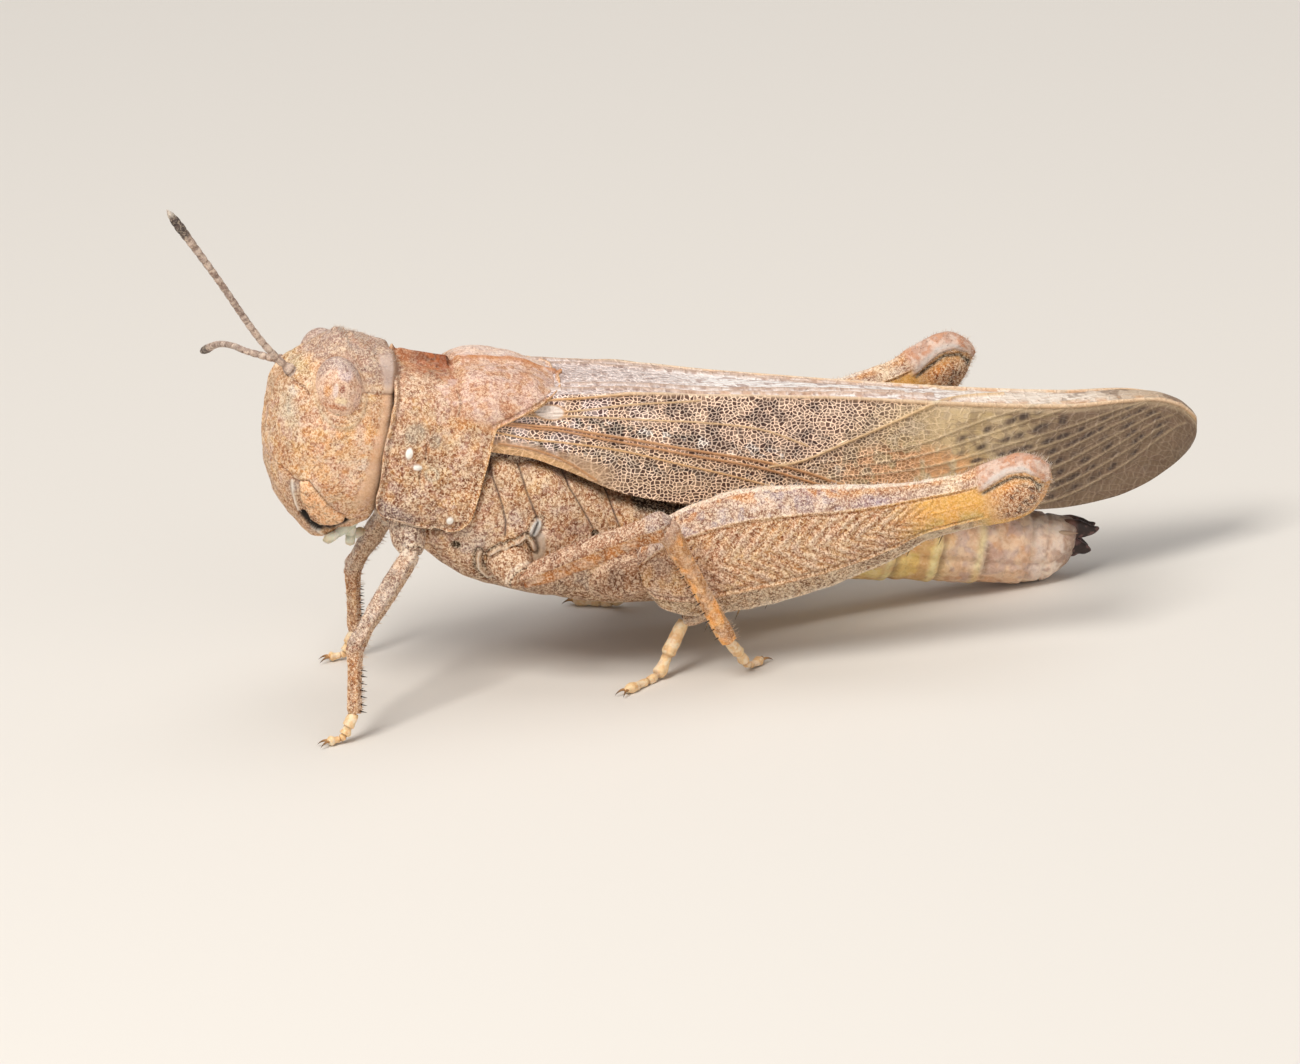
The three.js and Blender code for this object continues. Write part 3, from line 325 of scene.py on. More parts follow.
def limb(line, across, over, side, columns=32, power=2.0):
    """Rings along a line; across is their half width toward `side`, over the other half width."""
    ahead = np.gradient(line, axis=0)
    ahead /= np.linalg.norm(ahead, axis=1, keepdims=True)
    wide = np.asarray(side, float) - ahead * (ahead @ np.asarray(side, float))[:, None]
    wide /= np.linalg.norm(wide, axis=1, keepdims=True)
    high = np.cross(ahead, wide)
    turn = 2 * math.pi * np.arange(columns) / columns
    across = np.broadcast_to(across, len(line))[:, None, None]
    over = np.broadcast_to(over, len(line))[:, None, None]
    c, s = squared(np.cos(turn), power)[None, :, None], squared(np.sin(turn), power)[None, :, None]
    return line[:, None] + across * c * wide[:, None] + over * s * high[:, None]


def hemmed(points, depth, *layers):
    """The sheet with its four margins turned inward by a depth, and its layers to match."""
    rows, columns = points.shape[:2]
    row = np.r_[4, 0, np.arange(rows), rows - 1, rows - 5]
    column = np.r_[4, 0, np.arange(columns), columns - 1, columns - 5]
    sunk_row = np.r_[1.0, 1.0, np.zeros(rows), 1.0, 1.0]
    sunk_column = np.r_[1.0, 1.0, np.zeros(columns), 1.0, 1.0]
    sunk = np.maximum.outer(sunk_row, sunk_column)[..., None] * depth
    pick = np.ix_(row, column)
    return points[pick] - outward(points)[pick] * sunk, *(layer[pick] for layer in layers)


# %% [markdown]
# ## Spikes and hairs
# Claws, spines and bristles are all small curved cones that differ only in length and count, so
# one helper sets a whole row of them as a single mesh.

# %% Spikes


def spikes(name, roots, tips, widths, finish, tint, tip_tint, sag=0.0, sides=6, rings=4):
    """Curved cones from roots to tips (floor frame, mm); sag bends their middles downward."""
    roots, tips = np.atleast_2d(roots), np.atleast_2d(tips)
    widths = np.broadcast_to(widths, len(roots))
    axis = tips - roots
    unit = axis / np.linalg.norm(axis, axis=1, keepdims=True)
    helper = np.where(np.abs(unit[:, 2:]) > 0.9, [[1.0, 0, 0]], [[0, 0, 1.0]])
    side = np.cross(unit, helper)
    side /= np.linalg.norm(side, axis=1, keepdims=True)
    over = np.cross(unit, side)
    t = np.linspace(0, 1, rings + 1)[:-1]
    turn = 2 * math.pi * np.arange(sides) / sides
    bend = np.array([0, 0, -1.0]) * sag * np.linalg.norm(axis, axis=1)[:, None]
    middle = roots[:, None] + axis[:, None] * t[:, None] + bend[:, None] * (4 * t * (1 - t))[:, None]
    radius = widths[:, None] * (1 - t) ** 0.8
    ring = side[:, None] * np.cos(turn)[:, None] + over[:, None] * np.sin(turn)[:, None]
    body = middle[:, :, None] + ring[:, None] * radius[:, :, None, None]
    count, block = len(roots), rings * sides + 1
    points = np.concatenate([body.reshape(count, -1, 3), tips[:, None]], 1).reshape(-1, 3)
    base = quads(rings, sides, True)
    here = np.arange(sides)
    tip = np.stack([here + (rings - 1) * sides, (here + 1) % sides + (rings - 1) * sides,
                    np.full(sides, block - 1)], -1)
    starts = np.arange(count)[:, None, None] * block
    faces, ends = (base[None] + starts).reshape(-1, 4), (tip[None] + starts).reshape(-1, 3)
    a, b, c = (points[faces[:, k]] for k in range(3))
    if np.sum(np.cross(b - a, c - a) * (a - np.repeat(middle[:, 0], len(base), 0))) < 0:
        faces, ends = faces[:, ::-1], ends[:, ::-1]
    share = np.tile(np.append(np.repeat(t, sides), 1.0), count)[:, None]
    colour = np.asarray(tint) * (1 - share) + np.asarray(tip_tint) * share
    flat = np.stack([np.tile(np.append(np.tile(here / sides, rings), 0.5), count), share[:, 0]], -1)
    return mesh_piece(name, points, faces, ends, colour, np.ones(len(points)), flat, finish)


# %% [markdown]
# ## Building a finish
# A finish is a tree of shader nodes. Writing one by hand takes many lines, so this small helper
# adds a node and sets its inputs by name. Its short calls for sums, products, soft steps and
# mixtures hand back the result itself, ready to feed the next node.

# %% Node helper


class Tree:
    """Short calls for building one node tree."""

    def __init__(self, tree):
        self.tree = tree

    def node(self, kind, settings=None, **inputs):
        made = self.tree.nodes.new(kind)
        for key, value in (settings or {}).items():
            setattr(made, key, value)
        for key, value in inputs.items():
            self.feed(made.inputs[key.replace("_", " ")], value)
        return made

    def feed(self, socket, value):
        if isinstance(value, bpy.types.NodeSocket):
            self.tree.links.new(value, socket)
        else:
            socket.default_value = value

    def math(self, operation, a, b=0.0):
        made = self.tree.nodes.new("ShaderNodeMath")
        made.operation = operation
        self.feed(made.inputs[0], a)
        self.feed(made.inputs[1], b)
        return made.outputs[0]

    def times(self, product, *factors):
        for factor in factors:
            product = self.math("MULTIPLY", product, factor)
        return product

    def swing(self, value, low, high, start=0.0, stop=1.0):
        made = self.tree.nodes.new("ShaderNodeMapRange")
        made.interpolation_type = "SMOOTHSTEP"
        for key, number in zip(("Value", "From Min", "From Max", "To Min", "To Max"),
                               (value, low, high, start, stop)):
            self.feed(made.inputs[key], number)
        return made.outputs[0]

    def mix(self, share, a, b, blend="MIX"):
        made = self.tree.nodes.new("ShaderNodeMix")
        made.data_type, made.blend_type = "RGBA", blend
        self.feed(made.inputs["Factor"], share)
        colours = [s for s in made.inputs if s.type == "RGBA"]
        for socket, value in zip(colours, (a, b)):
            self.feed(socket, value if isinstance(value, bpy.types.NodeSocket) else (*value, 1.0))
        return next(s for s in made.outputs if s.type == "RGBA")

    def attribute(self, name, output):
        return self.node("ShaderNodeAttribute", {"attribute_name": name}).outputs[output]


def effect(name, inputs, outputs):
    """A node group with named sockets, and its tree, input node and output node."""
    group = bpy.data.node_groups.new(name, "ShaderNodeTree")
    for label, kind, value in inputs:
        socket = group.interface.new_socket(label, in_out="INPUT", socket_type=kind)
        socket.default_value = value
    for label, kind in outputs:
        group.interface.new_socket(label, in_out="OUTPUT", socket_type=kind)
    tree = Tree(group)
    return group, tree, tree.node("NodeGroupInput"), tree.node("NodeGroupOutput")


# %% [markdown]
# ## Granules
# The shell of a ground-living grasshopper is rough with fine granules, some cream and some dark.
# A warped noise draws the worm-like flecks and the pits between them, a wider noise gathers pits
# into blots, and the cells of two Voronoi textures give small knobs and a few single dots.

# %% Granules group
FLOAT = "NodeSocketFloat"


def counted(tree, size):
    """The object's own coordinates, counted in steps of a size in millimetres."""
    place = tree.node("ShaderNodeTexCoord").outputs["Object"]
    scale = tree.math("DIVIDE", 1 / MM, size)
    return tree.node("ShaderNodeVectorMath", {"operation": "SCALE"}, Vector=place,
                     Scale=scale).outputs[0]


def above(tree, value, share, spread, edge):
    """The share of a noise that lies highest, as a 0 to 1 mask with a soft edge."""
    level = tree.math("ADD", 0.5, tree.times(tree.math("SUBTRACT", 0.5, share), spread))
    return tree.swing(value, tree.math("SUBTRACT", level, edge), tree.math("ADD", level, edge))


granules, tree, given, out = effect(
    "Granules",
    [("Size", FLOAT, 0.1), ("Pale Share", FLOAT, 0.3), ("Dark Share", FLOAT, 0.25)],
    [("Height", FLOAT), ("Pale", FLOAT), ("Dark", FLOAT)],
)
scaled = counted(tree, given.outputs["Size"])
worms = tree.node("ShaderNodeTexNoise", Vector=scaled, Scale=0.9, Detail=1.5, Roughness=0.5,
                  Distortion=0.9)
blots = tree.node("ShaderNodeTexNoise", Vector=scaled, Scale=0.37, Detail=3.0, Roughness=0.65,
                  Distortion=0.5)
specks = tree.node("ShaderNodeTexVoronoi", Vector=scaled, Scale=0.42)
cells = tree.node("ShaderNodeTexVoronoi", Vector=scaled, Scale=0.85)
chance = tree.node("ShaderNodeSeparateColor", Color=specks.outputs["Color"]).outputs["Red"]

pale = above(tree, worms.outputs["Fac"], given.outputs["Pale Share"], 0.3, 0.045)
low = tree.math("SUBTRACT", 1.0, worms.outputs["Fac"])
gaps = above(tree, low, tree.times(given.outputs["Dark Share"], 0.8), 0.3, 0.05)
blot = above(tree, blots.outputs["Fac"], tree.times(given.outputs["Dark Share"], 0.7), 0.36, 0.05)
dot = tree.swing(specks.outputs["Distance"], 0.2, 0.36, 1.0, 0.0)
dots = tree.times(tree.swing(chance, 0.8, 0.84), dot)
gathered = tree.times(gaps, tree.math("ADD", 0.45, tree.times(blot, 0.55)))
dark = tree.math("MAXIMUM", gathered, dots)
knob = tree.swing(cells.outputs["Distance"], 0.05, 0.8, 1.0, 0.0)
tree.feed(out.inputs["Height"], tree.math("ADD", tree.times(knob, 0.5), worms.outputs["Fac"]))
tree.feed(out.inputs["Pale"], pale)
tree.feed(out.inputs["Dark"], tree.math("MAXIMUM", dark, tree.times(blot, 0.4)))

# %% [markdown]
# ## Mottling
# Between the granules the ground colour itself drifts from rusty to grey over about half a
# millimetre. Two layers of noise give that drift as a mask.

# %% Mottling group
mottling, tree, given, out = effect(
    "Mottling", [("Size", FLOAT, 0.6), ("Contrast", FLOAT, 0.3)], [("Mask", FLOAT)]
)
scaled = counted(tree, given.outputs["Size"])
drift = tree.node("ShaderNodeTexNoise", Vector=scaled, Scale=1.0, Detail=5.0,
                  Roughness=0.62).outputs["Fac"]
low = tree.math("SUBTRACT", 0.5, given.outputs["Contrast"])
high = tree.math("ADD", 0.5, given.outputs["Contrast"])
tree.feed(out.inputs["Mask"], tree.swing(drift, low, high))

# %% [markdown]
# ## The shell finish
# Every shell plate shares one recipe with its own numbers: the painted tint, darkened between
# the granules, flecked with cream, drifting toward rust, a little light scattering just under
# the surface, and the granules as bump. Where the polish mask is high, the plate is smooth.

# %% Shell finish
CREAM = (0.98, 0.81, 0.6)


def shell(name, size=0.1, pale=0.3, dark=0.3, fleck=0.5, depth=0.5, drift=0.35, bump=0.5, rough=0.62,
          scatter=0.05, coat=0.0):
    """A granular shell finish; size in millimetres, the rest from 0 to 1."""
    finish = bpy.data.materials.new(name)
    finish.use_nodes = True
    finish.node_tree.nodes.clear()
    tree = Tree(finish.node_tree)
    tint = tree.attribute("tint", "Color")
    polish = tree.attribute("polish", "Fac")
    grain = tree.node("ShaderNodeGroup", {"node_tree": granules}, Size=size, Pale_Share=pale,
                      Dark_Share=dark)
    wide = tree.node("ShaderNodeGroup", {"node_tree": mottling}, Size=0.5,
                     Contrast=0.13).outputs["Mask"]
    rough_share = tree.math("SUBTRACT", 1.0, polish)
    warm = tree.mix(1.0, tint, (0.94, 0.66, 0.42), "MULTIPLY")
    ground = tree.mix(tree.times(wide, drift, rough_share), tint, warm)
    deep = tree.mix(1.0, ground, (0.31, 0.155, 0.095), "MULTIPLY")
    pits = tree.times(grain.outputs["Dark"], depth, rough_share)
    pitted = tree.mix(pits, ground, deep)
    flecks = tree.times(grain.outputs["Pale"], fleck, rough_share)
    flecked = tree.mix(flecks, pitted, tree.mix(0.66, tint, CREAM))
    level = tree.times(grain.outputs["Height"], rough_share)
    bumped = tree.node("ShaderNodeBump", Strength=bump, Distance=0.3 * size * MM, Height=level)
    surface = tree.node("ShaderNodeBsdfPrincipled", Base_Color=flecked, Normal=bumped.outputs[0])
    tree.feed(surface.inputs["Roughness"], tree.swing(polish, 0.0, 1.0, rough, rough * 0.62))
    surface.inputs["Subsurface Weight"].default_value = scatter
    surface.inputs["Subsurface Scale"].default_value = 0.15 * MM
    surface.inputs["Subsurface Radius"].default_value = (1.0, 0.6, 0.4)
    surface.inputs["Specular IOR Level"].default_value = 0.22
    surface.inputs["Coat Weight"].default_value = coat
    tree.feed(tree.node("ShaderNodeOutputMaterial").inputs["Surface"], surface.outputs[0])
    return finish


# name, size of a granule, shares of pale and dark, strength of flecks, pits, drift and bump
head_finish = shell("head shell", 0.064, 0.36, 0.42, 0.72, 0.8, 0.6, 0.6)
pronotum_finish = shell("pronotum shell", 0.07, 0.38, 0.55, 0.8, 0.95, 0.65, 0.8)
thorax_finish = shell("thorax shell", 0.074, 0.38, 0.55, 0.76, 0.9, 0.6, 0.7)
belly_finish = shell("belly shell", 0.16, 0.2, 0.25, 0.3, 0.35, 0.35, 0.3, rough=0.5, scatter=0.15)
leg_finish = shell("leg shell", 0.062, 0.35, 0.5, 0.72, 0.85, 0.55, 0.6)
thigh_finish = shell("thigh shell", 0.062, 0.36, 0.52, 0.78, 0.95, 0.6, 0.6)
foot_finish = shell("foot shell", 0.12, 0.2, 0.15, 0.35, 0.3, 0.25, 0.25, rough=0.45, scatter=0.2)
feeler_finish = shell("feeler shell", 0.08, 0.3, 0.4, 0.5, 0.6, 0.2, 0.3)
soft_finish = shell("soft mouth skin", 0.1, 0.2, 0.15, 0.25, 0.3, 0.15, 0.2, rough=0.35, scatter=0.4)
horn_finish = shell("black horn", 0.08, 0.0, 0.2, 0.0, 0.3, 0.1, 0.2,
                    rough=0.42, scatter=0.0, coat=0.05)
print("shell finishes", len(bpy.data.materials))

# %% [markdown]
# ## Room, light and camera
# Horn and dusty granules show best under broad, soft light with one side a little stronger. The
# floor is plain and pale. A long lens from the animal's left, a little ahead of its side and
# above it, keeps the perspective as flat as a close-up lens does.

# %% Room, light and camera
LIGHTS = {  # name: place from the middle of the animal, width, watts, colour
    "key": ((0.1, -0.12, 0.22), 0.12, 0.62, (1.0, 0.97, 0.92)),
    "fill": ((0.24, 0.1, 0.1), 0.2, 0.17, (1.0, 0.95, 0.9)),
    "top": ((-0.06, 0.05, 0.26), 0.24, 0.27, (1.0, 1.0, 1.0)),
}
MIDDLE = np.array([0.0, 0.0, 0.006])


def aim(piece, place, target):
    """Turns a lamp at a place so that it shines on a target."""
    piece.location = place
    toward = np.array(place) - np.array(target)
    axis = toward / np.linalg.norm(toward)
    side = np.cross((0, 0, 1), axis)
    side /= np.linalg.norm(side)
    turn = Matrix((side, np.cross(axis, side), axis)).transposed()
    piece.rotation_euler = turn.to_euler()


for name, (place, width, watts, colour) in LIGHTS.items():
    lamp = bpy.data.lights.new(name, "AREA")
    lamp.size, lamp.energy, lamp.color = width, watts, colour
    piece = bpy.data.objects.new(name, lamp)
    bpy.context.scene.collection.objects.link(piece)
    aim(piece, MIDDLE + np.array(place), MIDDLE)

bpy.context.scene.view_settings.view_transform = "Standard"
world = bpy.data.worlds.new("pale room")
world.use_nodes = True
world.node_tree.nodes["Background"].inputs["Color"].default_value = (0.95, 0.93, 0.92, 1)
world.node_tree.nodes["Background"].inputs["Strength"].default_value = 0.3
bpy.context.scene.world = world

paper = bpy.data.materials.new("pale floor")
paper.use_nodes = True
paper.node_tree.nodes["Principled BSDF"].inputs["Base Color"].default_value = (0.7, 0.665, 0.62, 1)
paper.node_tree.nodes["Principled BSDF"].inputs["Roughness"].default_value = 0.8
FLOOR_HALF = 1.5
floor_mesh = bpy.data.meshes.new("floor")
floor_mesh.from_pydata([(x, y, 0) for x, y in ((-1, -1), (1, -1), (1, 1), (-1, 1))], [], [(0, 1, 2, 3)])
floor_mesh.transform(Matrix.Scale(FLOOR_HALF, 4))
floor_mesh.materials.append(paper)
floor = bpy.data.objects.new("floor", floor_mesh)
bpy.context.scene.collection.objects.link(floor)

AHEAD, ABOVE, ROLL = (math.radians(angle) for angle in (9.0, 20.0, 6.0))
FRAME_WIDTH, DISTANCE, SENSOR = 43.94 * MM, 0.9, 36.0
TARGET = (np.array([0.0, 0.0, 3.894]) + SHIFT) * MM
back = np.array([math.cos(AHEAD) * math.cos(ABOVE), -math.sin(AHEAD) * math.cos(ABOVE),
                 math.sin(ABOVE)])
level = np.array([math.sin(AHEAD), math.cos(AHEAD), 0.0])
upright = np.cross(back, level)
right = math.cos(ROLL) * level - math.sin(ROLL) * upright
upward = math.sin(ROLL) * level + math.cos(ROLL) * upright
lens = bpy.data.cameras.new("camera")
lens.sensor_width = SENSOR
lens.lens = SENSOR * DISTANCE / FRAME_WIDTH
lens.clip_start, lens.clip_end = 0.01, 10.0
camera = bpy.data.objects.new("camera", lens)
spot = TARGET + back * DISTANCE
camera.matrix_world = Matrix(
    [(*(axis[i] for axis in (right, upward, back)), spot[i]) for i in range(3)] + [(0, 0, 0, 1)]
)
bpy.context.scene.collection.objects.link(camera)
bpy.context.scene.camera = camera
print("lens", round(lens.lens, 1), "mm")

# %% [markdown]
# ## Head capsule
# A grasshopper's head is one hard box. Its outline changes with height, so the grid is a stack of
# rounded rings from chin to crown. On it we raise the rim round each eye, the ridges of the
# forehead, the pit of each feeler, the cheek seam, the jaw and the lip.

# %% Head rings
CHIN, HEAD_TALL = -2.88, 7.24  # height of the chin, and from there up to the crown
NECK_LEVEL = 0.8  # height of the middle of the neck
head_rows = through([  # height, front of the face, back of the head, half width, squareness
    [CHIN, -5.6, -4.95, 0.55, 2.2],
    [-2.55, -6.05, -4.5, 1.0, 2.3],
    [-1.7, -6.85, -3.3, 1.8, 2.4],
    [-0.6, -7.36, -2.8, 2.2, 2.5],
    [0.9, -7.64, -2.5, 2.3, 2.5],
    [2.2, -7.64, -2.5, 2.05, 2.4],
    [3.05, -7.28, -2.6, 1.78, 2.15],
    [3.5, -6.7, -2.9, 1.58, 2.1],
    [3.9, -6.22, -3.9, 1.1, 2.05],
    [4.16, -5.98, -4.95, 0.62, 2.0],
    [4.32, -5.82, -5.4, 0.25, 2.0],
    [4.36, -5.7, -5.6, 0.04, 2.0],
])
JAW = [(-6.6, -0.62), (-6.27, -0.52), (-5.83, -0.97), (-5.16, -1.54), (-4.77, -1.7), (-4.66, -2.0),
       (-4.9, -2.16), (-5.4, -2.28), (-5.95, -1.95), (-6.4, -1.3)]
JAW_TOP = [(-6.27, -0.42), (-5.8, -0.88), (-5.12, -1.44), (-4.72, -1.62)]
LIP_EDGE = [(-6.75, -0.62), (-6.62, -1.13), (-6.48, -1.4), (-6.16, -1.99), (-5.62, -2.48),
            (-5.08, -2.68)]
MOUTH_SLIT = [(-6.2, -1.86), (-5.9, -2.22), (-5.45, -2.45), (-4.95, -2.38), (-4.62, -1.98)]
CHEEK_SEAM = [(-7.75, -0.1), (-7.14, -0.32), (-6.75, -0.52)]
CHEEK_LINE = [(-6.25, 1.45), (-6.42, 0.8), (-6.72, -0.3)]
TEMPLE_LINE = [(-4.9, 2.74), (-3.7, 2.7)]
COLLAR = [(-4.5, 3.9), (-4.24, 3.22), (-4.16, 2.16), (-4.34, 0.95), (-4.42, -0.1), (-4.62, -0.9)]
VERTEX_LINE = [(-6.95, 3.3), (-6.85, 3.41), (-6.3, 3.56), (-5.9, 3.62)]
VERTEX_CURVE = [(-6.68, 3.56), (-6.18, 3.68), (-5.62, 3.86), (-5.3, 4.1)]
SOCKET, SOCKET_SLIT = (0.85, -7.02, 2.66), [(-7.19, 2.68), (-6.86, 2.58), (-6.7, 2.42)]
EYE_MIDDLE, EYE_RADII, EYE_LEAN = np.array([1.55, -5.68, 2.67]), np.array([0.82, 0.75, 1.02]), -0.14
EYE_BALL = EYE_RADII * (0.96, 1.1, 1.08)


def eye_distance(s, h):
    """1 on the rim of the eye, less inside it and more outside it."""
    up = h - EYE_MIDDLE[2]
    return np.hypot((s - EYE_MIDDLE[1] - EYE_LEAN * up) / EYE_RADII[1], up / EYE_RADII[2])


def head_grid(rows=240, columns=280):
    """Rings of the head from chin to crown; behind its rear rim the head narrows to the neck."""
    t = np.linspace(0, 1, rows)
    height = CHIN + HEAD_TALL * (1 - (1 - t) ** 1.35)
    front, rear, half, power = (values[:, None] for values in head_rows(height))
    turn = 2 * math.pi * np.arange(columns) / columns
    s = (front + rear) / 2 - (rear - front) / 2 * squared(np.cos(turn), power)
    x = half * squared(np.sin(turn), power)
    neck = 1 - 0.14 * smooth(-3.88, -3.5, s)
    return np.stack([x * neck, s, NECK_LEVEL + (height[:, None] - NECK_LEVEL) * neck], -1)


def head_relief(points):
    """The height of every ridge and groove over the head, in millimetres."""
    x, s, h = np.moveaxis(points, -1, 0)
    x = np.abs(x)
    side = smooth(0.9, 1.5, x)
    front = smooth(-6.2, -6.8, s)
    eye = eye_distance(s, h)
    relief = side * (0.045 * bell(eye, 1.12, 0.09) - 0.03 * bell(eye, 1.28, 0.07))
    ridge = smooth(-0.5, 0.4, h) * smooth(4.2, 3.4, h)
    relief += front * ridge * (0.05 * bell(x, 0.42, 0.1) - 0.05 * bell(x, 0.0, 0.25))
    relief -= 0.1 * smooth(-5.9, -6.3, s) * bell(x, 0.0, 0.42) * bell(h, 3.75, 0.35)
    socket = np.hypot(s - SOCKET[1], h - SOCKET[2]) + 0.7 * np.abs(x - SOCKET[0])
    relief += 0.05 * bell(socket, 0.36, 0.08) - 0.1 * smooth(0.3, 0.15, socket)
    relief -= 0.07 * bell(near_line(s, h, SOCKET_SLIT), 0, 0.06) * smooth(0.6, 0.9, x)
    relief += 0.04 * side * bell(near_line(s, h, CHEEK_LINE), 0, 0.12)
    relief -= 0.03 * bell(near_line(s, h, CHEEK_SEAM), 0, 0.05)
    relief -= 0.03 * side * bell(near_line(s, h, TEMPLE_LINE), 0, 0.03)
    relief -= 0.02 * bell(near_line(s, h, COLLAR), 0, 0.05)
    relief += smooth(0.7, 1.1, x) * 0.07 * bell(near_line(s, h, VERTEX_CURVE), 0, 0.09)
    relief -= smooth(0.7, 1.1, x) * 0.05 * bell(near_line(s, h, VERTEX_LINE), 0, 0.05)
    relief -= 0.06 * bell(s, -5.36, 0.07) * smooth(3.9, 4.15, h)
    jaw = inside(s, h, JAW)
    brink = near_line(s, h, JAW + JAW[:1])
    relief += np.where(jaw, 0.08 * smooth(0.0, 0.2, brink), 0) - 0.08 * bell(brink, 0, 0.035)
    relief += 0.05 * bell(near_line(s, h, JAW_TOP), 0, 0.05)
    relief += 0.07 * bell(near_line(s, h, LIP_EDGE), 0, 0.055)
    relief -= 0.3 * bell(near_line(s, h, MOUTH_SLIT), 0, 0.08)
    rough = 0.8 + 0.6 * smooth(3.1, 3.7, h)
    grains = 0.03 * swell(points, 0.28, 2) + 0.035 * swell(points, 0.55, 3)
    return relief + rough * grains + 0.03 * swell(points, 1.3, 4)


skull = head_grid()
head_points = raised(skull, head_relief(skull), wrap=True)
print("head grid", head_points.shape)

# %% [markdown]
# ## Head colours
# The cheeks are a warm orange tan, and the crown is greyed pink above a fine dark line behind the
# eye. The collar is smooth, tan below and grey-lilac above; behind it a dark band of painted shade
# marks where the head goes under the saddle. The lip has a white edge, and the slit beside the jaw
# is painted black as shade. A grey spot by each feeler socket is a painted highlight, and the cream
# line on the crown ridge is partly a painted highlight.

# %% Paint the head
TAN, PINK = (0.66, 0.41, 0.235), (0.53, 0.375, 0.305)
BONE, BLACK = (0.86, 0.78, 0.68), (0.02, 0.015, 0.012)


def blend(below, above, share):
    """One tint laid over another by a mask."""
    share = np.asarray(share)[..., None]
    return np.asarray(below) * (1 - share) + np.asarray(above) * share


def coats(tint, *layers):
    """The tint with layers of (colour, mask) laid over it, one after another."""
    for colour, mask in layers:
        tint = blend(tint, colour, mask)
    return tint


DAPPLES = (  # colour, size of its patches, share of the plate, strength
    ((0.84, 0.52, 0.2), 0.36, 0.3, 0.5),
    ((0.7, 0.5, 0.47), 0.32, 0.32, 0.5),
    ((0.88, 0.7, 0.5), 0.24, 0.28, 0.5),
    ((0.44, 0.23, 0.13), 0.2, 0.22, 0.5),
)


def dappled(tint, points, seed, strength=1.0):
    """The tint with orange, lilac, cream and brown patches a few granules across."""
    for number, (colour, size, cover, share) in enumerate(DAPPLES):
        tint = blend(tint, colour, patches(points, size, seed + number, cover) * share * strength)
    return tint


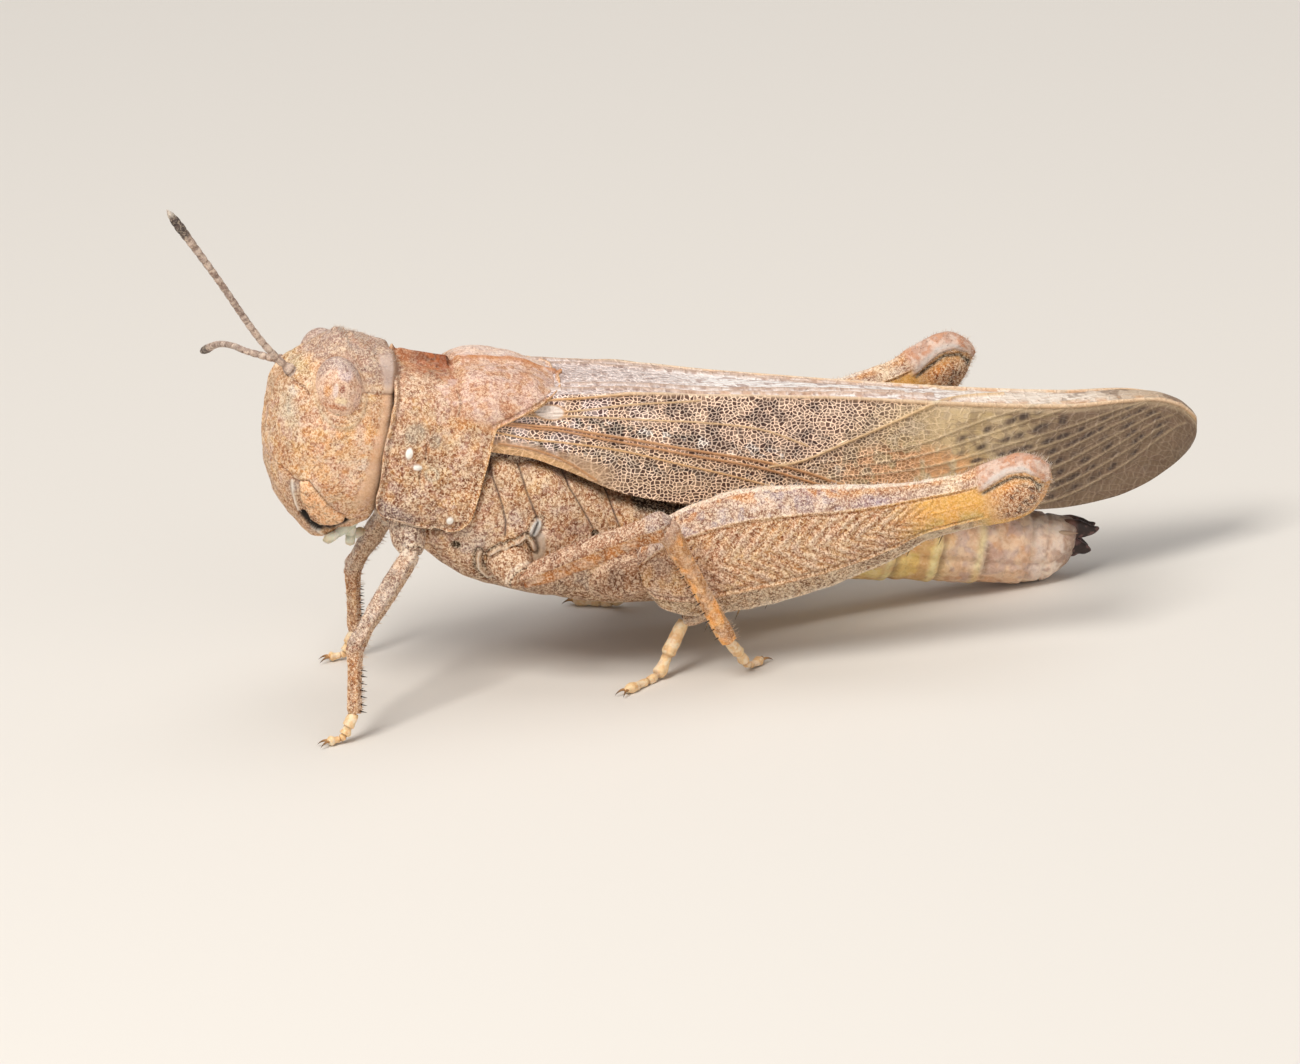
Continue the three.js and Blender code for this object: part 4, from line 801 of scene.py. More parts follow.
def paint_head(points):
    """Tint and polish of the head."""
    x, s, h = np.moveaxis(points, -1, 0)
    x = np.abs(x)
    side = smooth(0.8, 1.4, x)
    face = smooth(-6.3, -7.0, s)
    cheek = smooth(-6.9, -6.2, s) * smooth(2.3, 1.2, h) * smooth(-1.4, -0.4, h)
    crown = np.maximum(smooth(2.68, 2.8, h) * smooth(-5.3, -4.9, s), smooth(3.25, 3.6, h))
    tint = coats(
        TAN,
        ((0.62, 0.36, 0.2), patches(points, 0.5, 1, 0.5) * 0.55),
        ((0.88, 0.53, 0.27), cheek * 0.8),
        ((0.72, 0.34, 0.12), side * patches(points, 0.34, 5, 0.3) * smooth(1.9, 1.2, h) * 0.6),
        ((0.48, 0.25, 0.15), side * patches(points, 0.2, 6, 0.16) * smooth(3.0, 2.2, h) * 0.6),
        ((0.5, 0.34, 0.22), face * patches(points, 0.4, 12, 0.5) * 0.5),
        (PINK, crown * 0.9),
        ((0.66, 0.5, 0.39), crown * patches(points, 0.3, 8, 0.4) * 0.6),
        ((0.38, 0.29, 0.29), crown * patches(points, 0.28, 7, 0.42) * 0.6),
        ((0.3, 0.16, 0.12), crown * patches(points, 0.14, 9, 0.24) * 0.7),
    )
    tint = dappled(tint, points, 13, 0.9)
    upper = smooth(0.7, 1.1, x)
    temple = near_line(s, h, TEMPLE_LINE)
    rear = smooth(-0.1, 0.12, s - np.interp(h, [p[1] for p in COLLAR][::-1],
                                            [p[0] for p in COLLAR][::-1]))
    behind = rear * smooth(-1.6, -0.8, h) * smooth(3.95, 3.7, h)
    eye = eye_distance(s, h)
    lean = s + 0.28 * (h - 1.6)
    patch = bell(lean, -7.15, 0.22) * smooth(0.9, 1.4, h) * smooth(2.5, 2.1, h) * smooth(0.5, 0.8, x)
    socket = np.hypot(s - SOCKET[1], h - SOCKET[2]) + 0.7 * np.abs(x - SOCKET[0])
    tint = coats(
        tint,
        ((0.4, 0.265, 0.215), crown * 0.65),
        # the cream line on the vertex ridge is partly its own colour and partly a painted highlight
        ((0.8, 0.68, 0.56), upper * bell(near_line(s, h, VERTEX_CURVE), 0, 0.06) * 0.4),
        ((0.3, 0.16, 0.1), upper * bell(near_line(s, h, VERTEX_LINE), 0, 0.04) * 0.75),
        ((0.66, 0.38, 0.17), upper * bell(np.hypot(s + 6.5, (h - 3.2) * 1.3), 0, 0.35) * 0.6),
        ((0.84, 0.62, 0.4), side * bell(h, 2.9, 0.14) * smooth(-5.0, -4.8, s) * 0.6),
        ((0.3, 0.16, 0.1), side * bell(temple, 0, 0.03) * smooth(-4.95, -4.8, s) * 0.85),
        ((0.76, 0.5, 0.33), behind * smooth(2.76, 2.66, h) * 0.75),
        ((0.6, 0.48, 0.43), behind * smooth(2.7, 3.0, h) * 0.6),
        # painted shade: a dark band where the rear of the head goes under the saddle
        ((0.3, 0.17, 0.1), smooth(-3.97, -3.86, s) * 0.8),
        ((0.84, 0.72, 0.62),
         side * smooth(0.45, 0.25, np.hypot((s + 4.63) * 1.4, h - 0.4))
         * patches(points, 0.14, 10, 0.6) * 0.7),
        ((0.58, 0.5, 0.38), side * bell(eye, 1.14, 0.09) * smooth(2.6, 1.9, h) * 0.55),
        ((0.33, 0.2, 0.14), side * bell(eye, 1.0, 0.03) * 0.6),
        ((0.58, 0.54, 0.44), patch * 0.75),
        ((0.44, 0.36, 0.2), smooth(0.45, 0.1, np.hypot(s + 6.95, (h - 3.1) * 1.2)) * 0.6),
        # painted highlight: the grey spot beside each feeler socket
        ((0.62, 0.62, 0.6), bell(np.hypot(s + 7.18, h - 2.38), 0, 0.14) * smooth(0.5, 0.8, x) * 0.8),
        ((0.32, 0.19, 0.14), smooth(0.3, 0.2, socket) * 0.7),
        ((0.22, 0.1, 0.06), bell(near_line(s, h, SOCKET_SLIT), 0, 0.05) * smooth(0.6, 0.9, x) * 0.85),
    )
    jaw = inside(s, h, JAW)
    brink = near_line(s, h, JAW + JAW[:1])
    mandible = coats(
        (0.94, 0.56, 0.3),
        ((0.4, 0.19, 0.09), patches(points, 0.16, 11, 0.26) * 0.8),
        ((0.94, 0.72, 0.48), patches(points, 0.15, 17, 0.25) * 0.5),
    )
    tint = np.where(jaw[..., None], mandible, tint)
    lip = near_line(s, h, LIP_EDGE)
    slit = bell(near_line(s, h, MOUTH_SLIT), 0, 0.1)
    tint = coats(
        tint,
        ((0.2, 0.1, 0.06), bell(brink, 0, 0.025) * 0.55),
        ((0.78, 0.62, 0.52), bell(near_line(s, h, JAW_TOP), 0, 0.035) * 0.8),
        ((0.5, 0.29, 0.17), smooth(0.5, 0.1, lip) * (s < -5.6) * (~jaw) * 0.6),
        ((0.7, 0.7, 0.7), bell(np.hypot(s + 6.68, (h + 0.88) * 0.6), 0, 0.13) * 0.8),
        ((0.22, 0.12, 0.07), bell(lip, 0.07, 0.03) * (s < -4.9) * 0.6),
        (BONE, bell(lip, 0.0, 0.03) * 0.95),
        ((0.3, 0.17, 0.12), bell(near_line(s, h, CHEEK_SEAM), 0, 0.03) * 0.6),
        # painted shade: the black slit in the gap under the jaw
        (BLACK, smooth(0.25, 0.6, slit)),
    )
    polish = behind * 0.75 + crown * 0.15 + bell(lip, 0, 0.035) * 0.8 + smooth(0.2, 0.6, slit)
    polish = polish + side * bell(eye, 1.12, 0.09) * 0.35
    return tint, np.clip(polish, 0, 1)


head_tint, head_polish = paint_head(skull)
head = grid_piece("head_capsule", head_points, head_finish, head_tint, head_polish, wrap=True,
                  caps=True)
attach(head, "root")
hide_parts("head", "labrum", "mandible_left", "mandible_right", "labium")
print("head faces", len(head.data.polygons))

# %% [markdown]
# ## Eyes
# The compound eyes are glossy ovals, leaning forward at the top. Thousands of facets give a very
# fine grain. Under it lies a pinkish cream with a lilac patch above, crossed by bars of red-brown
# and orange, with one dark spot and a grey-lilac inner side.

# %% Eyes
SIDES = {"left": np.array([1, 1, 1]), "right": np.array([-1, 1, 1])}


def eye_skin():
    """The left eye as rings from its outer pole inward."""
    polar = np.linspace(0.02, 2.2, 92)[:, None]
    turn = 2 * math.pi * np.arange(144) / 144
    out_s, out_h = np.sin(polar) * np.cos(turn), np.sin(polar) * np.sin(turn)
    ball = np.stack([np.broadcast_to(np.cos(polar), out_s.shape), out_s, out_h], -1) * EYE_BALL
    ball[..., 1] += EYE_LEAN * ball[..., 2]
    return ball


EYE_SPOTS = [  # place, half width, half height, colour, strength
    ((0.02, 0.74), 0.34, 0.24, (0.7, 0.58, 0.62), 0.8),
    ((0.0, 1.05), 0.6, 0.3, (0.56, 0.42, 0.38), 0.85),
    ((-0.28, 0.14), 0.09, 0.3, (0.86, 0.76, 0.76), 0.8),
    ((-0.5, 0.08), 0.12, 0.2, (0.74, 0.36, 0.13), 0.75),
    ((-0.06, 0.22), 0.1, 0.13, (0.34, 0.11, 0.07), 0.85),
    ((-0.02, -0.18), 0.26, 0.13, (0.94, 0.74, 0.46), 0.75),
    ((-0.16, -0.45), 0.42, 0.1, (0.6, 0.24, 0.11), 0.8),
    ((-0.04, -0.88), 0.26, 0.16, (0.66, 0.6, 0.46), 0.8),
    ((0.55, -0.1), 0.16, 0.5, (0.84, 0.58, 0.5), 0.6),
]


def paint_eye(ball):
    """Pinkish cream, with a lilac patch above, orange and red-brown bars and one dark spot."""
    s, h = ball[..., 1], ball[..., 2]
    drawn = ball * np.array([1, 1, 0.3])
    tint = coats(
        (0.8, 0.54, 0.4),
        ((0.56, 0.3, 0.18), patches(drawn, 0.15, 21, 0.36) * 0.6),
        ((0.86, 0.66, 0.54), patches(drawn, 0.11, 23, 0.36) * 0.6),
    )
    for (at_s, at_h), wide, tall, colour, share in EYE_SPOTS:
        spot = np.hypot((s - at_s) / wide, (h - at_h) / tall) + 0.25 * swell(drawn, 0.15, 25)
        tint = blend(tint, colour, smooth(1.25, 0.6, spot) * share)
    return blend(tint, (0.46, 0.34, 0.31),
                 smooth(0.75, 0.35, ball[..., 0] / EYE_BALL[0]) * smooth(0.1, 0.7, h) * 0.9)


eye_finish = shell("eye facets", 0.055, 0.36, 0.45, 0.6, 0.7, 0.3, 0.35,
                   rough=0.48, scatter=0.05, coat=0.06)
eye_ball = eye_skin()
for hand, flip in SIDES.items():
    eye = grid_piece(f"eye_skin_{hand}", (eye_ball + EYE_MIDDLE) * flip, eye_finish,
                     paint_eye(eye_ball), 0.0, wrap=True, caps=True)
    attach(eye, "root")
    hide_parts(f"eye_{hand}")
print("eye half height", EYE_RADII[2], "mm")

# %% [markdown]
# ## Feelers
# Each feeler is a chain of about two dozen short cylinders with a fine dark ring at each joint.
# The chain darkens outward and ends in a slightly thicker black club with a pale tip.

# %% Feelers
FEELER_JOINTS = 23
feeler_girth = through([[0, 0.2], [0.05, 0.2], [0.08, 0.12], [0.5, 0.11], [0.8, 0.13], [0.9, 0.155],
                        [0.96, 0.12], [1, 0.02]])


def feeler(name, knots, hand):
    """One feeler through floor-frame knots."""
    rows = FEELER_JOINTS * 12 + 1
    t = np.linspace(0, 1, rows)
    line = strand(knots, rows)
    phase = (t * FEELER_JOINTS) % 1
    base = feeler_girth(t)[0] * (0.84 + 0.2 * np.sin(math.pi * phase) ** 0.5)
    skin = limb(line, base * 1.08, base * 0.92, (0, 1, 0), columns=20)
    share = np.broadcast_to(t[:, None], skin.shape[:2])
    ring = np.broadcast_to(bell(np.abs(phase - 0.5), 0.5, 0.16)[:, None], share.shape)
    tint = coats(
        (0.6, 0.48, 0.41),
        ((0.28, 0.2, 0.17), patches(skin, 0.3, 31, 0.42) * 0.7),
        ((0.22, 0.15, 0.12), ring * 0.6),
        ((0.05, 0.04, 0.04), smooth(0.83, 0.86, share) * (1 - 0.3 * ring) * 0.92),
        ((0.74, 0.7, 0.64), smooth(0.955, 0.98, share) * 0.8),
    )
    piece = grid_piece(name, skin, feeler_finish, tint, 0.2, wrap=True, caps=True, trunk=False)
    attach(piece, "root")
    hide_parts(f"antenna_{hand}")


FEELER_ROOT = np.array([0.78, -6.98, 2.7])
feeler("feeler_left", [tilted(FEELER_ROOT), (1.05, -12.55, 13.1), (1.6, -14.01, 15.97),
                       (2.2, -15.48, 18.77)], "left")
mirrored_root = tilted(FEELER_ROOT * SIDES["right"])
feeler("feeler_right", [mirrored_root, (-1.2, -12.75, 12.1), (-2.5, -13.1, 11.95), (-4, -13.4, 11.55),
                        (-5.6, -13.75, 10.8)], "right")
print("feeler joints", FEELER_JOINTS)

# %% [markdown]
# ## Palps
# Two pairs of soft jointed palps hang below the jaws. They are pale green with whitish patches,
# pinched at the joints, and end in blunt, slightly brown tips.

# %% Palps
PALP_ROWS = 90
PALPS = {
    "outer_left": [(0.95, -3.95, -1.3), (1.0, -4.15, -1.83), (1.05, -4.4, -2.18), (1.05, -4.95, -2.72),
                   (1.0, -5.2, -2.88)],
    "inner_left": [(0.85, -4.2, -1.9), (0.9, -4.3, -2.25), (0.9, -4.28, -2.6), (0.9, -4.22, -2.98)],
    "outer_right": [(-0.8, -4.1, -1.6), (-0.95, -4.1, -2.5), (-0.95, -3.85, -3.15),
                    (-0.95, -3.35, -2.95)],
    "inner_right": [(-0.35, -4.3, -1.9), (-0.4, -4.35, -2.6), (-0.45, -4.6, -3.1)],
}
for row, knots in PALPS.items():
    line = strand(tilted(knots), PALP_ROWS)
    t = np.linspace(0, 1, PALP_ROWS)
    joint = 0.8 + 0.24 * np.sin(math.pi * ((t * (len(knots) - 1)) % 1)) ** 0.45
    thick = through([[0, 0.2], [0.7, 0.165], [0.93, 0.16], [1, 0.04]])(t)[0] * joint
    skin = limb(line, thick, thick, (1, 0, 0), columns=24)
    share = np.broadcast_to(t[:, None], skin.shape[:2])
    tint = coats(
        (0.7, 0.72, 0.6),
        ((0.36, 0.36, 0.26), (1.04 - joint[:, None]) * 2.4),
        ((0.84, 0.82, 0.72), patches(skin, 0.2, 33, 0.4) * 0.6),
        ((0.55, 0.42, 0.24), smooth(0.8, 0.97, share) * 0.6),
    )
    palp = grid_piece(f"palp_{row}", skin, soft_finish, tint, 0.3, wrap=True, caps=True, trunk=False)
    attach(palp, "root")
print("palps", len(PALPS))

# %% [markdown]
# ## Pronotum
# The saddle over the neck is one bent plate: a low crest along the middle, notched once, a rough
# disc that runs back to a blunt point, and two deep side lobes. Its outline is cut by two curves,
# front and rear, so the grid runs between them at each height.

# %% Pronotum plate
pronotum_rows = through([  # s, crest, disc, half width and height of the shoulder, half width of the lobe
    [-4.35, 3.96, 3.31, 1.95, 2.75, 2.35],
    [-3.1, 3.77, 3.22, 2.05, 2.75, 2.5],
    [-1.85, 3.74, 3.25, 2.15, 2.8, 2.6],
    [-1.68, 3.6, 3.24, 2.2, 2.85, 2.62],
    [-1.5, 3.74, 3.45, 2.3, 2.9, 2.65],
    [-0.6, 3.86, 3.65, 2.65, 3, 2.85],
    [0.6, 3.88, 3.62, 2.7, 3.05, 2.9],
    [1.5, 3.7, 3.48, 2.4, 3.05, 2.8],
    [2.5, 3.5, 3.3, 2, 2.95, 2.7],
])
pronotum_front = through([[-1.67, -1.9], [-1.54, -2.6], [-1.35, -3.72], [-0.9, -3.92], [-0.37, -3.9],
                          [0.8, -3.96], [1.7, -3.9], [2.9, -3.8], [4.6, -3.8]])
pronotum_rear = through([[-1.67, -1.32], [-1.48, -0.9], [-0.98, -0.68], [-0.28, -0.6], [1.4, -0.45],
                         [2.2, -0.37], [2.54, 0.07], [2.99, 0.78], [3.3, 1.5], [3.62, 2.3]])
LOBE_FOOT = -1.67
SETTLING = 12  # turns in which the outline and the height of each point settle on each other


def pronotum_grid(rows=190, half=130):
    """The plate from its front edge to its rear edge, and from the left foot over to the right."""
    across = np.linspace(0, 1, half)
    weights = batten([0, 0.08, 0.27, 0.38, 0.5, 0.7, 0.9, 1], across)
    share = np.linspace(0, 1, rows)[:, None]
    s = np.broadcast_to(-3.9 + 4.5 * share, (rows, half))
    for _ in range(SETTLING):
        crest, disc, shoulder, brow, lobe = pronotum_rows(s)
        zero = 0 * crest
        xs = np.stack([zero, zero + 0.22, 0.66 * shoulder, shoulder, 0.25 * shoulder + 0.75 * lobe,
                       lobe, lobe - 0.12, lobe - 0.365], -1)
        hs = np.stack([crest, 0.6 * crest + 0.4 * disc, disc, brow, zero + 1.9, zero + 0.4, zero - 1.1,
                       zero + LOBE_FOOT], -1)
        x, h = np.sum(xs * weights, -1), np.sum(hs * weights, -1)
        wanted = pronotum_front(h)[0] * (1 - share) + pronotum_rear(h)[0] * share
        s = 0.5 * s + 0.5 * wanted
    side = np.stack([x, s, h], -1)
    other = side[:, :0:-1] * SIDES["right"]
    return np.concatenate([other, side], 1)


FURROWS = [  # dark grooves, each a line of places and heights
    [(-2.59, 1.35), (-2.55, 0.83)],
    [(-2.65, 0.4), (-2.64, 0.1), (-2.56, -0.14)],
    [(-1.72, 3.2), (-1.62, 2.8), (-1.68, 2.4)],
]
PINK_PATCH = [(-2.5, 3.12), (-1.9, 2.72), (-1.5, 2.3), (-0.49, 2.12), (0.1, 2.5), (0.85, 3.2),
              (2.3, 3.4), (2.3, 4.2), (-1.45, 4.2), (-1.45, 3.35)]
GREY_ROUNDS = [((-3.02, 1.64), 0.42), ((-2.34, 1.47), 0.24)]  # centre, radius
WHITE_OVALS = [  # centre, half width, half height
    ((-3.13, 0.95), 0.12, 0.19),
    ((-2.76, 0.48), 0.155, 0.11),
    ((-1.35, -1.24), 0.11, 0.15),
]


def plate_relief(points):
    """Granules in heaps, furrows and raised margins of the pronotum."""
    x, s, h = np.moveaxis(points, -1, 0)
    side = smooth(1.4, 1.9, np.abs(x))
    relief = 0.035 * swell(points, 0.33, 41) + 0.05 * swell(points, 0.75, 42)
    for line in FURROWS:
        relief -= 0.06 * side * bell(near_line(s, h, line), 0, 0.04)
    front = s - pronotum_front(h)[0]
    rear = pronotum_rear(h)[0] - s
    foot = h - LOBE_FOOT
    edge = np.minimum(np.minimum(front, rear), foot + 0.1)
    relief += 0.07 * bell(edge, 0.0, 0.09) - 0.05 * bell(edge, 0.2, 0.08)
    relief -= 0.03 * side * bell(np.abs(s + 1.75 + 0.1 * np.sin(2 * h)), 0, 0.12) * smooth(0.2, 0.8, h)
    for (centre_s, centre_h), wide, tall in WHITE_OVALS:
        relief += 0.06 * side * bell(np.hypot((s - centre_s) / wide, (h - centre_h) / tall), 0, 0.9)
    crease = np.abs(np.abs(x) - 0.9 * pronotum_rows(s)[2]) + 2 * smooth(-1.2, -1.8, s)
    return relief + 0.05 * bell(crease, 0, 0.12) + 0.05 * bell(x, 0.0, 0.1)


def paint_plate(points):
    """Rust on the front crest, pink on the rear disc, mottled tan lobes with cream and grey marks."""
    x, s, h = np.moveaxis(points, -1, 0)
    side = smooth(1.4, 1.9, np.abs(x))
    tint = coats(
        (0.66, 0.4, 0.235),
        ((0.55, 0.27, 0.12), patches(points, 0.5, 43, 0.5) * 0.55),
        ((0.74, 0.52, 0.32), patches(points, 0.35, 44, 0.4) * 0.55),
        ((0.3, 0.17, 0.11), patches(points, 0.24, 48, 0.24) * 0.6),
        ((0.45, 0.3, 0.22), smooth(0.3, -1.0, h) * patches(points, 0.6, 49, 0.45) * 0.6),
    )
    tint = dappled(tint, points, 140, 1.0)
    fore = smooth(-1.5, -1.75, s)
    crest = smooth(3.05, 3.6, h + 0.12 * swell(points, 0.5, 50)) * (0.55 + 0.45 * smooth(-3.6, -2.2, s))
    ragged = points + 0.12 * swell(points, 0.4, 56)[..., None]
    pink = inside(ragged[..., 1], ragged[..., 2], PINK_PATCH)
    pale_far = pink * smooth(-0.1, -0.4, x) * smooth(-1.6, -1.2, s)
    orange = bell(h, 2.15, 0.25) * smooth(-2.4, -1.8, s)
    tint = coats(
        tint,
        ((0.36, 0.19, 0.11), side * patches(points, 0.45, 62, 0.33) * 0.4),
        ((0.62, 0.44, 0.34), fore * bell(h, 3.05, 0.3) * 0.6),
        ((0.27, 0.066, 0.02), fore * crest * 0.95),
        ((0.52, 0.155, 0.045), fore * crest * patches(points, 0.35, 61, 0.4) * 0.55),
        ((0.09, 0.04, 0.03),
         fore * crest * patches(points, 0.26, 45, 0.42) * smooth(-3.4, -2.2, s) * 0.8),
        ((0.7, 0.49, 0.44), pink * 0.68),
        ((0.56, 0.27, 0.12), pink * patches(points, 0.3, 46, 0.42) * 0.65),
        ((0.84, 0.7, 0.64), pale_far * 0.7),
        ((0.68, 0.36, 0.14), side * orange * patches(points, 0.4, 57, 0.6) * 0.7),
    )
    for (centre_s, centre_h), radius in GREY_ROUNDS:
        away = np.hypot(s - centre_s, h - centre_h)
        tint = coats(
            tint,
            ((0.42, 0.355, 0.28), side * smooth(radius, radius * 0.7, away) * 0.75),
            ((0.62, 0.52, 0.4), side * bell(away, radius, 0.05) * 0.35),
        )
    corner = smooth(0.5, 0.2, near_line(s, h, [(-3.85, -1.1), (-3.24, -1.41), (-2.5, -1.56)])
                    + 0.1 * swell(points, 0.3, 58))
    tint = coats(
        tint,
        ((0.6, 0.58, 0.46), side * bell(np.hypot(s + 2.25, h - 0.3), 0.2, 0.07) * 0.6),
        ((0.36, 0.29, 0.31), side * corner * smooth(-2.3, -2.7, s) * 0.85),
    )
    for line in FURROWS:
        tint = blend(tint, (0.16, 0.08, 0.05), side * bell(near_line(s, h, line), 0, 0.03) * 0.7)
    clean = np.zeros(s.shape)
    for (centre_s, centre_h), wide, tall in WHITE_OVALS:
        spot = np.hypot((s - centre_s) / wide, (h - centre_h) / tall)
        tint = coats(
            tint,
            ((0.3, 0.16, 0.1), side * smooth(1.8, 1.2, spot) * 0.4),
            ((0.97, 0.93, 0.87), side * smooth(1.15, 0.85, spot)),
        )
        clean = np.maximum(clean, side * smooth(1.5, 1.1, spot))
    rear = pronotum_rear(h)[0] - s
    front = s - pronotum_front(h)[0]
    keel = bell(x, 0.03, 0.1) * smooth(-1.9, -1.4, s)
    edge = np.minimum(front, h - LOBE_FOOT)
    pale = smooth(0.07, 0.03, edge) * (0.3 + 0.6 * smooth(-0.2, -1.0, h))
    tint = coats(
        tint,
        ((0.3, 0.15, 0.07), bell(rear, 0.17, 0.06) * patches(points, 0.3, 59, 0.7) * 0.7),
        ((0.7, 0.42, 0.18), smooth(0.09, 0.03, rear) * 0.8),
        ((0.5, 0.2, 0.07), keel * patches(points, 0.4, 60, 0.75) * 0.8),
        ((0.82, 0.66, 0.5), pale),
        ((0.27, 0.14, 0.08), bell(edge, 0.12, 0.035) * 0.4),
    )
    polish = 0.62 * fore * crest + 0.2 * pink + 0.4 * keel + 0.2 * smooth(0.5, 1.5, h)
    return tint, np.clip(np.maximum(polish, clean), 0, 1)


saddle = pronotum_grid()
saddle_points, saddle_tint, saddle_polish = hemmed(raised(saddle, plate_relief(saddle)), 0.14,
                                                   *paint_plate(saddle))
plate = grid_piece("pronotum_plate", saddle_points, pronotum_finish, saddle_tint, saddle_polish)
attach(plate, "root")
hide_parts("pronotum")
print("pronotum grid", saddle_points.shape)

# %% [markdown]
# ## Neck
# Between the head and the wing bases the saddle only roofs a soft, dark neck. A plain trunk of
# wrinkled skin, squarish in section, fills it, so that no light falls through behind the lobes.

# %% Neck
NECK_ROWS = 100
neck_line = tilted(strand([(0, -3.8, 1.0), (0, -1.0, 0.95), (0, 1.4, 0.7)], NECK_ROWS))
neck_wide, neck_tall = through([[0, 1.75, 1.7], [0.3, 2.05, 1.95], [0.6, 2.3, 1.95], [0.8, 2.42, 1.95],
                                [1, 2.3, 1.9]])(np.linspace(0, 1, NECK_ROWS))
neck_skin = limb(neck_line, neck_wide, neck_tall, (1, 0, 0), columns=90, power=3.0)
neck_skin = raised(neck_skin, 0.06 * swell(neck_skin, 0.6, 47) + 0.04 * swell(neck_skin, 0.25, 48),
                   True)
neck_tint = blend((0.3, 0.19, 0.13), (0.16, 0.1, 0.08), patches(neck_skin, 0.5, 49))
neck = grid_piece("neck_skin", neck_skin, thorax_finish, neck_tint, 0.0, wrap=True, caps=True,
                  trunk=False)
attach(neck, "root")
print("neck rows", len(neck_line))

# %% [markdown]
# ## Thorax
# Behind the saddle the side wall of the thorax shows slanting plates, parted by dark seams that
# lean back as they go down, with a silver breathing slit and the sockets of the legs. Its pits and
# hollows, the grooves beside the rims and a strip under the wing's edge carry painted shade, and the
# slit's rim a painted highlight.

# %% Thorax skin
THORAX_FRONT, THORAX_REAR = -3.15, 8.2
thorax_rows = through([  # s, top, ledge, belly, half width at the flank, half width low down
    [THORAX_FRONT, -1.55, -1.75, -2.1, 0.9, 0.7],
    [-1.6, -1.2, -1.6, -2.95, 1.7, 1.2],
    [-0.75, 0.6, -0.6, -3.45, 2.3, 1.7],
    [-0.2, 2.5, 1.2, -3.7, 2.75, 2.1],
    [1, 2.5, 1.15, -3.88, 2.88, 2.3],
    [2.2, 2.35, 0.9, -3.98, 2.9, 2.35],
    [3.4, 1.8, 0.45, -4.02, 2.88, 2.35],
    [4.6, 1.6, 0.1, -4.03, 2.8, 2.3],
    [6.35, 1.4, -0.05, -3.85, 2.55, 2.05],
    [THORAX_REAR, 1.3, -0.3, -3.5, 2.2, 1.8],
])
SEAMS = [
    [(-0.45, 1.2), (-0.33, 0.72), (0.27, -0.43), (0.49, -0.99), (0.56, -1.5)],
    [(0.45, 1.5), (0.6, 1.07), (0.98, 0.21), (1.63, -0.93)],
    [(2.1, 1.3), (2.28, 0.84), (2.5, 0.43), (3.48, -0.87)],
    [(3.75, 0.6), (4.1, -0.2), (4.7, -1.3)],
]
PITS = [((3.6, -1.07), 0.17), ((0.38, -2.55), 0.3), ((1.0, -1.95), 0.13), ((-0.9, -2.2), 0.2)]
PALE_RIMS = [
    [(0.2, -2.25), (0.5, -1.93), (0.66, -1.95), (0.81, -1.76), (1.02, -1.68), (1.25, -1.42),
     (1.5, -1.6), (1.63, -1.85)],
    [(-0.14, -2.25), (-0.11, -2.5), (0, -2.82), (0.38, -3.1), (0.66, -2.85), (0.74, -2.5),
     (0.7, -2.25)],
    [(1.41, -2.4), (1.5, -2.7), (1.85, -2.9)],
    [(4.5, -1.75), (4.6, -2.2), (4.72, -2.56), (5.16, -3.15), (5.54, -2.96)],
]
SLIT, SILVER = (1.52, -1.1), [(1.72, -1.4), (1.84, -1.75), (1.8, -2.05)]


def thorax_grid(rows=286, half=170):
    """Wrapped rows of the thorax, from the neck to the first ring of the abdomen."""
    s = np.linspace(THORAX_FRONT, THORAX_REAR, rows)
    top, ledge, belly, flank, low = thorax_rows(s)
    neck = np.minimum(1.75, 0.7 * flank)
    zero = 0 * s
    fall = ledge - belly
    xs = np.stack([zero, neck * 0.62, neck, neck + 0.12, flank - 0.12, flank, 0.45 * low + 0.55 * flank,
                   low * 0.72, zero], -1)
    hs = np.stack([top, top - 0.12, 0.65 * top + 0.35 * ledge, ledge + 0.1,
                   ledge - np.minimum(0.35, 0.15 * fall),
                   ledge - 0.35 * fall, ledge - 0.68 * fall, ledge - 0.93 * fall, belly], -1)
    weights = batten([0, 0.1, 0.2, 0.28, 0.4, 0.55, 0.7, 0.88, 1], np.linspace(0, 1, half))
    side = np.stack([xs @ weights.T, np.broadcast_to(s[:, None], (rows, half)), hs @ weights.T], -1)
    side[..., 0] = np.maximum(side[..., 0], 0)
    other = side[:, -2:0:-1] * SIDES["right"]
    return np.concatenate([side, other], 1)


def thorax_marks(points):
    """Masks over the thorax wall: how far out it faces, seams, slit, its opening, pale rims."""
    x, s, h = np.moveaxis(points, -1, 0)
    side = smooth(0.8, 1.6, np.abs(x))
    seam = np.min([near_line(s, h, line) for line in SEAMS], axis=0)
    rim = np.min([near_line(s, h, line) for line in PALE_RIMS], axis=0)
    lean = (s - SLIT[0]) - 0.22 * (h - SLIT[1])
    slit = np.hypot(lean / 0.17, (h - SLIT[1]) / 0.32)
    opening = bell(lean, 0, 0.03) * smooth(0.3, 0.2, np.abs(h - SLIT[1]))
    return side, seam, rim, slit, opening


def thorax_relief(points):
    """Plates bulge between the seams; pits and the slit are sunk, and the leg sockets have rims."""
    s, h = points[..., 1], points[..., 2]
    side, seam, rim, slit, opening = thorax_marks(points)
    relief = side * (0.09 * smooth(0.0, 0.5, seam) - 0.08 * bell(seam, 0, 0.035))
    relief += side * (0.08 * smooth(1.15, 0.8, slit) - 0.1 * opening - 0.05 * bell(slit, 1.35, 0.15))
    relief += side * (0.1 * bell(rim, 0, 0.045) - 0.09 * bell(rim, 0.14, 0.06))
    for (pit_s, pit_h), radius in PITS:
        relief -= 0.2 * side * smooth(radius, radius * 0.4, np.hypot(s - pit_s, h - pit_h))
    return relief + 0.03 * swell(points, 0.4, 51) + 0.03 * swell(points, 0.9, 52)


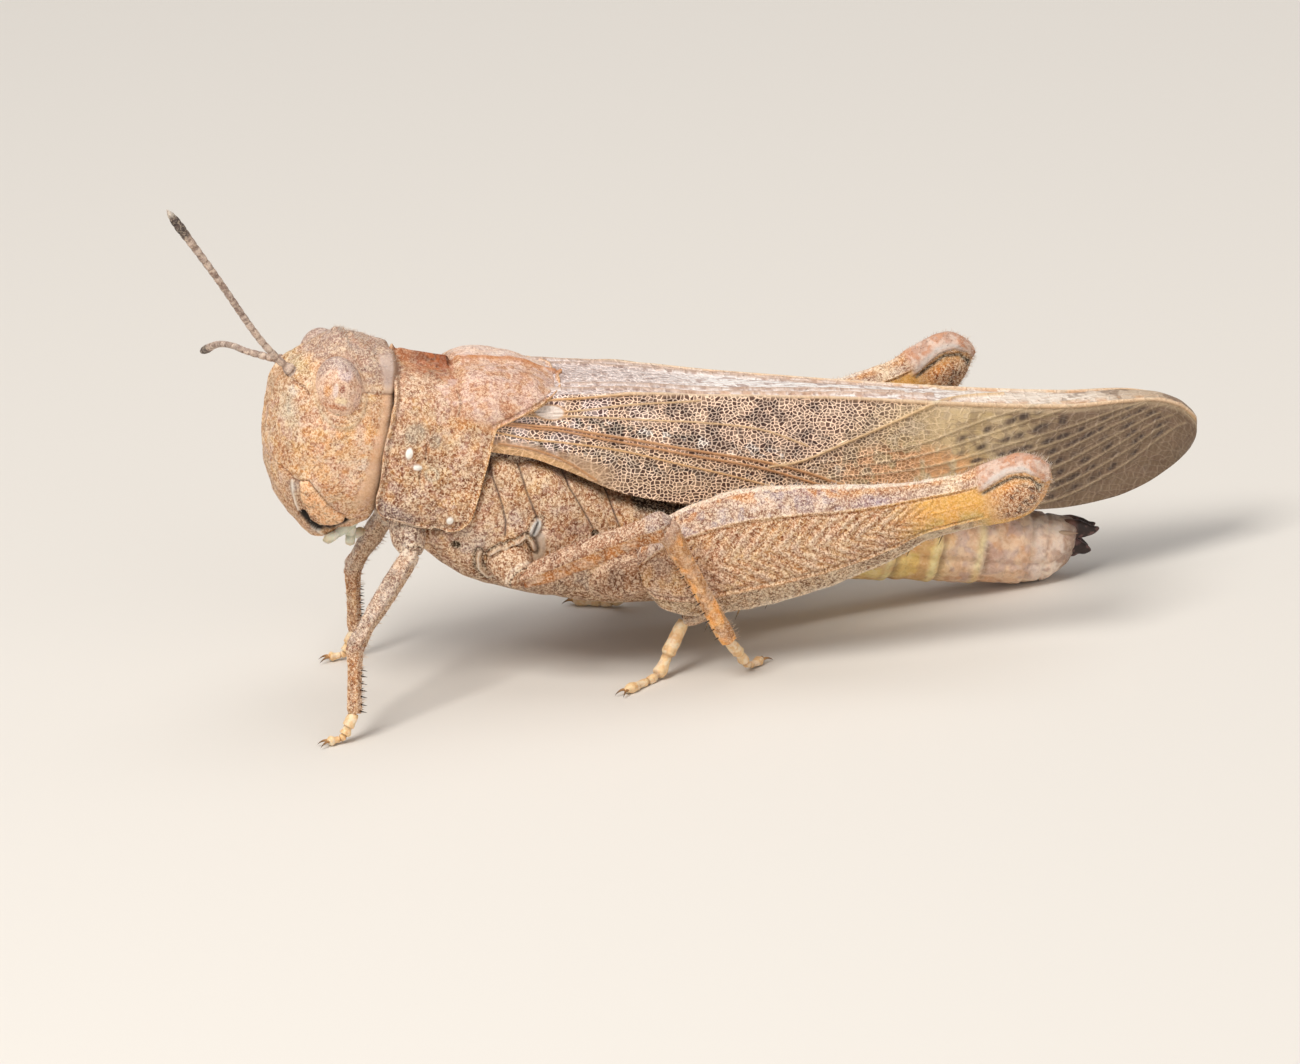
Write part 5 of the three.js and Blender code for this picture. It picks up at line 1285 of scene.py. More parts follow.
def paint_thorax(points):
    """Golden brown plates, greyer low down, dark seams, pale rims, a silver slit; painted shade and
    highlight.
    """
    s, h = points[..., 1], points[..., 2]
    side, seam, rim, slit, opening = thorax_marks(points)
    tint = coats(
        (0.58, 0.355, 0.21),
        ((0.54, 0.27, 0.12), patches(points, 0.5, 53, 0.45) * 0.5),
        ((0.68, 0.48, 0.3), patches(points, 0.35, 54, 0.4) * 0.55),
        ((0.36, 0.27, 0.25), patches(points, 0.6, 55, 0.35) * smooth(0.2, -1.0, h) * 0.6),
    )
    tint = dappled(tint, points, 150, 0.8)
    silver = smooth(0.26, 0.12, near_line(s, h, SILVER))
    tint = coats(
        tint,
        ((0.5, 0.43, 0.4), smooth(0.75, 0.3, np.hypot((s + 0.5) * 0.8, h + 1.9)) * 0.65),
        ((0.33, 0.21, 0.135), smooth(-2.2, -3.4, h) * 0.75),
        ((0.46, 0.4, 0.36),
         side * smooth(0.4, 0.15, near_line(s, h, [(2.99, -2.28), (3.86, -2.88)])) * 0.6),
        ((0.72, 0.5, 0.33), side * bell(seam, 0.1, 0.04) * 0.4),
        ((0.09, 0.055, 0.05), side * bell(seam, 0, 0.032) * 0.9),
        ((0.5, 0.45, 0.39), side * silver * 0.6),
        ((0.06, 0.045, 0.04), side * bell(slit, 1.4, 0.2) * 0.6),
        ((0.46, 0.43, 0.4), side * smooth(1.15, 0.95, slit)),
        # painted highlight: the bright ring on the rim of the breathing slit
        ((0.86, 0.84, 0.8), side * bell(slit, 0.8, 0.12) * 0.8),
        ((0.05, 0.04, 0.035), side * opening),
        # painted shade: a dark band in the grooves beside the pale rims
        ((0.09, 0.06, 0.04), side * bell(rim, 0.13, 0.06) * 0.85),
    )
    # painted shade: the sunk pits and hollows are painted near black
    for (pit_s, pit_h), radius in PITS:
        pit = smooth(radius, radius * 0.5, np.hypot(s - pit_s, h - pit_h))
        tint = blend(tint, (0.07, 0.055, 0.03), side * pit * 0.9)
    tint = coats(
        tint,
        ((0.8, 0.7, 0.58), side * bell(rim, 0, 0.03) * 0.9),
        # painted shadow: a near-black strip under the forewing's lower edge
        ((0.02, 0.015, 0.012),
         side * smooth(0.3, 0.1, near_line(s, h, [(5.0, -0.05), (6.6, -0.25)])) * 0.9),
    )
    polish = side * np.clip(silver + smooth(1.2, 1.0, slit) + bell(rim, 0, 0.05) + bell(seam, 0, 0.05),
                            0, 1) * 0.85
    return tint, polish


trunk_wall = thorax_grid()
thorax_points = raised(trunk_wall, thorax_relief(trunk_wall), wrap=True)
thorax_tint, thorax_polish = paint_thorax(trunk_wall)
thorax_piece = grid_piece("thorax_wall", thorax_points, thorax_finish, thorax_tint, thorax_polish,
                          wrap=True, caps=True)
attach(thorax_piece, "root")
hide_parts("thorax")
print("thorax grid", thorax_points.shape)

# %% [markdown]
# ## Abdomen
# The abdomen is a telescope of rings. Each ring flares a little toward its rear edge and slips
# over the next; its back plate and belly plate meet in a soft fold along the side. The rings are
# tan in front, then golden yellow, then pinkish brown up to the cream end, and each has a pale
# rear edge and a dark foot.

# %% Abdomen rings
RING_COUNT, ABDOMEN_START, ABDOMEN_END = 9, 6.65, 20.7
abdomen_rows = through([  # s, back height, belly height, half width
    [6.6, 1.4, -3.75, 2.15],
    [9, 1.4, -3.4, 2.1],
    [12, 1.1, -2.75, 1.75],
    [15, 0.8, -2.38, 1.5],
    [18, 0.5, -2.2, 1.25],
    [19.8, 0.35, -1.98, 1.0],
    [20.7, 0.28, -1.18, 0.7],
])


def abdomen_grid(per_ring=27, columns=200):
    """Rings of the abdomen with a step at the rear of each, and the phase along each ring."""
    rows = RING_COUNT * per_ring + 1
    along = np.linspace(0, RING_COUNT, rows)
    s = ABDOMEN_START + (ABDOMEN_END - ABDOMEN_START) * along / RING_COUNT
    back, belly, half = abdomen_rows(s)
    phase = (along % 1)[:, None]
    flare = 1.0 + 0.025 * smooth(0.1, 0.9, phase)
    flare = flare - 0.05 * smooth(0.9, 0.99, phase) - 0.025 * smooth(0.16, 0.0, phase)
    flare[-1] = 0.9
    turn = 2 * math.pi * np.arange(columns) / columns
    x = half[:, None] * flare * squared(np.sin(turn), 2.2)
    middle, deep = ((back + belly) / 2)[:, None], ((back - belly) / 2)[:, None]
    h = middle + deep * flare * squared(np.cos(turn), 2.2)
    return np.stack([x, np.broadcast_to(s[:, None], x.shape), h], -1), phase, turn


rings, ring_phase, ring_turn = abdomen_grid()
fold_line = np.abs(np.abs(ring_turn - math.pi) - math.pi * 0.42)[None]
ring_relief = -0.08 * bell(fold_line, 0, 0.09) * smooth(0.98, 0.8, ring_phase)
ring_relief = ring_relief + 0.035 * swell(rings, 0.5, 61) + 0.025 * swell(rings, 0.2, 62)
ring_relief = ring_relief - 0.06 * bell(rings[..., 1], 19.75, 0.06)
abdomen_points = tilted(raised(rings, ring_relief, wrap=True))
abdomen_points[..., 2] = np.maximum(abdomen_points[..., 2], 0.02)


def paint_abdomen(points, phase):
    """Tan, golden yellow, then pinkish brown with a cream end; pale rear edges and blotches."""
    s, h = points[..., 1], points[..., 2]
    low = smooth(-0.6, -1.6, h)
    return coats(
        (0.7, 0.45, 0.24),
        ((0.82, 0.6, 0.2), smooth(10, 13, s)),
        ((0.8, 0.58, 0.43), smooth(15.2, 16.8, s) * 0.9),
        ((0.84, 0.7, 0.36), low * smooth(16, 14, s) * 0.55),
        ((0.62, 0.34, 0.19), patches(points, 0.6, 63, 0.45) * 0.6),
        ((0.56, 0.42, 0.4), patches(points, 0.45, 65, 0.35) * smooth(15, 17, s) * 0.6),
        ((0.3, 0.2, 0.12), smooth(0.16, 0.0, phase) * patches(points, 0.5, 64, 0.7) * 0.6),
        ((0.86, 0.78, 0.42), bell(phase, 0.86, 0.1) * smooth(18.5, 17, s) * 0.7),
        ((0.9, 0.78, 0.68), smooth(18.6, 19.8, s) * 0.75),
        ((0.42, 0.25, 0.18), smooth(18.4, 20.2, s) * patches(points, 0.3, 68, 0.4) * 0.6),
        ((0.22, 0.13, 0.1), smooth(20.1, 20.7, s) * 0.75),
    )


abdomen_piece = grid_piece("abdomen_rings", abdomen_points, belly_finish,
                           paint_abdomen(rings, ring_phase), 0.1, wrap=True, caps=True, trunk=False)
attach(abdomen_piece, "root")
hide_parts("abdomen")
print("abdomen rings", RING_COUNT)

# %% [markdown]
# ## Egg-laying valves and cerci
# Four short black hooks close the tip of a female's abdomen: the upper pair curls up, the lower
# pair down. Two small cones, the cerci, stand above them.

# %% Valves and cerci
# height of the root, place of the tip along the body, height of the tip
VALVES = {"upper": (-0.12, 21.55, 0.14), "lower": (-0.56, 21.42, -0.7)}
VALVE_START, VALVE_ROWS = 20.4, 60
for row, (root, far, end) in VALVES.items():
    for hand, flip in SIDES.items():
        t = np.linspace(0, 1, VALVE_ROWS)
        bulge = (0.14 if row == "upper" else -0.05) * np.sin(math.pi * t) * (1 - 2 * t)
        aside, along = flip[0] * (0.24 + 0.02 * t), np.linspace(VALVE_START, far, VALVE_ROWS)
        line = tilted(np.stack([aside, along, root + (end - root) * t + bulge], -1))
        thick = 0.4 * (1 - t) ** 0.62 + 0.02
        skin = limb(line, thick * 0.62, thick, (1, 0, 0), columns=28, power=2.3)
        skin = raised(skin, 0.03 * swell(skin, 0.2, 66), True)
        dark = np.broadcast_to(smooth(0.15, 0.4, t)[:, None], skin.shape[:2])
        tint = coats(
            (0.24, 0.13, 0.1),
            ((0.045, 0.03, 0.027), dark),
            ((0.26, 0.14, 0.13), patches(skin, 0.2, 67, 0.3) * 0.5),
        )
        valve = grid_piece(f"valve_{row}_{hand}", skin, horn_finish, tint, 0.0, wrap=True, caps=True,
                           trunk=False)
        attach(valve, "root")
        if hand == "left":
            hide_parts(f"ovipositor_{row}")
CERCI_ROOT, CERCI_TIP = np.array([0.62, 20.0, -0.1]), np.array([0.74, 20.75, 0.02])
both = np.stack(list(SIDES.values()))
cerci = spikes("cerci", tilted(CERCI_ROOT * both), tilted(CERCI_TIP * both), 0.15, belly_finish,
               (0.56, 0.4, 0.28), (0.3, 0.2, 0.14), sides=14, rings=10)
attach(cerci, "root")
print("valves", 2 * len(VALVES))

# %% [markdown]
# ## Forewings
# At rest each leathery forewing lies like half a roof: a flat field on the back, a fold along the
# shoulder, and a side field down to the flank. Its long veins stand up as thin ribs. One of them
# is doubled, and a slanting rib climbs to the upper edge where the wing turns from leather to
# smoky film.

# %% Forewing surface
wing_rows = through([  # s, x and h of the fold, x and h of the lower edge
    [-1.2, 2.15, 3.25, 2.75, 1.4],
    [0.8, 2.15, 3.3, 2.85, 1.35],
    [2.0, 2.05, 3.42, 2.88, 1.1],
    [4.5, 1.7, 3.6, 2.9, 0.42],
    [6.4, 1.55, 3.65, 2.85, 0.28],
    [9.3, 1.2, 3.8, 2.65, 0.3],
    [12, 0.95, 3.95, 2.35, 0.4],
    [16, 0.85, 4.16, 1.8, 0.65],
    [19.6, 0.76, 4.45, 1.3, 0.98],
    [21.6, 0.6, 4.8, 1.04, 1.5],
    [22.7, 0.44, 4.92, 0.86, 2.05],
    [23.5, 0.32, 4.78, 0.66, 2.65],
    [24.0, 0.22, 4.5, 0.36, 3.05],
    [24.24, 0.16, 4.27, 0.2, 3.34],
    [24.32, 0.13, 4.1, 0.15, 3.52],
])
WING_START, WING_END, FIELD_BULGE = -0.85, 24.32, 0.14
BACK_COLUMNS, SIDE_COLUMNS, WING_ROWS = 34, 124, 596
# where a wing's inner edge lies across the back, and its lift there
OVERLAP = {"left": (-0.3, 0.03), "right": (-0.02, -0.1)}
VEINS = {  # place along the wing, share from the fold (0) to the lower edge (1); -1 is the inner edge
    "fold": [(-0.85, 0.1), (2.3, 0.05), (4.5, 0.0), (6.7, -0.04), (12, -0.02), (24.2, 0.0)],
    "fan upper": [(-0.3, 0.3), (1.91, 0.235), (4.51, 0.1), (6.7, 0.03)],
    "fan lower": [(-0.3, 0.33), (1.91, 0.294), (4.55, 0.252), (6.75, 0.235), (9.0, 0.29), (10.6, 0.42)],
    "double": [(-0.85, 0.49), (0, 0.479), (1.63, 0.462), (3.86, 0.454), (6.83, 0.504), (9.0, 0.57),
               (10.7, 0.66), (12.3, 0.78), (14.5, 0.87), (17, 0.9)],
    "twin": [(-0.85, 0.53), (0, 0.52), (1.63, 0.505), (3.86, 0.5), (6.83, 0.555), (9.0, 0.63),
             (10.7, 0.73), (12.3, 0.84), (14.0, 0.9)],
    "low": [(-0.85, 0.64), (2.5, 0.63), (5.0, 0.6), (7.5, 0.69), (9.5, 0.79), (11.5, 0.9)],
    "costal": [(-0.2, 0.84), (1.02, 0.857), (2.24, 0.891), (3.33, 0.966)],
    "slant": [(9.3, 0.62), (10.4, 0.56), (12.0, 0.38), (13.57, 0.185), (14.8, 0.02), (15.7, -0.35),
              (17.5, -0.75)],
    "film 1": [(10.6, 0.6), (12.52, 0.504), (14.43, 0.387), (16.82, 0.126), (18.6, -0.08),
               (20.03, -0.385)],
    "film 2": [(11.4, 0.7), (13.37, 0.647), (15.32, 0.555), (18.16, 0.319), (20.4, 0.143),
               (22.55, -0.08)],
    "film 3": [(15.0, 0.72), (17.0, 0.63), (18.61, 0.538), (20.77, 0.286), (23.08, 0.034)],
    "film 4": [(15.6, 0.88), (18.73, 0.79), (20.89, 0.521), (23.32, 0.168)],
    "film 5": [(17.5, 0.97), (19.51, 0.916), (21.94, 0.647), (23.85, 0.244)],
    "back": [(-0.8, -0.5), (4, -0.42), (9, -0.45), (14, -0.55)],
    "back low": [(-0.8, -0.25), (3, -0.2), (7, -0.22), (11, -0.3), (15, -0.5)],
}
for upper, lower in (("film 1", "film 2"), ("film 2", "film 3"), ("film 3", "film 4"),
                     ("film 4", "film 5")):
    first, second = np.array(VEINS[upper]), np.array(VEINS[lower])
    start, stop = max(first[0, 0], second[0, 0]) + 0.8, min(first[-1, 0], second[-1, 0]) - 0.2
    places = np.linspace(start, stop, 6)
    middles = (np.interp(places, *first.T) + np.interp(places, *second.T)) / 2
    VEINS[f"{upper} half"] = list(zip(places, middles))
STOUT = {"fold": 0.05, "double": 0.05, "twin": 0.045, "slant": 0.05, "back": 0.03, "back low": 0.03}


def fold_and_run(s):
    """Half width of the field on the back, and width of the side field, at each place."""
    fold_x, fold_h, low_x, low_h = wing_rows(s)
    return fold_x, np.hypot(low_x - fold_x, low_h - fold_h)


def wing_surface(seam, lift):
    """A left-hand forewing without veins, with the place along it and its side-field share."""
    s = np.linspace(WING_START, WING_END, WING_ROWS)[:, None]
    fold_x, fold_h, low_x, low_h = wing_rows(s)
    back_share = np.linspace(0, 1, BACK_COLUMNS, endpoint=False)
    inner = seam * smooth(24.2, 20.5, s)
    x = inner + (fold_x - inner) * back_share
    h = fold_h + 0.1 * (1 - back_share ** 2) + lift * smooth(0.75, 0.2, x)
    side_share = np.linspace(0, 1, SIDE_COLUMNS)
    run = np.hypot(low_x - fold_x, low_h - fold_h)
    out_x, out_h = -(low_h - fold_h) / run, (low_x - fold_x) / run
    bow = FIELD_BULGE * np.sin(math.pi * side_share)
    side_x = fold_x + (low_x - fold_x) * side_share + out_x * bow
    side_h = fold_h + (low_h - fold_h) * side_share + out_h * bow
    x, h = np.concatenate([x, side_x], 1), np.concatenate([h, side_h], 1)
    share = np.concatenate([back_share - 1, side_share])
    along = np.broadcast_to(s, x.shape)
    return np.stack([x, along, h], -1), along, np.broadcast_to(share, x.shape)


def reach(s, share):
    """Millimetres from the fold: positive down the side field, negative over the back."""
    fold_x, run = fold_and_run(s)
    return share * np.where(share > 0, run, fold_x)


def vein_masks(s, share):
    """0 to 1 masks of the long veins."""
    across = reach(s, share)
    masks = {}
    for name, knots in VEINS.items():
        line = np.array([(a, reach(np.array(a), np.array(b)), 0.0) for a, b in knots], float)
        bent = strand(line, 60)[:, :2]
        apart = near_line(s, across, bent)
        masks[name] = bell(apart, 0, STOUT.get(name, 0.036)) * (1 - 0.4 * smooth(19, 23.5, s))
    return masks


def vein_height(masks):
    """How far the veins stand up, in millimetres."""
    return np.max([mask * (0.11 if name in STOUT else 0.055) for name, mask in masks.items()], axis=0)


WINGS = {hand: wing_surface(*OVERLAP[hand]) for hand in SIDES}
wing, wing_s, wing_share = WINGS["left"]
wing_veins = vein_masks(wing_s, wing_share)
print("forewing grid", wing.shape)

# %% [markdown]
# ## Forewing colours
# The leather half has a pinkish to tan ground, on which a pale net of tiny veins parts darker
# cells. Speckled black bands run beside the double vein, and the field on the back is whitish,
# partly a painted highlight where the top of the wing catches the light. The film half turns from
# olive to dusky brown, with dark dashes between its long veins and an orange blush low down.

# %% Paint the forewing


FILM_RIBS = [f"film {number}{half}" for number in range(1, 6) for half in ("", " half")][:-1]


def film_marks(s, share, points):
    """Dark dashes between the veins of the film, and its fine cross veins."""
    random = np.random.default_rng(94)
    dash = np.zeros(s.shape)
    lane = sum((share > np.interp(s, *np.array(VEINS[name]).T)).astype(int) for name in FILM_RIBS)
    for upper, lower in zip(FILM_RIBS, FILM_RIBS[1:]):
        one, other = np.array(VEINS[upper]), np.array(VEINS[lower])
        first, second = np.interp(s, *one.T), np.interp(s, *other.T)
        start, stop = max(one[0, 0], other[0, 0], 15.5), min(one[-1, 0], other[-1, 0])
        places = start + np.cumsum(random.uniform(0.4, 0.95, 20))
        middle, gap = (first + second) / 2, np.maximum(second - first, 0.01)
        for place, length, strength in zip(places, random.uniform(0.11, 0.24, 20),
                                           random.uniform(0.5, 1, 20)):
            mark = bell(s, place, length) * bell(share, middle + 0.16 * gap, 0.2 * gap) * strength
            dash = np.maximum(dash, mark * (place < stop) * smooth(15.0, 17.0, place))
    beat = (s + 0.7 * share) / 0.21 + 0.37 * lane + 0.6 * swell(points, 0.5, 82)
    return np.clip(2.2 * dash, 0, 1), bell(np.abs(beat % 1 - 0.5), 0.5, 0.1)


def paint_wing(points, s, share, veins):
    """Ground colours, bands, spots and vein colours of the forewing; and how open its net is."""
    side = smooth(-0.02, 0.04, share)
    film = smooth(10.5, 14.0, s + 3.0 * (share - 0.4))
    across = reach(s, share)
    ground = blend((0.74, 0.6, 0.56), (0.64, 0.46, 0.33), smooth(2.5, 6.5, s))
    spots = patches(points, 0.34, 72, 0.5, 0.15)
    blotch = patches(points, 0.5, 77, 0.36, 0.15) * smooth(1.5, 4, s)
    gap = reach(s, np.interp(s, *np.array(VEINS["double"]).T)) - across
    under = bell(gap, -0.7, 0.4) * smooth(-0.6, 0.4, s) * smooth(8, 5.5, s)
    band = np.clip(bell(gap, 0.3, 0.26) * smooth(0.3, 2.0, s) + under, 0, 1)
    costal = np.interp(s, *np.array(VEINS["costal"]).T)
    plain = smooth(0.74, 0.82, share + 0.04 * swell(points, 0.5, 86)) * smooth(4.6, 3.2, s) * 0.6
    lower = smooth(0.52, 0.56, share) * smooth(1.5, 3.5, s) * smooth(12, 10, s)
    streaks = patches(points * np.array([1.0, 0.35, 1.6]), 0.3, 98, 0.42)
    olive = coats(
        (0.6, 0.44, 0.21),
        ((0.72, 0.54, 0.29), patches(points, 1.2, 79, 0.5)),
        ((0.125, 0.072, 0.045), smooth(16.2, 20.4, s + share) * 0.9),
        ((0.17, 0.1, 0.062), streaks * smooth(15.5, 18, s + share) * 0.6),
        ((0.6, 0.48, 0.33), patches(points, 0.5, 85, 0.3) * smooth(19, 16, s) * 0.5),
    )
    blush = bell(np.hypot((s - 14.2) / 2.8, (share - 0.64) / 0.27), 0, 1)
    dark, cross = film_marks(s, share, points)
    margin = smooth(0.28, 0.1, across) * side * smooth(12.5, 15, s)
    dorsal = smooth(0.0, -0.05, share)
    # the whitish back field is partly its own colour and partly a painted highlight on the wing's top
    white_and_highlight = smooth(3, 8, s) * smooth(-0.08, -0.4, share)
    slanted = across * 6 + 0.9 * np.maximum(s - 5.0, 0) + 0.25 * swell(points, 1.5, 83)
    lines = bell(np.abs(slanted % 1 - 0.5), 0, 0.13)
    dapple = patches(points * np.array([1.6, 0.6, 1.6]), 0.13, 73, 0.3, 0.1)
    freckle = patches(points, 0.4, 81, 0.45) * smooth(-0.5, -0.05, share) * smooth(4, 8, s)
    back = coats(
        (0.9, 0.8, 0.77),
        ((0.98, 0.93, 0.9), white_and_highlight),
        ((0.56, 0.36, 0.26), lines * 0.55),
        ((0.4, 0.26, 0.22), dapple * 0.75),
        ((0.88, 0.74, 0.58), smooth(14, 18, s) * 0.6),
        ((0.44, 0.31, 0.19), smooth(19.5, 22.5, s) * 0.75),
        ((0.24, 0.15, 0.1), patches(points, 0.3, 89, 0.4) * smooth(17, 20.5, s) * 0.7),
        ((0.66, 0.33, 0.14), freckle * 0.75),
    )
    tint = coats(
        ground,
        ((0.68, 0.47, 0.33), patches(points, 0.8, 71, 0.5)),
        ((0.44, 0.3, 0.22), patches(points, 0.6, 76, 0.4) * smooth(4, 9, s) * 0.7),
        ((0.13, 0.06, 0.045), side * blotch * 0.85),
        ((0.055, 0.035, 0.03), side * band * spots * smooth(12.5, 9.5, s) * 0.94),
        ((0.84, 0.8, 0.74), side * band * patches(points, 0.22, 78, 0.2, 0.1) * 0.8),
        ((0.42, 0.26, 0.15), side * bell(s, 9.5, 3.0) * smooth(0.45, 0.1, gap) * 0.35),
        ((0.64, 0.38, 0.2), plain),
        ((0.34, 0.2, 0.13), plain * patches(points, 0.2, 87, 0.4) * 0.8),
        ((0.8, 0.47, 0.2), smooth(costal, costal + 0.05, share) * smooth(4.5, 3.3, s) * 0.85),
        ((0.66, 0.44, 0.25), lower * 0.6),
        ((0.14, 0.085, 0.06), lower * bell(share, 0.7, 0.06) * spots * 0.8),
        (olive, side * film * 0.95),
        ((0.8, 0.41, 0.17), side * smooth(0.2, 0.65, blush) * patches(points, 0.5, 80, 0.7) * 0.9),
        ((0.045, 0.025, 0.02), side * film * dark * 0.9),
        ((0.2, 0.13, 0.08), side * film * patches(points, 0.28, 88, 0.34) * smooth(13, 17, s) * 0.5),
        ((0.5, 0.39, 0.26), side * film * cross * 0.22),
        ((0.8, 0.62, 0.4), margin * (0.7 - 0.35 * smooth(18, 21, s))),
        (back, dorsal),
    )
    colours = {"fold": (0.8, 0.46, 0.2), "double": (0.66, 0.34, 0.15), "twin": (0.64, 0.32, 0.14),
               "slant": (0.76, 0.52, 0.28), "back": (0.54, 0.36, 0.26), "back low": (0.62, 0.42, 0.3),
               "costal": (0.56, 0.28, 0.12), "fan upper": (0.8, 0.54, 0.3),
               "fan lower": (0.8, 0.54, 0.3), "low": (0.8, 0.48, 0.22)}
    for name, mask in veins.items():
        strength = 0.9 if name in colours else 0.62 - 0.34 * smooth(15, 19, s)
        tint = blend(tint, colours.get(name, (0.66, 0.51, 0.31)), np.clip(mask * 1.3, 0, 1) * strength)
    rib = np.max([veins[name] for name in colours], axis=0)
    callus = np.hypot((s - 1.42) / 0.55, (share - 0.25) / 0.11)
    tint = coats(
        tint,
        ((0.95, 0.83, 0.74), smooth(1.15, 0.75, callus) * 0.95),
        ((0.72, 0.4, 0.18), smooth(0.85, 1.0, callus) * smooth(1.3, 1.1, callus) * 0.7),
    )
    gold = (1 - side)[..., None] * np.array([0.06, 0.2, 0.26]) * veins["fold"][..., None]
    tint = np.clip(tint + gold, 0, 0.95)
    bare = dorsal * (0.5 + 0.5 * smooth(4.5, 8.5, s)) + smooth(1.2, 0.9, callus)
    bare = bare + smooth(0.25, 0.7, rib)
    openness = np.clip((film * 0.35 + 0.65 * smooth(13.5, 16.5, s)) * side + plain + bare, 0, 1)
    return tint, openness


wing_tint, wing_film = paint_wing(wing, wing_s, wing_share, wing_veins)
wing_map = np.stack([wing_s, reach(wing_s, wing_share)], -1)

# %% [markdown]
# ## The wing finish
# The net of small veins is drawn by a Voronoi texture on the wing's own map in millimetres: its
# cell walls are pale and slightly raised, its cells dark. The cells are longer in the film half,
# where the wing is also smoother.

# %% Wing net group and finish
net, tree, given, out = effect(
    "Vein net", [("Cell", FLOAT, 0.24), ("Stretch", FLOAT, 0.8), ("Thin", FLOAT, 0.15)],
    [("Wall", FLOAT), ("Shade", FLOAT)]
)
flat = tree.node("ShaderNodeUVMap", {"uv_map": "plate_map"}).outputs[0]
wobble = tree.node("ShaderNodeTexNoise", Vector=flat, Scale=2.2, Detail=1.0)
bent = tree.node("ShaderNodeVectorMath", {"operation": "MULTIPLY_ADD"})
for socket, value in zip(bent.inputs, (wobble.outputs["Color"], (0.22, 0.22, 0.22), flat)):
    tree.feed(socket, value)
axes = tree.node("ShaderNodeSeparateXYZ", Vector=bent.outputs[0])
wide = tree.math("DIVIDE", tree.times(axes.outputs["X"], given.outputs["Stretch"]),
                 given.outputs["Cell"])
tall = tree.math("DIVIDE", axes.outputs["Y"], given.outputs["Cell"])
spread = tree.node("ShaderNodeCombineXYZ", X=wide, Y=tall).outputs[0]
walls = tree.node("ShaderNodeTexVoronoi", {"voronoi_dimensions": "2D", "feature": "DISTANCE_TO_EDGE"},
                  Vector=spread, Scale=1.0, Randomness=0.85)
cell = tree.node("ShaderNodeTexVoronoi", {"voronoi_dimensions": "2D"}, Vector=spread, Scale=1.0,
                 Randomness=0.85)
thick = given.outputs["Thin"]
thin = tree.times(thick, 0.4)
tree.feed(out.inputs["Wall"], tree.swing(walls.outputs["Distance"], thin, thick, 1.0, 0.0))
shade = tree.node("ShaderNodeSeparateColor", Color=cell.outputs["Color"]).outputs["Red"]
tree.feed(out.inputs["Shade"], shade)


def wing_shell(name):
    """Leather in front, film behind: the net is stretched and faint where the polish mask is high."""
    finish = bpy.data.materials.new(name)
    finish.use_nodes = True
    finish.node_tree.nodes.clear()
    tree = Tree(finish.node_tree)
    tint = tree.attribute("tint", "Color")
    film = tree.attribute("polish", "Fac")
    leather = tree.node("ShaderNodeGroup", {"node_tree": net}, Cell=0.115, Stretch=0.75, Thin=0.17)
    membrane = tree.node("ShaderNodeGroup", {"node_tree": net}, Cell=0.2, Stretch=0.5, Thin=0.13)
    grain = tree.node("ShaderNodeGroup", {"node_tree": granules}, Size=0.09, Pale_Share=0.25,
                      Dark_Share=0.35)
    wall = tree.mix(film, leather.outputs["Wall"], membrane.outputs["Wall"])
    shade = tree.mix(film, leather.outputs["Shade"], membrane.outputs["Shade"])
    dark = tree.mix(1.0, tint, (0.17, 0.11, 0.11), "MULTIPLY")
    depth = tree.times(tree.swing(shade, 0.0, 0.8, 0.5, 1.0), tree.swing(film, 0.0, 1.0, 1.0, 0.12))
    cells = tree.mix(depth, tint, dark)
    pale = tree.mix(0.45, tree.mix(1.0, tint, (2.0, 1.95, 2.0), "MULTIPLY"), (0.98, 0.83, 0.67))
    netted = tree.mix(tree.times(wall, tree.swing(film, 0.0, 1.0, 1.0, 0.12)), cells, pale)
    flecked = tree.mix(tree.times(grain.outputs["Dark"], 0.35), netted,
                       tree.mix(1.0, netted, (0.4, 0.3, 0.25), "MULTIPLY"))
    bumped = tree.node("ShaderNodeBump", Strength=0.6, Distance=0.03 * MM, Height=wall)
    surface = tree.node("ShaderNodeBsdfPrincipled", Base_Color=flecked, Normal=bumped.outputs[0])
    tree.feed(surface.inputs["Roughness"], tree.swing(film, 0.0, 1.0, 0.55, 0.42))
    surface.inputs["Specular IOR Level"].default_value = 0.35
    tree.feed(tree.node("ShaderNodeOutputMaterial").inputs["Surface"], surface.outputs[0])
    return finish


wing_finish = wing_shell("wing leather")
for hand, flip in SIDES.items():
    risen = raised(WINGS[hand][0], vein_height(wing_veins))
    sheet, sheet_tint, sheet_film, sheet_map = hemmed(risen, 0.12, wing_tint, wing_film, wing_map)
    forewing = grid_piece(f"forewing_{hand}", sheet * flip, wing_finish, sheet_tint, sheet_film,
                          uv=sheet_map)
    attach(forewing, "root")
    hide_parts(f"tegmen_{hand}")
print("forewing rows", WING_ROWS)

# %% [markdown]
# ## Hind wings
# Under the forewings lie the fan-like hind wings, folded into narrow pleats. At rest the forewings
# hide them, so a plain pleated packet on each side is enough.

# %% Hind wings
PLEATS = 4
hind_width = through([[3, 0.9], [6, 0.8], [12, 0.55], [16, 0.5]])
hind_height = through([[3, 2.7], [6, 2.6], [12, 2.4], [16, 2.3]])
hind_s = np.linspace(3.2, 16, 150)[:, None]
hind_part = np.linspace(0, 1, 64)
pleat = np.abs((hind_part * PLEATS) % 1 - 0.5) * 2
hind_x = 0.15 + hind_part * hind_width(hind_s)[0]
hind_h = hind_height(hind_s)[0] - 0.12 * pleat
fan = np.stack([hind_x, np.broadcast_to(hind_s, hind_x.shape), hind_h], -1)
fan_tint = blend(even((0.6, 0.46, 0.22), fan.shape), (0.3, 0.2, 0.12), (pleat < 0.12) * 0.8)
fan_film = even(1.0, fan.shape[:2])
fan_map = fan[..., [1, 0]]
fan_parts = hemmed(fan, 0.3, fan_tint, fan_film, fan_map)
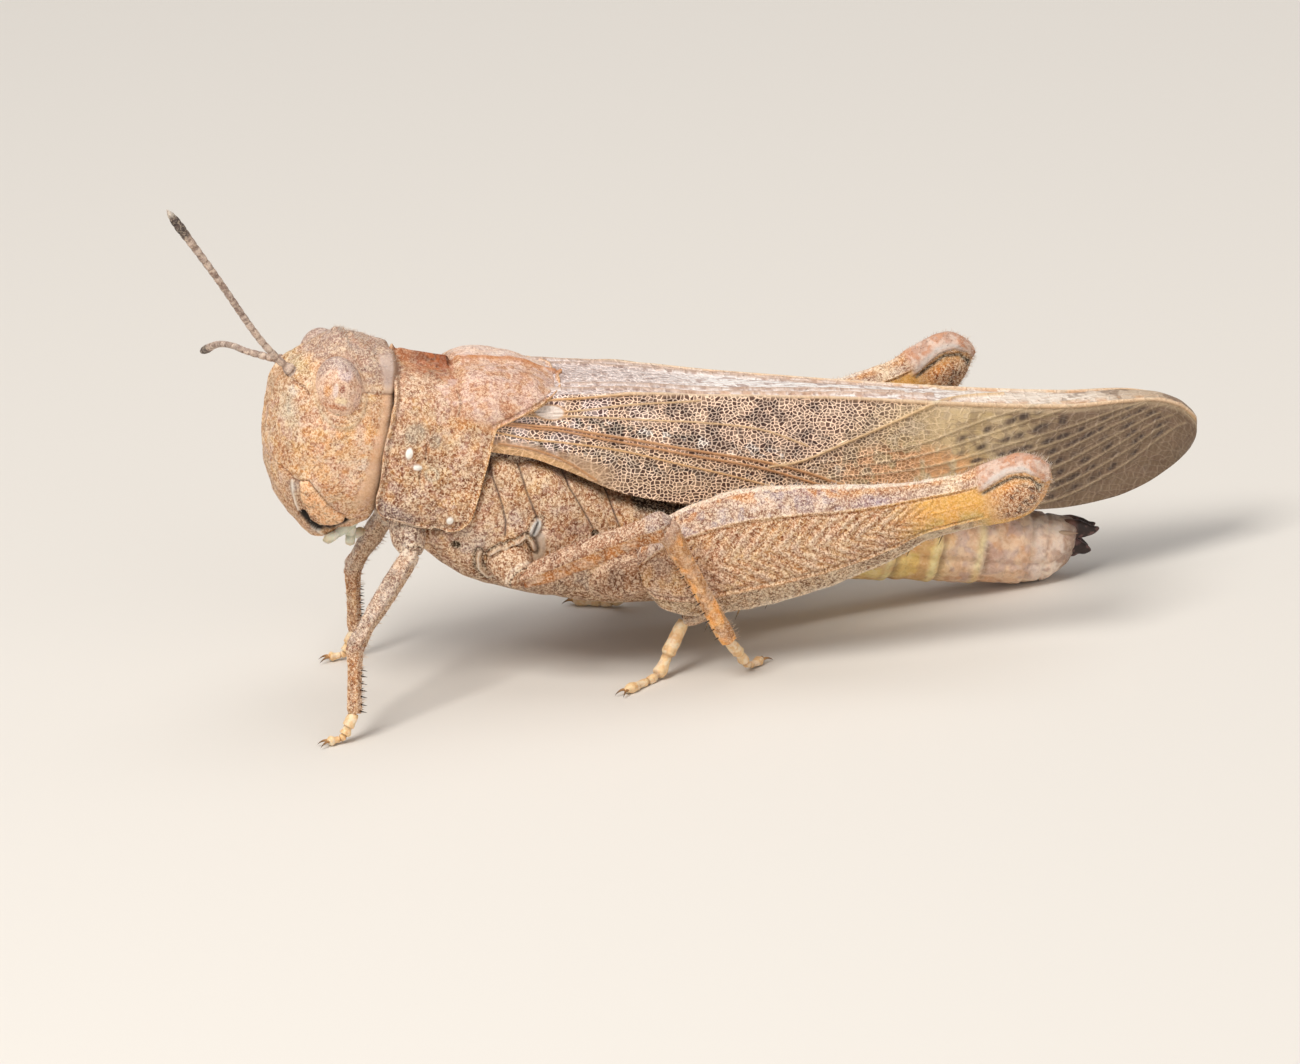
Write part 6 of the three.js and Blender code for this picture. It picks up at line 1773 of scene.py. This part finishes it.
for hand, flip in SIDES.items():
    folded = grid_piece(f"hindwing_fan_{hand}", fan_parts[0] * flip, wing_finish, fan_parts[1],
                        fan_parts[2], uv=fan_parts[3])
    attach(folded, "root")
    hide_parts(f"hindwing_{hand}")
print("pleats", PLEATS)

# %% [markdown]
# ## Walking legs
# The fore and middle legs have the same joints: a stout coxa, a ridged femur, a slim tibia with
# short black spines, and a foot of three segments on pale pads with two black claws. The femur
# runs a little past the knee, so that it caps the top of the tibia.

# %% Walking legs


DOWNY = []  # limbs that carry hairs: their points, tint and name
FOOT_ROWS = 130


def dressed(name, points, finish, tint, node, polish=0.0):
    """A wrapped limb made into a piece that rides on the animal and stands for a solid."""
    piece = grid_piece(name, points, finish, tint, polish, wrap=True, caps=True, trunk=False)
    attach(piece, "root")
    if node:
        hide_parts(node)
    return piece


def leg_tint(points, ground, second, seed, cover=0.45):
    """A ground colour with soft blotches of a second one."""
    return coats(
        ground,
        (second, patches(points, 0.45, seed, cover) * 0.75),
        ((0.78, 0.6, 0.46), patches(points, 0.3, seed + 1, 0.3) * 0.45),
    )


def ribs(count, depth, columns):
    """A wavy section that gives a limb its long ridges."""
    turn = 2 * math.pi * np.arange(columns) / columns
    return depth * np.cos(count * turn)[None]


def foot(name, ankle, landing, toe, node, thick=0.19):
    """Three tarsal segments with pads, and a pair of hooked claws."""
    ankle, landing, toe = (np.array(spot, float) for spot in (ankle, landing, toe))
    ahead = (toe - landing) / np.linalg.norm(toe - landing)
    sole, end = landing + ahead * 0.12 + (0, 0, 0.22), toe + (0, 0, 0.17)
    line = strand([ankle, ankle + (sole - ankle) * 0.55, sole, end], FOOT_ROWS)
    t = np.linspace(0, 1, FOOT_ROWS)
    notches = bell(t, 0.36, 0.018) + bell(t, 0.58, 0.018) + bell(t, 0.7, 0.014)
    width = through([[0, 0.8], [0.08, 1.0], [0.33, 1.12], [0.4, 0.8], [0.52, 1.05], [0.6, 0.7],
                     [0.8, 0.62], [0.92, 0.9], [1, 0.4]])(t)[0] * thick
    side = np.cross(end - sole, (0, 0, 1))
    skin = limb(line, width, width * 0.92, side, columns=40, power=2.3)
    groove = np.broadcast_to(-0.045 * notches[:, None], skin.shape[:2])
    skin = raised(skin, groove + 0.016 * swell(skin, 0.14, 91), True)
    skin[..., 2] = np.maximum(skin[..., 2], 0.012)
    tint = coats(
        (0.84, 0.62, 0.36),
        ((0.7, 0.42, 0.19), patches(skin, 0.22, 92, 0.42) * 0.6),
        ((0.92, 0.84, 0.68), patches(skin, 0.16, 93, 0.35) * 0.5),
        ((0.4, 0.22, 0.1), np.clip(notches, 0, 1)[:, None] * 0.7),
    )
    dressed(name, skin, foot_finish, tint, node, 0.2)
    across = np.array([-ahead[1], ahead[0], 0])
    roots = np.array([end + across * hand * 0.06 - ahead * 0.05 for hand in (-1, 1)])
    tips = np.array([end + across * hand * 0.2 + ahead * 0.33 for hand in (-1, 1)])
    tips[:, 2] = 0.05
    claws = spikes(f"{name}_claws", roots, tips, 0.06, horn_finish, (0.5, 0.26, 0.1),
                   (0.03, 0.02, 0.015), sag=-0.16, sides=12, rings=9)
    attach(claws, "root")


LEGS = {
    "foreleg_left": dict(hip=tilted((1.55, -2.55, -1.9)), trochanter=(2.25, -8.5, 5.35),
                         knee=(4.2, -11.05, 3.1),
                         ankle=(4.88, -11.42, 0.95), landing=(4.98, -11.8, 0), toe=(5.05, -12.45, 0),
                         coxa=0.6, femur=(0.34, 0.36, 0.3), tibia=(0.26, 0.22)),
    "foreleg_right": dict(hip=tilted((1.55, -2.55, -1.9)), trochanter=(2.1, -8.55, 5.3),
                          knee=(3.3, -9.75, 3.15),
                          ankle=(3, -9.95, 0.95), landing=(2.95, -10.3, 0), toe=(3, -10.95, 0),
                          coxa=0.6, femur=(0.34, 0.36, 0.3), tibia=(0.26, 0.22)),
    "midleg_left": dict(hip=tilted((2.1, 0.9, -2.35)), trochanter=(3.15, -4.95, 4.1),
                        knee=(5.5, -0.35, 6.08),
                        ankle=(5.15, 1.47, 1.48), landing=(4.4, 2.1, 0), toe=(3.85, 2.75, 0),
                        coxa=0.82, femur=(0.38, 0.47, 0.46), tibia=(0.35, 0.27)),
}
LEGS["midleg_right"] = LEGS["midleg_left"]
LEG_GREYS = {  # kind of leg: pale and dark tint of its coxa
    "foreleg": ((0.5, 0.4, 0.35), (0.3, 0.2, 0.16)),
    "midleg": ((0.54, 0.34, 0.21), (0.38, 0.22, 0.13)),
}
COXA_ROWS, COXA_COLUMNS = 90, 60
LIMB_ROWS, FEMUR_COLUMNS, TIBIA_COLUMNS = 220, 64, 48


def walking_leg(name, joints, seed):
    """Coxa, femur, tibia with spines, and foot of one fore or middle leg."""
    kind, hand = name.split("_")
    flip = SIDES[hand]
    hip, trochanter, knee, ankle, landing, toe = (
        np.array(joints[key]) * flip for key in ("hip", "trochanter", "knee", "ankle", "landing",
                                                 "toe"))
    t = np.linspace(0, 1, COXA_ROWS)
    deep = hip - 0.4 * (trochanter - hip)
    girth = through([[0, 1], [0.6, 0.92], [0.85, 0.72], [1, 0.5]])(t)[0] * joints["coxa"]
    coxa = limb(strand([deep, hip, trochanter], COXA_ROWS), girth, girth, (0, 0, 1), columns=COXA_COLUMNS)
    coxa = raised(coxa, 0.04 * swell(coxa, 0.5, seed) + ribs(3, 0.05, COXA_COLUMNS), True)
    grey, dusk = LEG_GREYS[kind]
    tint = leg_tint(coxa, grey, dusk, seed)
    tint = blend(tint, (0.84, 0.76, 0.66), bell(t, 0.9, 0.035)[:, None] * 0.8)
    tint = blend(tint, (0.08, 0.05, 0.04), bell(t, 0.965, 0.02)[:, None] * 0.85)
    dressed(f"{kind}_coxa_skin_{hand}", coxa, thorax_finish, tint, f"{kind}_coxa_{hand}")

    root, belly, end = joints["femur"]
    t = np.linspace(0, 1, LIMB_ROWS)
    girth = through([[0, root * 0.8], [0.06, root], [0.4, belly], [0.8, end * 0.92], [0.93, end * 1.08],
                     [0.98, end * 0.9], [1, end * 0.45]])(t)[0]
    beyond = knee + (knee - trochanter) * (0.5 * end / np.linalg.norm(knee - trochanter))
    line = strand([trochanter, (trochanter + beyond) / 2 + (0, 0, 0.04), beyond], LIMB_ROWS)
    femur = limb(line, girth, girth * 0.88, (0, 0, 1), columns=FEMUR_COLUMNS)
    femur = raised(femur, ribs(5, 0.035, FEMUR_COLUMNS) + 0.02 * swell(femur, 0.25, seed + 1), True)
    top = smooth(-0.1, 0.15, (femur[..., 2] - line[:, None, 2]) / 0.4)
    along = np.broadcast_to(t[:, None], top.shape)
    if kind == "foreleg":
        tint = leg_tint(femur, (0.6, 0.48, 0.41), (0.34, 0.24, 0.2), seed + 2, 0.5)
        tint = coats(
            tint,
            ((0.6, 0.38, 0.2), smooth(0.4, 0.0, top) * 0.5),
            ((0.88, 0.82, 0.74), bell(along, 0.06, 0.05) * 0.7),
        )
    else:
        tint = leg_tint(femur, (0.54, 0.23, 0.07), (0.32, 0.13, 0.05), seed + 2)
        tint = coats(
            tint,
            (leg_tint(femur, (0.46, 0.27, 0.18), (0.3, 0.17, 0.12), seed + 3), top * 0.85),
            ((0.92, 0.56, 0.22), bell(top, 0.45, 0.12) * 0.65),
            ((0.5, 0.4, 0.38), smooth(0.84, 0.9, along) * top * 0.85),
        )
    tint = blend(tint, (0.24, 0.13, 0.09), bell(along, 0.972, 0.014) * 0.8)
    dressed(f"{kind}_femur_skin_{hand}", femur, leg_finish, tint, f"{kind}_femur_{hand}",
            0.0 if kind == "foreleg" else 0.25 * (1 - top))
    DOWNY.append((femur, tint, f"{kind}_femur_{hand}"))

    shin, cuff = joints["tibia"]
    girth = through([[0, shin * 0.9], [0.05, shin * 1.15], [0.14, shin], [0.6, cuff],
                     [0.93, cuff * 1.08], [1, cuff * 0.9]])(t)[0]
    bow = (knee - ankle) / np.linalg.norm(knee - ankle)
    line = strand([knee, (knee + ankle) / 2, ankle], LIMB_ROWS)
    tibia = limb(line, girth, girth, (1, 0, 0), columns=TIBIA_COLUMNS)
    tibia = raised(tibia, ribs(4, 0.02, TIBIA_COLUMNS) + 0.012 * swell(tibia, 0.2, seed + 4), True)
    ground = (0.54, 0.3, 0.15) if kind == "foreleg" else (0.94, 0.46, 0.13)
    tint = leg_tint(tibia, ground, (0.38, 0.19, 0.09), seed + 5)
    tint = blend(tint, (0.8, 0.52, 0.28), np.clip(ribs(4, 0.5, TIBIA_COLUMNS) + 0.1, 0, 1))
    down_leg = np.broadcast_to(np.linspace(0, 1, LIMB_ROWS)[:, None], tint.shape[:2])
    tint = blend(tint, (0.48, 0.34, 0.28), smooth(0.16, 0.03, down_leg) * 0.75)
    shade = np.clip(ribs(2, 0.6, TIBIA_COLUMNS), 0, 1)
    tint = blend(tint, (0.52, 0.29, 0.2), shade * patches(tibia, 0.4, seed + 6, 0.6) * 0.5)
    dressed(f"{kind}_tibia_skin_{hand}", tibia, leg_finish, tint, f"{kind}_tibia_{hand}",
            0.0 if kind == "foreleg" else 0.4)
    DOWNY.append((tibia, tint, f"{kind}_tibia_{hand}"))

    count = 7 if kind == "foreleg" else 9
    random = np.random.default_rng(seed)
    parts = np.linspace(0.34, 0.95, count) + random.uniform(-0.012, 0.012, count)
    start = knee + (ankle - knee) * parts[:, None]
    facing = -np.sign(ankle[1] - knee[1])
    lean = np.array([0.45 * flip[0], facing, 0]) / math.hypot(0.45, 1)
    inner = lean * SIDES["right"]
    roots = np.vstack([start + lean * cuff * 0.7, start + inner * cuff * 0.7])
    tips = np.vstack([start + lean * (cuff + 0.24), start + inner * (cuff + 0.18)]) - bow * 0.07
    spines = spikes(f"{kind}_spines_{hand}", roots, tips, 0.034, horn_finish, (0.06, 0.04, 0.03),
                    (0.02, 0.015, 0.012), sag=0.03, sides=10, rings=6)
    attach(spines, "root")
    foot(f"{kind}_foot_{hand}", ankle, landing, toe, f"{kind}_tarsus_{hand}")


for number, (name, joints) in enumerate(LEGS.items()):
    walking_leg(name, joints, 101 + 10 * number)
print("walking legs", len(LEGS))

# %% [markdown]
# ## Hind thighs
# The jumping thigh is a flat spindle between two keels. Its outer face is framed by two thin
# ridges, and between them feather-like ridges run out from the middle line, as the muscles
# inside attach in that pattern. It ends in a golden, domed knee: a hood above, a dark crescent
# under the hood and one rounded lobe below.

# %% Thigh frame and sections
THIGH_ROOT, THIGH_KNEE = np.array([3.5, -1.0, 3.9]), np.array([6.6, 12.2, 5.95])
thigh_u = (THIGH_KNEE - THIGH_ROOT) / np.linalg.norm(THIGH_KNEE - THIGH_ROOT)
thigh_w = np.cross(thigh_u, (0, 0, 1))
thigh_w /= np.linalg.norm(thigh_w)
thigh_v = np.cross(thigh_w, thigh_u)
THIGH_AXES = np.stack([thigh_u, thigh_v, thigh_w])
thigh_rows = through([  # u along the thigh, upper keel, lower keel, half thickness
    [0, 0.55, -0.75, 0.45],
    [0.4, 1.0, -1.5, 0.55],
    [1.5, 1.68, -2.0, 0.74],
    [3.7, 2.0, -2.15, 0.92],
    [5.4, 1.8, -2.06, 0.98],
    [7.0, 1.43, -1.85, 0.93],
    [8.6, 1.08, -1.5, 0.8],
    [9.8, 0.9, -1.15, 0.66],
    [11.3, 0.82, -1.12, 0.58],
    [12.4, 0.95, -1.16, 0.62],
    [13.2, 1.04, -1.05, 0.68],
    [13.8, 0.86, -0.62, 0.6],
    [14.22, 0.4, -0.1, 0.34],
])
HOOD = [(11.7, 0.34), (11.89, 0.32), (12.42, 0.25), (12.92, 0.2), (13.49, 0.23), (13.88, 0.38),
        (14.05, 0.61)]
CRESCENT = [(11.92, 0.37), (12.46, 0.31), (13.09, 0.27), (13.62, 0.36), (13.78, 0.5), (13.84, 0.62)]
LOBE_CENTRE, LOBE_REACH = (12.95, 0.66), (1.0, 0.28)
THIGH_LENGTH = 14.25


def in_thigh(u, v, w):
    """Thigh frame to the floor frame, for the left leg."""
    return THIGH_ROOT + np.stack(np.broadcast_arrays(u, v, w), -1) @ THIGH_AXES


def thigh_grid(rows=364, half=130):
    """Wrapped rows of the thigh, and the place of each point: along, across (0 top, 1 low), outer."""
    u = THIGH_LENGTH * np.linspace(0, 1, rows)
    top, low, thick = thigh_rows(u)
    parts = np.linspace(0, 1, half)
    levels = np.array([0, 0.12, 0.34, 0.64, 0.84, 1])
    weights = batten([0, 0.14, 0.36, 0.64, 0.84, 1], parts)
    v = top[:, None] * (1 - levels) + low[:, None] * levels
    w = thick[:, None] * np.array([0.1, 0.7, 0.98, 1, 0.74, 0.22])
    v, w = v @ weights.T, w @ weights.T
    v2, w2 = np.concatenate([v, v[:, ::-1]], 1), np.concatenate([w, -w[:, ::-1]], 1)
    across = np.broadcast_to(np.concatenate([parts, parts[::-1]]), v2.shape)
    outer = np.broadcast_to(np.concatenate([np.ones(half), np.zeros(half)]), v2.shape)
    return in_thigh(u[:, None], v2, w2), np.broadcast_to(u[:, None], v2.shape), across, outer


def herringbone(points, u, across):
    """0 to 1 bars that run out from the middle line and point to the hip, and the gaps between."""
    uneven = 0.12 * swell(points, 0.6, 118) + 0.05 * swell(points, 0.2, 119)
    phase = (u + uneven - np.abs(across - 0.5) * 5.0) / 0.56
    bar = 1 - np.abs((phase % 1) - 0.5) * 2
    field = smooth(0.24, 0.28, across) * smooth(0.78, 0.73, across)
    field = field * smooth(0.9, 1.8, u) * smooth(11.0, 9.0, u)
    return smooth(0.45, 0.8, bar) * field, smooth(0.25, 0.05, bar) * field


def knee_marks(u, across):
    """Masks of the knee: the hood over it, the crescent under the hood, and the round lobe."""
    knee = smooth(11.7, 12.0, u)
    rim = np.interp(u, *np.array(HOOD).T)
    hood = smooth(rim + 0.012, rim - 0.012, across) * knee
    crescent = bell(near_line(u, across * 2.2, np.array(CRESCENT) * (1, 2.2)), 0, 0.07) * knee
    lobe = np.hypot((u - LOBE_CENTRE[0]) / LOBE_REACH[0], (across - LOBE_CENTRE[1]) / LOBE_REACH[1])
    return hood, crescent, lobe, smooth(11.6, 12.3, u)


def thigh_relief(points, u, across, outer):
    """Keels, framing ridges, feather ridges and the knee's folds."""
    shaft = smooth(12.0, 11.4, u)
    bar, gap = herringbone(points, u, across)
    relief = 0.038 * bar * (0.35 + 0.65 * outer) - 0.03 * gap
    relief += 0.06 * bell(across, 0.225, 0.013) * shaft + 0.06 * bell(across, 0.79, 0.013) * shaft
    relief += 0.02 * bell(across, 0.5, 0.014) * shaft
    relief -= 0.035 * bell(across, 0.255, 0.016) * shaft + 0.035 * bell(across, 0.76, 0.016) * shaft
    hood, crescent, lobe, knee = knee_marks(u, across)
    relief += 0.07 * hood - 0.06 * crescent + knee * smooth(1.15, 0.6, lobe) * 0.09 * (1 - hood)
    relief += 0.035 * bell(u, 11.72, 0.12) * smooth(0.45, 0.2, across)
    return relief + 0.022 * swell(points, 0.3, 111) + 0.02 * swell(points, 0.8, 112)


def paint_thigh(points, u, across):
    """Bands and blotches of the thigh, from the hip to the knee."""
    bar, gap = herringbone(points, u, across)
    shaft = smooth(12, 11, u)
    tint = blend((0.6, 0.36, 0.19), (0.66, 0.42, 0.2), patches(points, 0.35, 113, 0.5) * 0.6)
    tint = dappled(tint, points, 160, 0.6)
    gold = smooth(8.4, 10.2, u) * smooth(12.4, 11.8, u) * smooth(0.2, 0.3, across)
    upper = smooth(0.235, 0.215, across)
    band = coats(
        (0.42, 0.27, 0.2),
        ((0.67, 0.5, 0.4), patches(points, 0.28, 114, 0.36) * 0.8),
        ((0.86, 0.76, 0.69), patches(points, 0.5, 128, 0.3) * 0.55),
        ((0.64, 0.31, 0.12), patches(points, 0.4, 122, 0.45) * smooth(0.15, 0.05, across) * 0.85),
        ((0.42, 0.34, 0.38), patches(points, 0.32, 115, 0.36) * smooth(9.6, 8.8, u) * 0.65),
        ((0.5, 0.42, 0.52), bell(u, 8.3, 0.8) * bell(across, 0.17, 0.05) * 0.7),
        ((0.66, 0.36, 0.16), smooth(7.0, 8.2, u) * smooth(0.11, 0.05, across) * 0.6),
    )
    flange = smooth(0.8, 0.825, across)
    hood, crescent, lobe, knee = knee_marks(u, across)
    on_lobe = knee * smooth(1.15, 0.75, lobe) * smooth(12.1, 12.8, u)
    rim = np.interp(u, *np.array(HOOD).T)
    tint = coats(
        tint,
        ((0.64, 0.5, 0.39), bar * 0.45),
        ((0.4, 0.18, 0.07), gap * (0.35 + 0.5 * patches(points, 0.3, 120, 0.6))),
        ((0.5, 0.36, 0.3), smooth(4.0, 1.5, u) * patches(points, 0.6, 116, 0.45) * 0.5),
        ((0.86, 0.47, 0.1), gold * 0.85),
        ((0.5, 0.42, 0.16), gold * smooth(0.5, 0.75, across) * patches(points, 0.5, 121, 0.5) * 0.6),
        (band, upper),
        ((0.78, 0.6, 0.4), bell(across, 0.225, 0.01) * shaft * 0.7),
        ((0.4, 0.19, 0.08), bell(across, 0.252, 0.014) * shaft * 0.75),
        ((0.76, 0.42, 0.1), bell(across, 0.235, 0.02) * smooth(6.5, 9, u) * shaft * 0.7),
        # the pale line along the top keel is partly its own colour and partly a painted highlight
        ((0.86, 0.76, 0.66), smooth(0.03, 0.012, across) * shaft * 0.9),
        ((0.56, 0.46, 0.34), flange * shaft * 0.85),
        ((0.24, 0.15, 0.09), flange * shaft * patches(points, 0.26, 127, 0.36) * 0.7),
        ((0.62, 0.44, 0.25), flange * smooth(3.0, 1.0, u) * patches(points, 0.3, 123, 0.6) * 0.6),
        ((0.84, 0.74, 0.6), smooth(0.96, 0.985, across) * shaft * 0.85),
        ((0.7, 0.46, 0.27), bell(across, 0.79, 0.01) * shaft * 0.7),
        ((0.26, 0.15, 0.09), bell(across, 0.762, 0.012) * shaft * 0.5),
        ((0.82, 0.68, 0.5), bell(u, 10.95, 0.36) * smooth(0.26, 0.2, across) * 0.85),
        ((0.74, 0.42, 0.17), knee * 0.85),
        ((0.54, 0.31, 0.18), on_lobe * 0.85),
        ((0.17, 0.1, 0.07), on_lobe * patches(points, 0.22, 124, 0.35) * 0.75),
        ((0.8, 0.62, 0.46), knee * bell(lobe, 1.0, 0.05) * smooth(13.2, 13.5, u) * 0.3),
        ((0.78, 0.46, 0.12), knee * smooth(0.86, 0.93, across) * smooth(13.6, 13.2, u) * 0.8),
        ((0.8, 0.38, 0.1), bell(np.hypot((u - 12.75) / 0.36, (across - 0.4) / 0.07), 0, 1) * 0.9),
        ((0.54, 0.33, 0.25), hood * 0.95),
        ((0.56, 0.26, 0.14), hood * patches(points, 0.3, 125, 0.45) * 0.7),
        ((0.78, 0.62, 0.52), hood * patches(points, 0.2, 126, 0.35) * 0.6),
        ((0.6, 0.54, 0.5), knee * bell(across, rim - 0.05, 0.04) * smooth(14.0, 13.6, u) * 0.9),
        ((0.78, 0.7, 0.62), knee * bell(across, rim, 0.014) * 0.7),
        ((0.1, 0.085, 0.06), crescent * (1 - hood) * 0.95),
        ((0.03, 0.025, 0.02), bell(np.hypot((u - 13.84) / 0.14, (across - 0.6) / 0.07), 0, 1) * 0.95),
    )
    polish = 0.55 * gold + knee * 0.35 + hood * 0.35 - on_lobe * 0.35
    return tint, np.clip(polish + 0.15 * upper, 0, 0.85)


thigh, thigh_along, thigh_across, thigh_outer = thigh_grid()
thigh_points = raised(thigh, thigh_relief(thigh, thigh_along, thigh_across, thigh_outer), wrap=True)
thigh_tint, thigh_polish = paint_thigh(thigh, thigh_along, thigh_across)
for hand, flip in SIDES.items():
    dressed(f"hindleg_femur_skin_{hand}", thigh_points * flip, thigh_finish, thigh_tint,
            f"hindleg_femur_{hand}", thigh_polish)
print("thigh grid", thigh_points.shape)

# %% [markdown]
# ## Hind shins, hips and feet
# At rest the long shin is folded under the thigh, with its two rows of spines hanging down. The
# foot rests just beside the hip, where the shin ends.

# %% Hind hips, shins and feet
SHIN_TOP, SHIN_END = in_thigh(12.7, -0.62, -0.5), in_thigh(0.9, -2.3, -0.5)
HIND_LANDING, HIND_TOE = np.array([3.75, -0.75, 0]), np.array([4.75, -2.15, 0])
hind_hip = tilted((2.35, 4.75, -2.55))
hip_end = in_thigh(0.25, -0.3, 0)
for hand, flip in SIDES.items():
    t = np.linspace(0, 1, 110)
    line = strand([hind_hip - 0.7 * (hip_end - hind_hip), hind_hip, hip_end], 110)
    wide, deep = through([[0, 1.02, 0.92], [0.6, 0.95, 0.85], [1, 0.55, 0.5]])(t)
    hip = limb(line, wide, deep, (0, 1, 0), columns=70)
    hip = raised(hip, 0.05 * swell(hip, 0.55, 121) + ribs(2, 0.04, 70), True)
    # the hind hip's dark tint is partly its own colour and partly painted shade beside the thigh root
    dressed(f"hindleg_coxa_skin_{hand}", hip * flip, thorax_finish,
            leg_tint(hip, (0.48, 0.29, 0.18), (0.32, 0.19, 0.13), 122), f"hindleg_coxa_{hand}")
    t = np.linspace(0, 1, 360)
    wide, deep = through([[0, 0.3, 0.38], [0.05, 0.27, 0.32], [0.14, 0.2, 0.23], [0.85, 0.2, 0.21],
                          [0.96, 0.27, 0.26], [1, 0.2, 0.2]])(t)
    shin = limb(strand([SHIN_TOP, (SHIN_TOP + SHIN_END) / 2, SHIN_END], 360), wide, deep, thigh_w,
                columns=48)
    shin = raised(shin, ribs(4, 0.015, 48) + 0.012 * swell(shin, 0.25, 123), True)
    tint = leg_tint(shin, (0.66, 0.56, 0.46), (0.5, 0.38, 0.26), 124)
    dressed(f"hindleg_tibia_skin_{hand}", shin * flip, leg_finish, tint, f"hindleg_tibia_{hand}")
    run = (SHIN_END - SHIN_TOP) / np.linalg.norm(SHIN_END - SHIN_TOP)
    random = np.random.default_rng(71)
    roots, tips = [], []
    for splay in (-1, 0.25):
        parts = 0.2 + 0.088 * np.arange(9) + random.uniform(-0.006, 0.006, 9)
        start = SHIN_TOP + (SHIN_END - SHIN_TOP) * parts[:, None]
        aside = run * 0.5 - thigh_v * 0.6 + thigh_w * splay * 0.42
        roots.append(start + aside * 0.16)
        tips.append(start + aside)
    spines = spikes(f"hindleg_spines_{hand}", np.vstack(roots) * flip, np.vstack(tips) * flip, 0.055,
                    horn_finish, (0.68, 0.48, 0.28), (0.02, 0.015, 0.012), sides=10, rings=7)
    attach(spines, "root")
    foot(f"hindleg_foot_{hand}", SHIN_END * flip, HIND_LANDING * flip, HIND_TOE * flip,
         f"hindleg_tarsus_{hand}", 0.22)
print("hind shin", round(float(np.linalg.norm(SHIN_END - SHIN_TOP)), 2), "mm")

# %% [markdown]
# ## Down
# Crown, legs and thighs carry short pale hairs, too few to hide the shell. Each hair is a thin
# curved cone rooted in the surface and tinted like its root. The second map gives every hair a
# tiny patch at its root's place on the unrolled plate, so that a baked picture stays true.

# %% Hairs
PATCH = 0.003


def down(name, points, tint, share, count, length, seed, trunk=False, lean=(0.0, 0.5, 0.25)):
    """Hairs scattered over a wrapped grid where the share is high; lengths in millimetres."""
    random = np.random.default_rng(seed)
    weight = np.broadcast_to(share, points.shape[:2]).ravel()
    place = random.choice(weight.size, count, p=weight / weight.sum())
    normal = outward(points, True).reshape(-1, 3)[place]
    roots = points.reshape(-1, 3)[place] - 0.01 * normal
    run = length * random.uniform(0.5, 1.0, (count, 1))
    tips = roots + run * (normal + np.array(lean) + random.normal(0, 0.22, (count, 3)))
    if trunk:
        roots, tips = tilted(roots), tilted(tips)
    sides, rings = 3, 3
    block = sides * rings + 1
    own = np.repeat(tint.reshape(-1, 3)[place], block, 0)
    hairs = spikes(name, roots, tips, 0.011, hair_finish, own, (0.9, 0.82, 0.72), 0.1, sides, rings)
    mesh = hairs.data
    vertex = np.zeros(len(mesh.loops), np.int32)
    mesh.loops.foreach_get("vertex_index", vertex)
    inner = np.zeros(2 * len(vertex), np.float32)
    mesh.uv_layers["plate_map"].data.foreach_get("uv", inner)
    rows, columns = points.shape[:2]
    spot = np.stack([(place % columns + 0.5) / columns, (place // columns + 0.5) / rows], -1)
    baked = spot[vertex // block] + PATCH * (inner.reshape(-1, 2) - 0.5)
    layer = mesh.uv_layers.new(name="OFBake")
    layer.data.foreach_set("uv", baked.astype(np.float32).ravel())
    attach(hairs, "root")
    return count


hair_finish = shell("pale hair", 0.05, 0.2, 0.1, 0.3, 0.3, 0.2, 0.0, rough=0.6)
crown_share = 0.12 + smooth(3.0, 3.6, skull[..., 2]) + 0.5 * smooth(-6.6, -7.2, skull[..., 1])
hair_count = down("head_hairs", head_points, head_tint, crown_share, 1000, 0.13, 301, True)
edges = 0.15 + smooth(0.1, 0.02, thigh_across) + smooth(0.9, 0.98, thigh_across)
edges = edges + 0.6 * smooth(11.5, 12.5, thigh_along)
for hand, flip in SIDES.items():
    hair_count += down(f"thigh_hairs_{hand}", thigh_points * flip, thigh_tint, edges, 1700, 0.14, 302)
for number, (points, tint, name) in enumerate(DOWNY):
    hair_count += down(f"{name}_hairs", points, tint, 1.0, 260, 0.17, 310 + number)
print("hairs", hair_count)
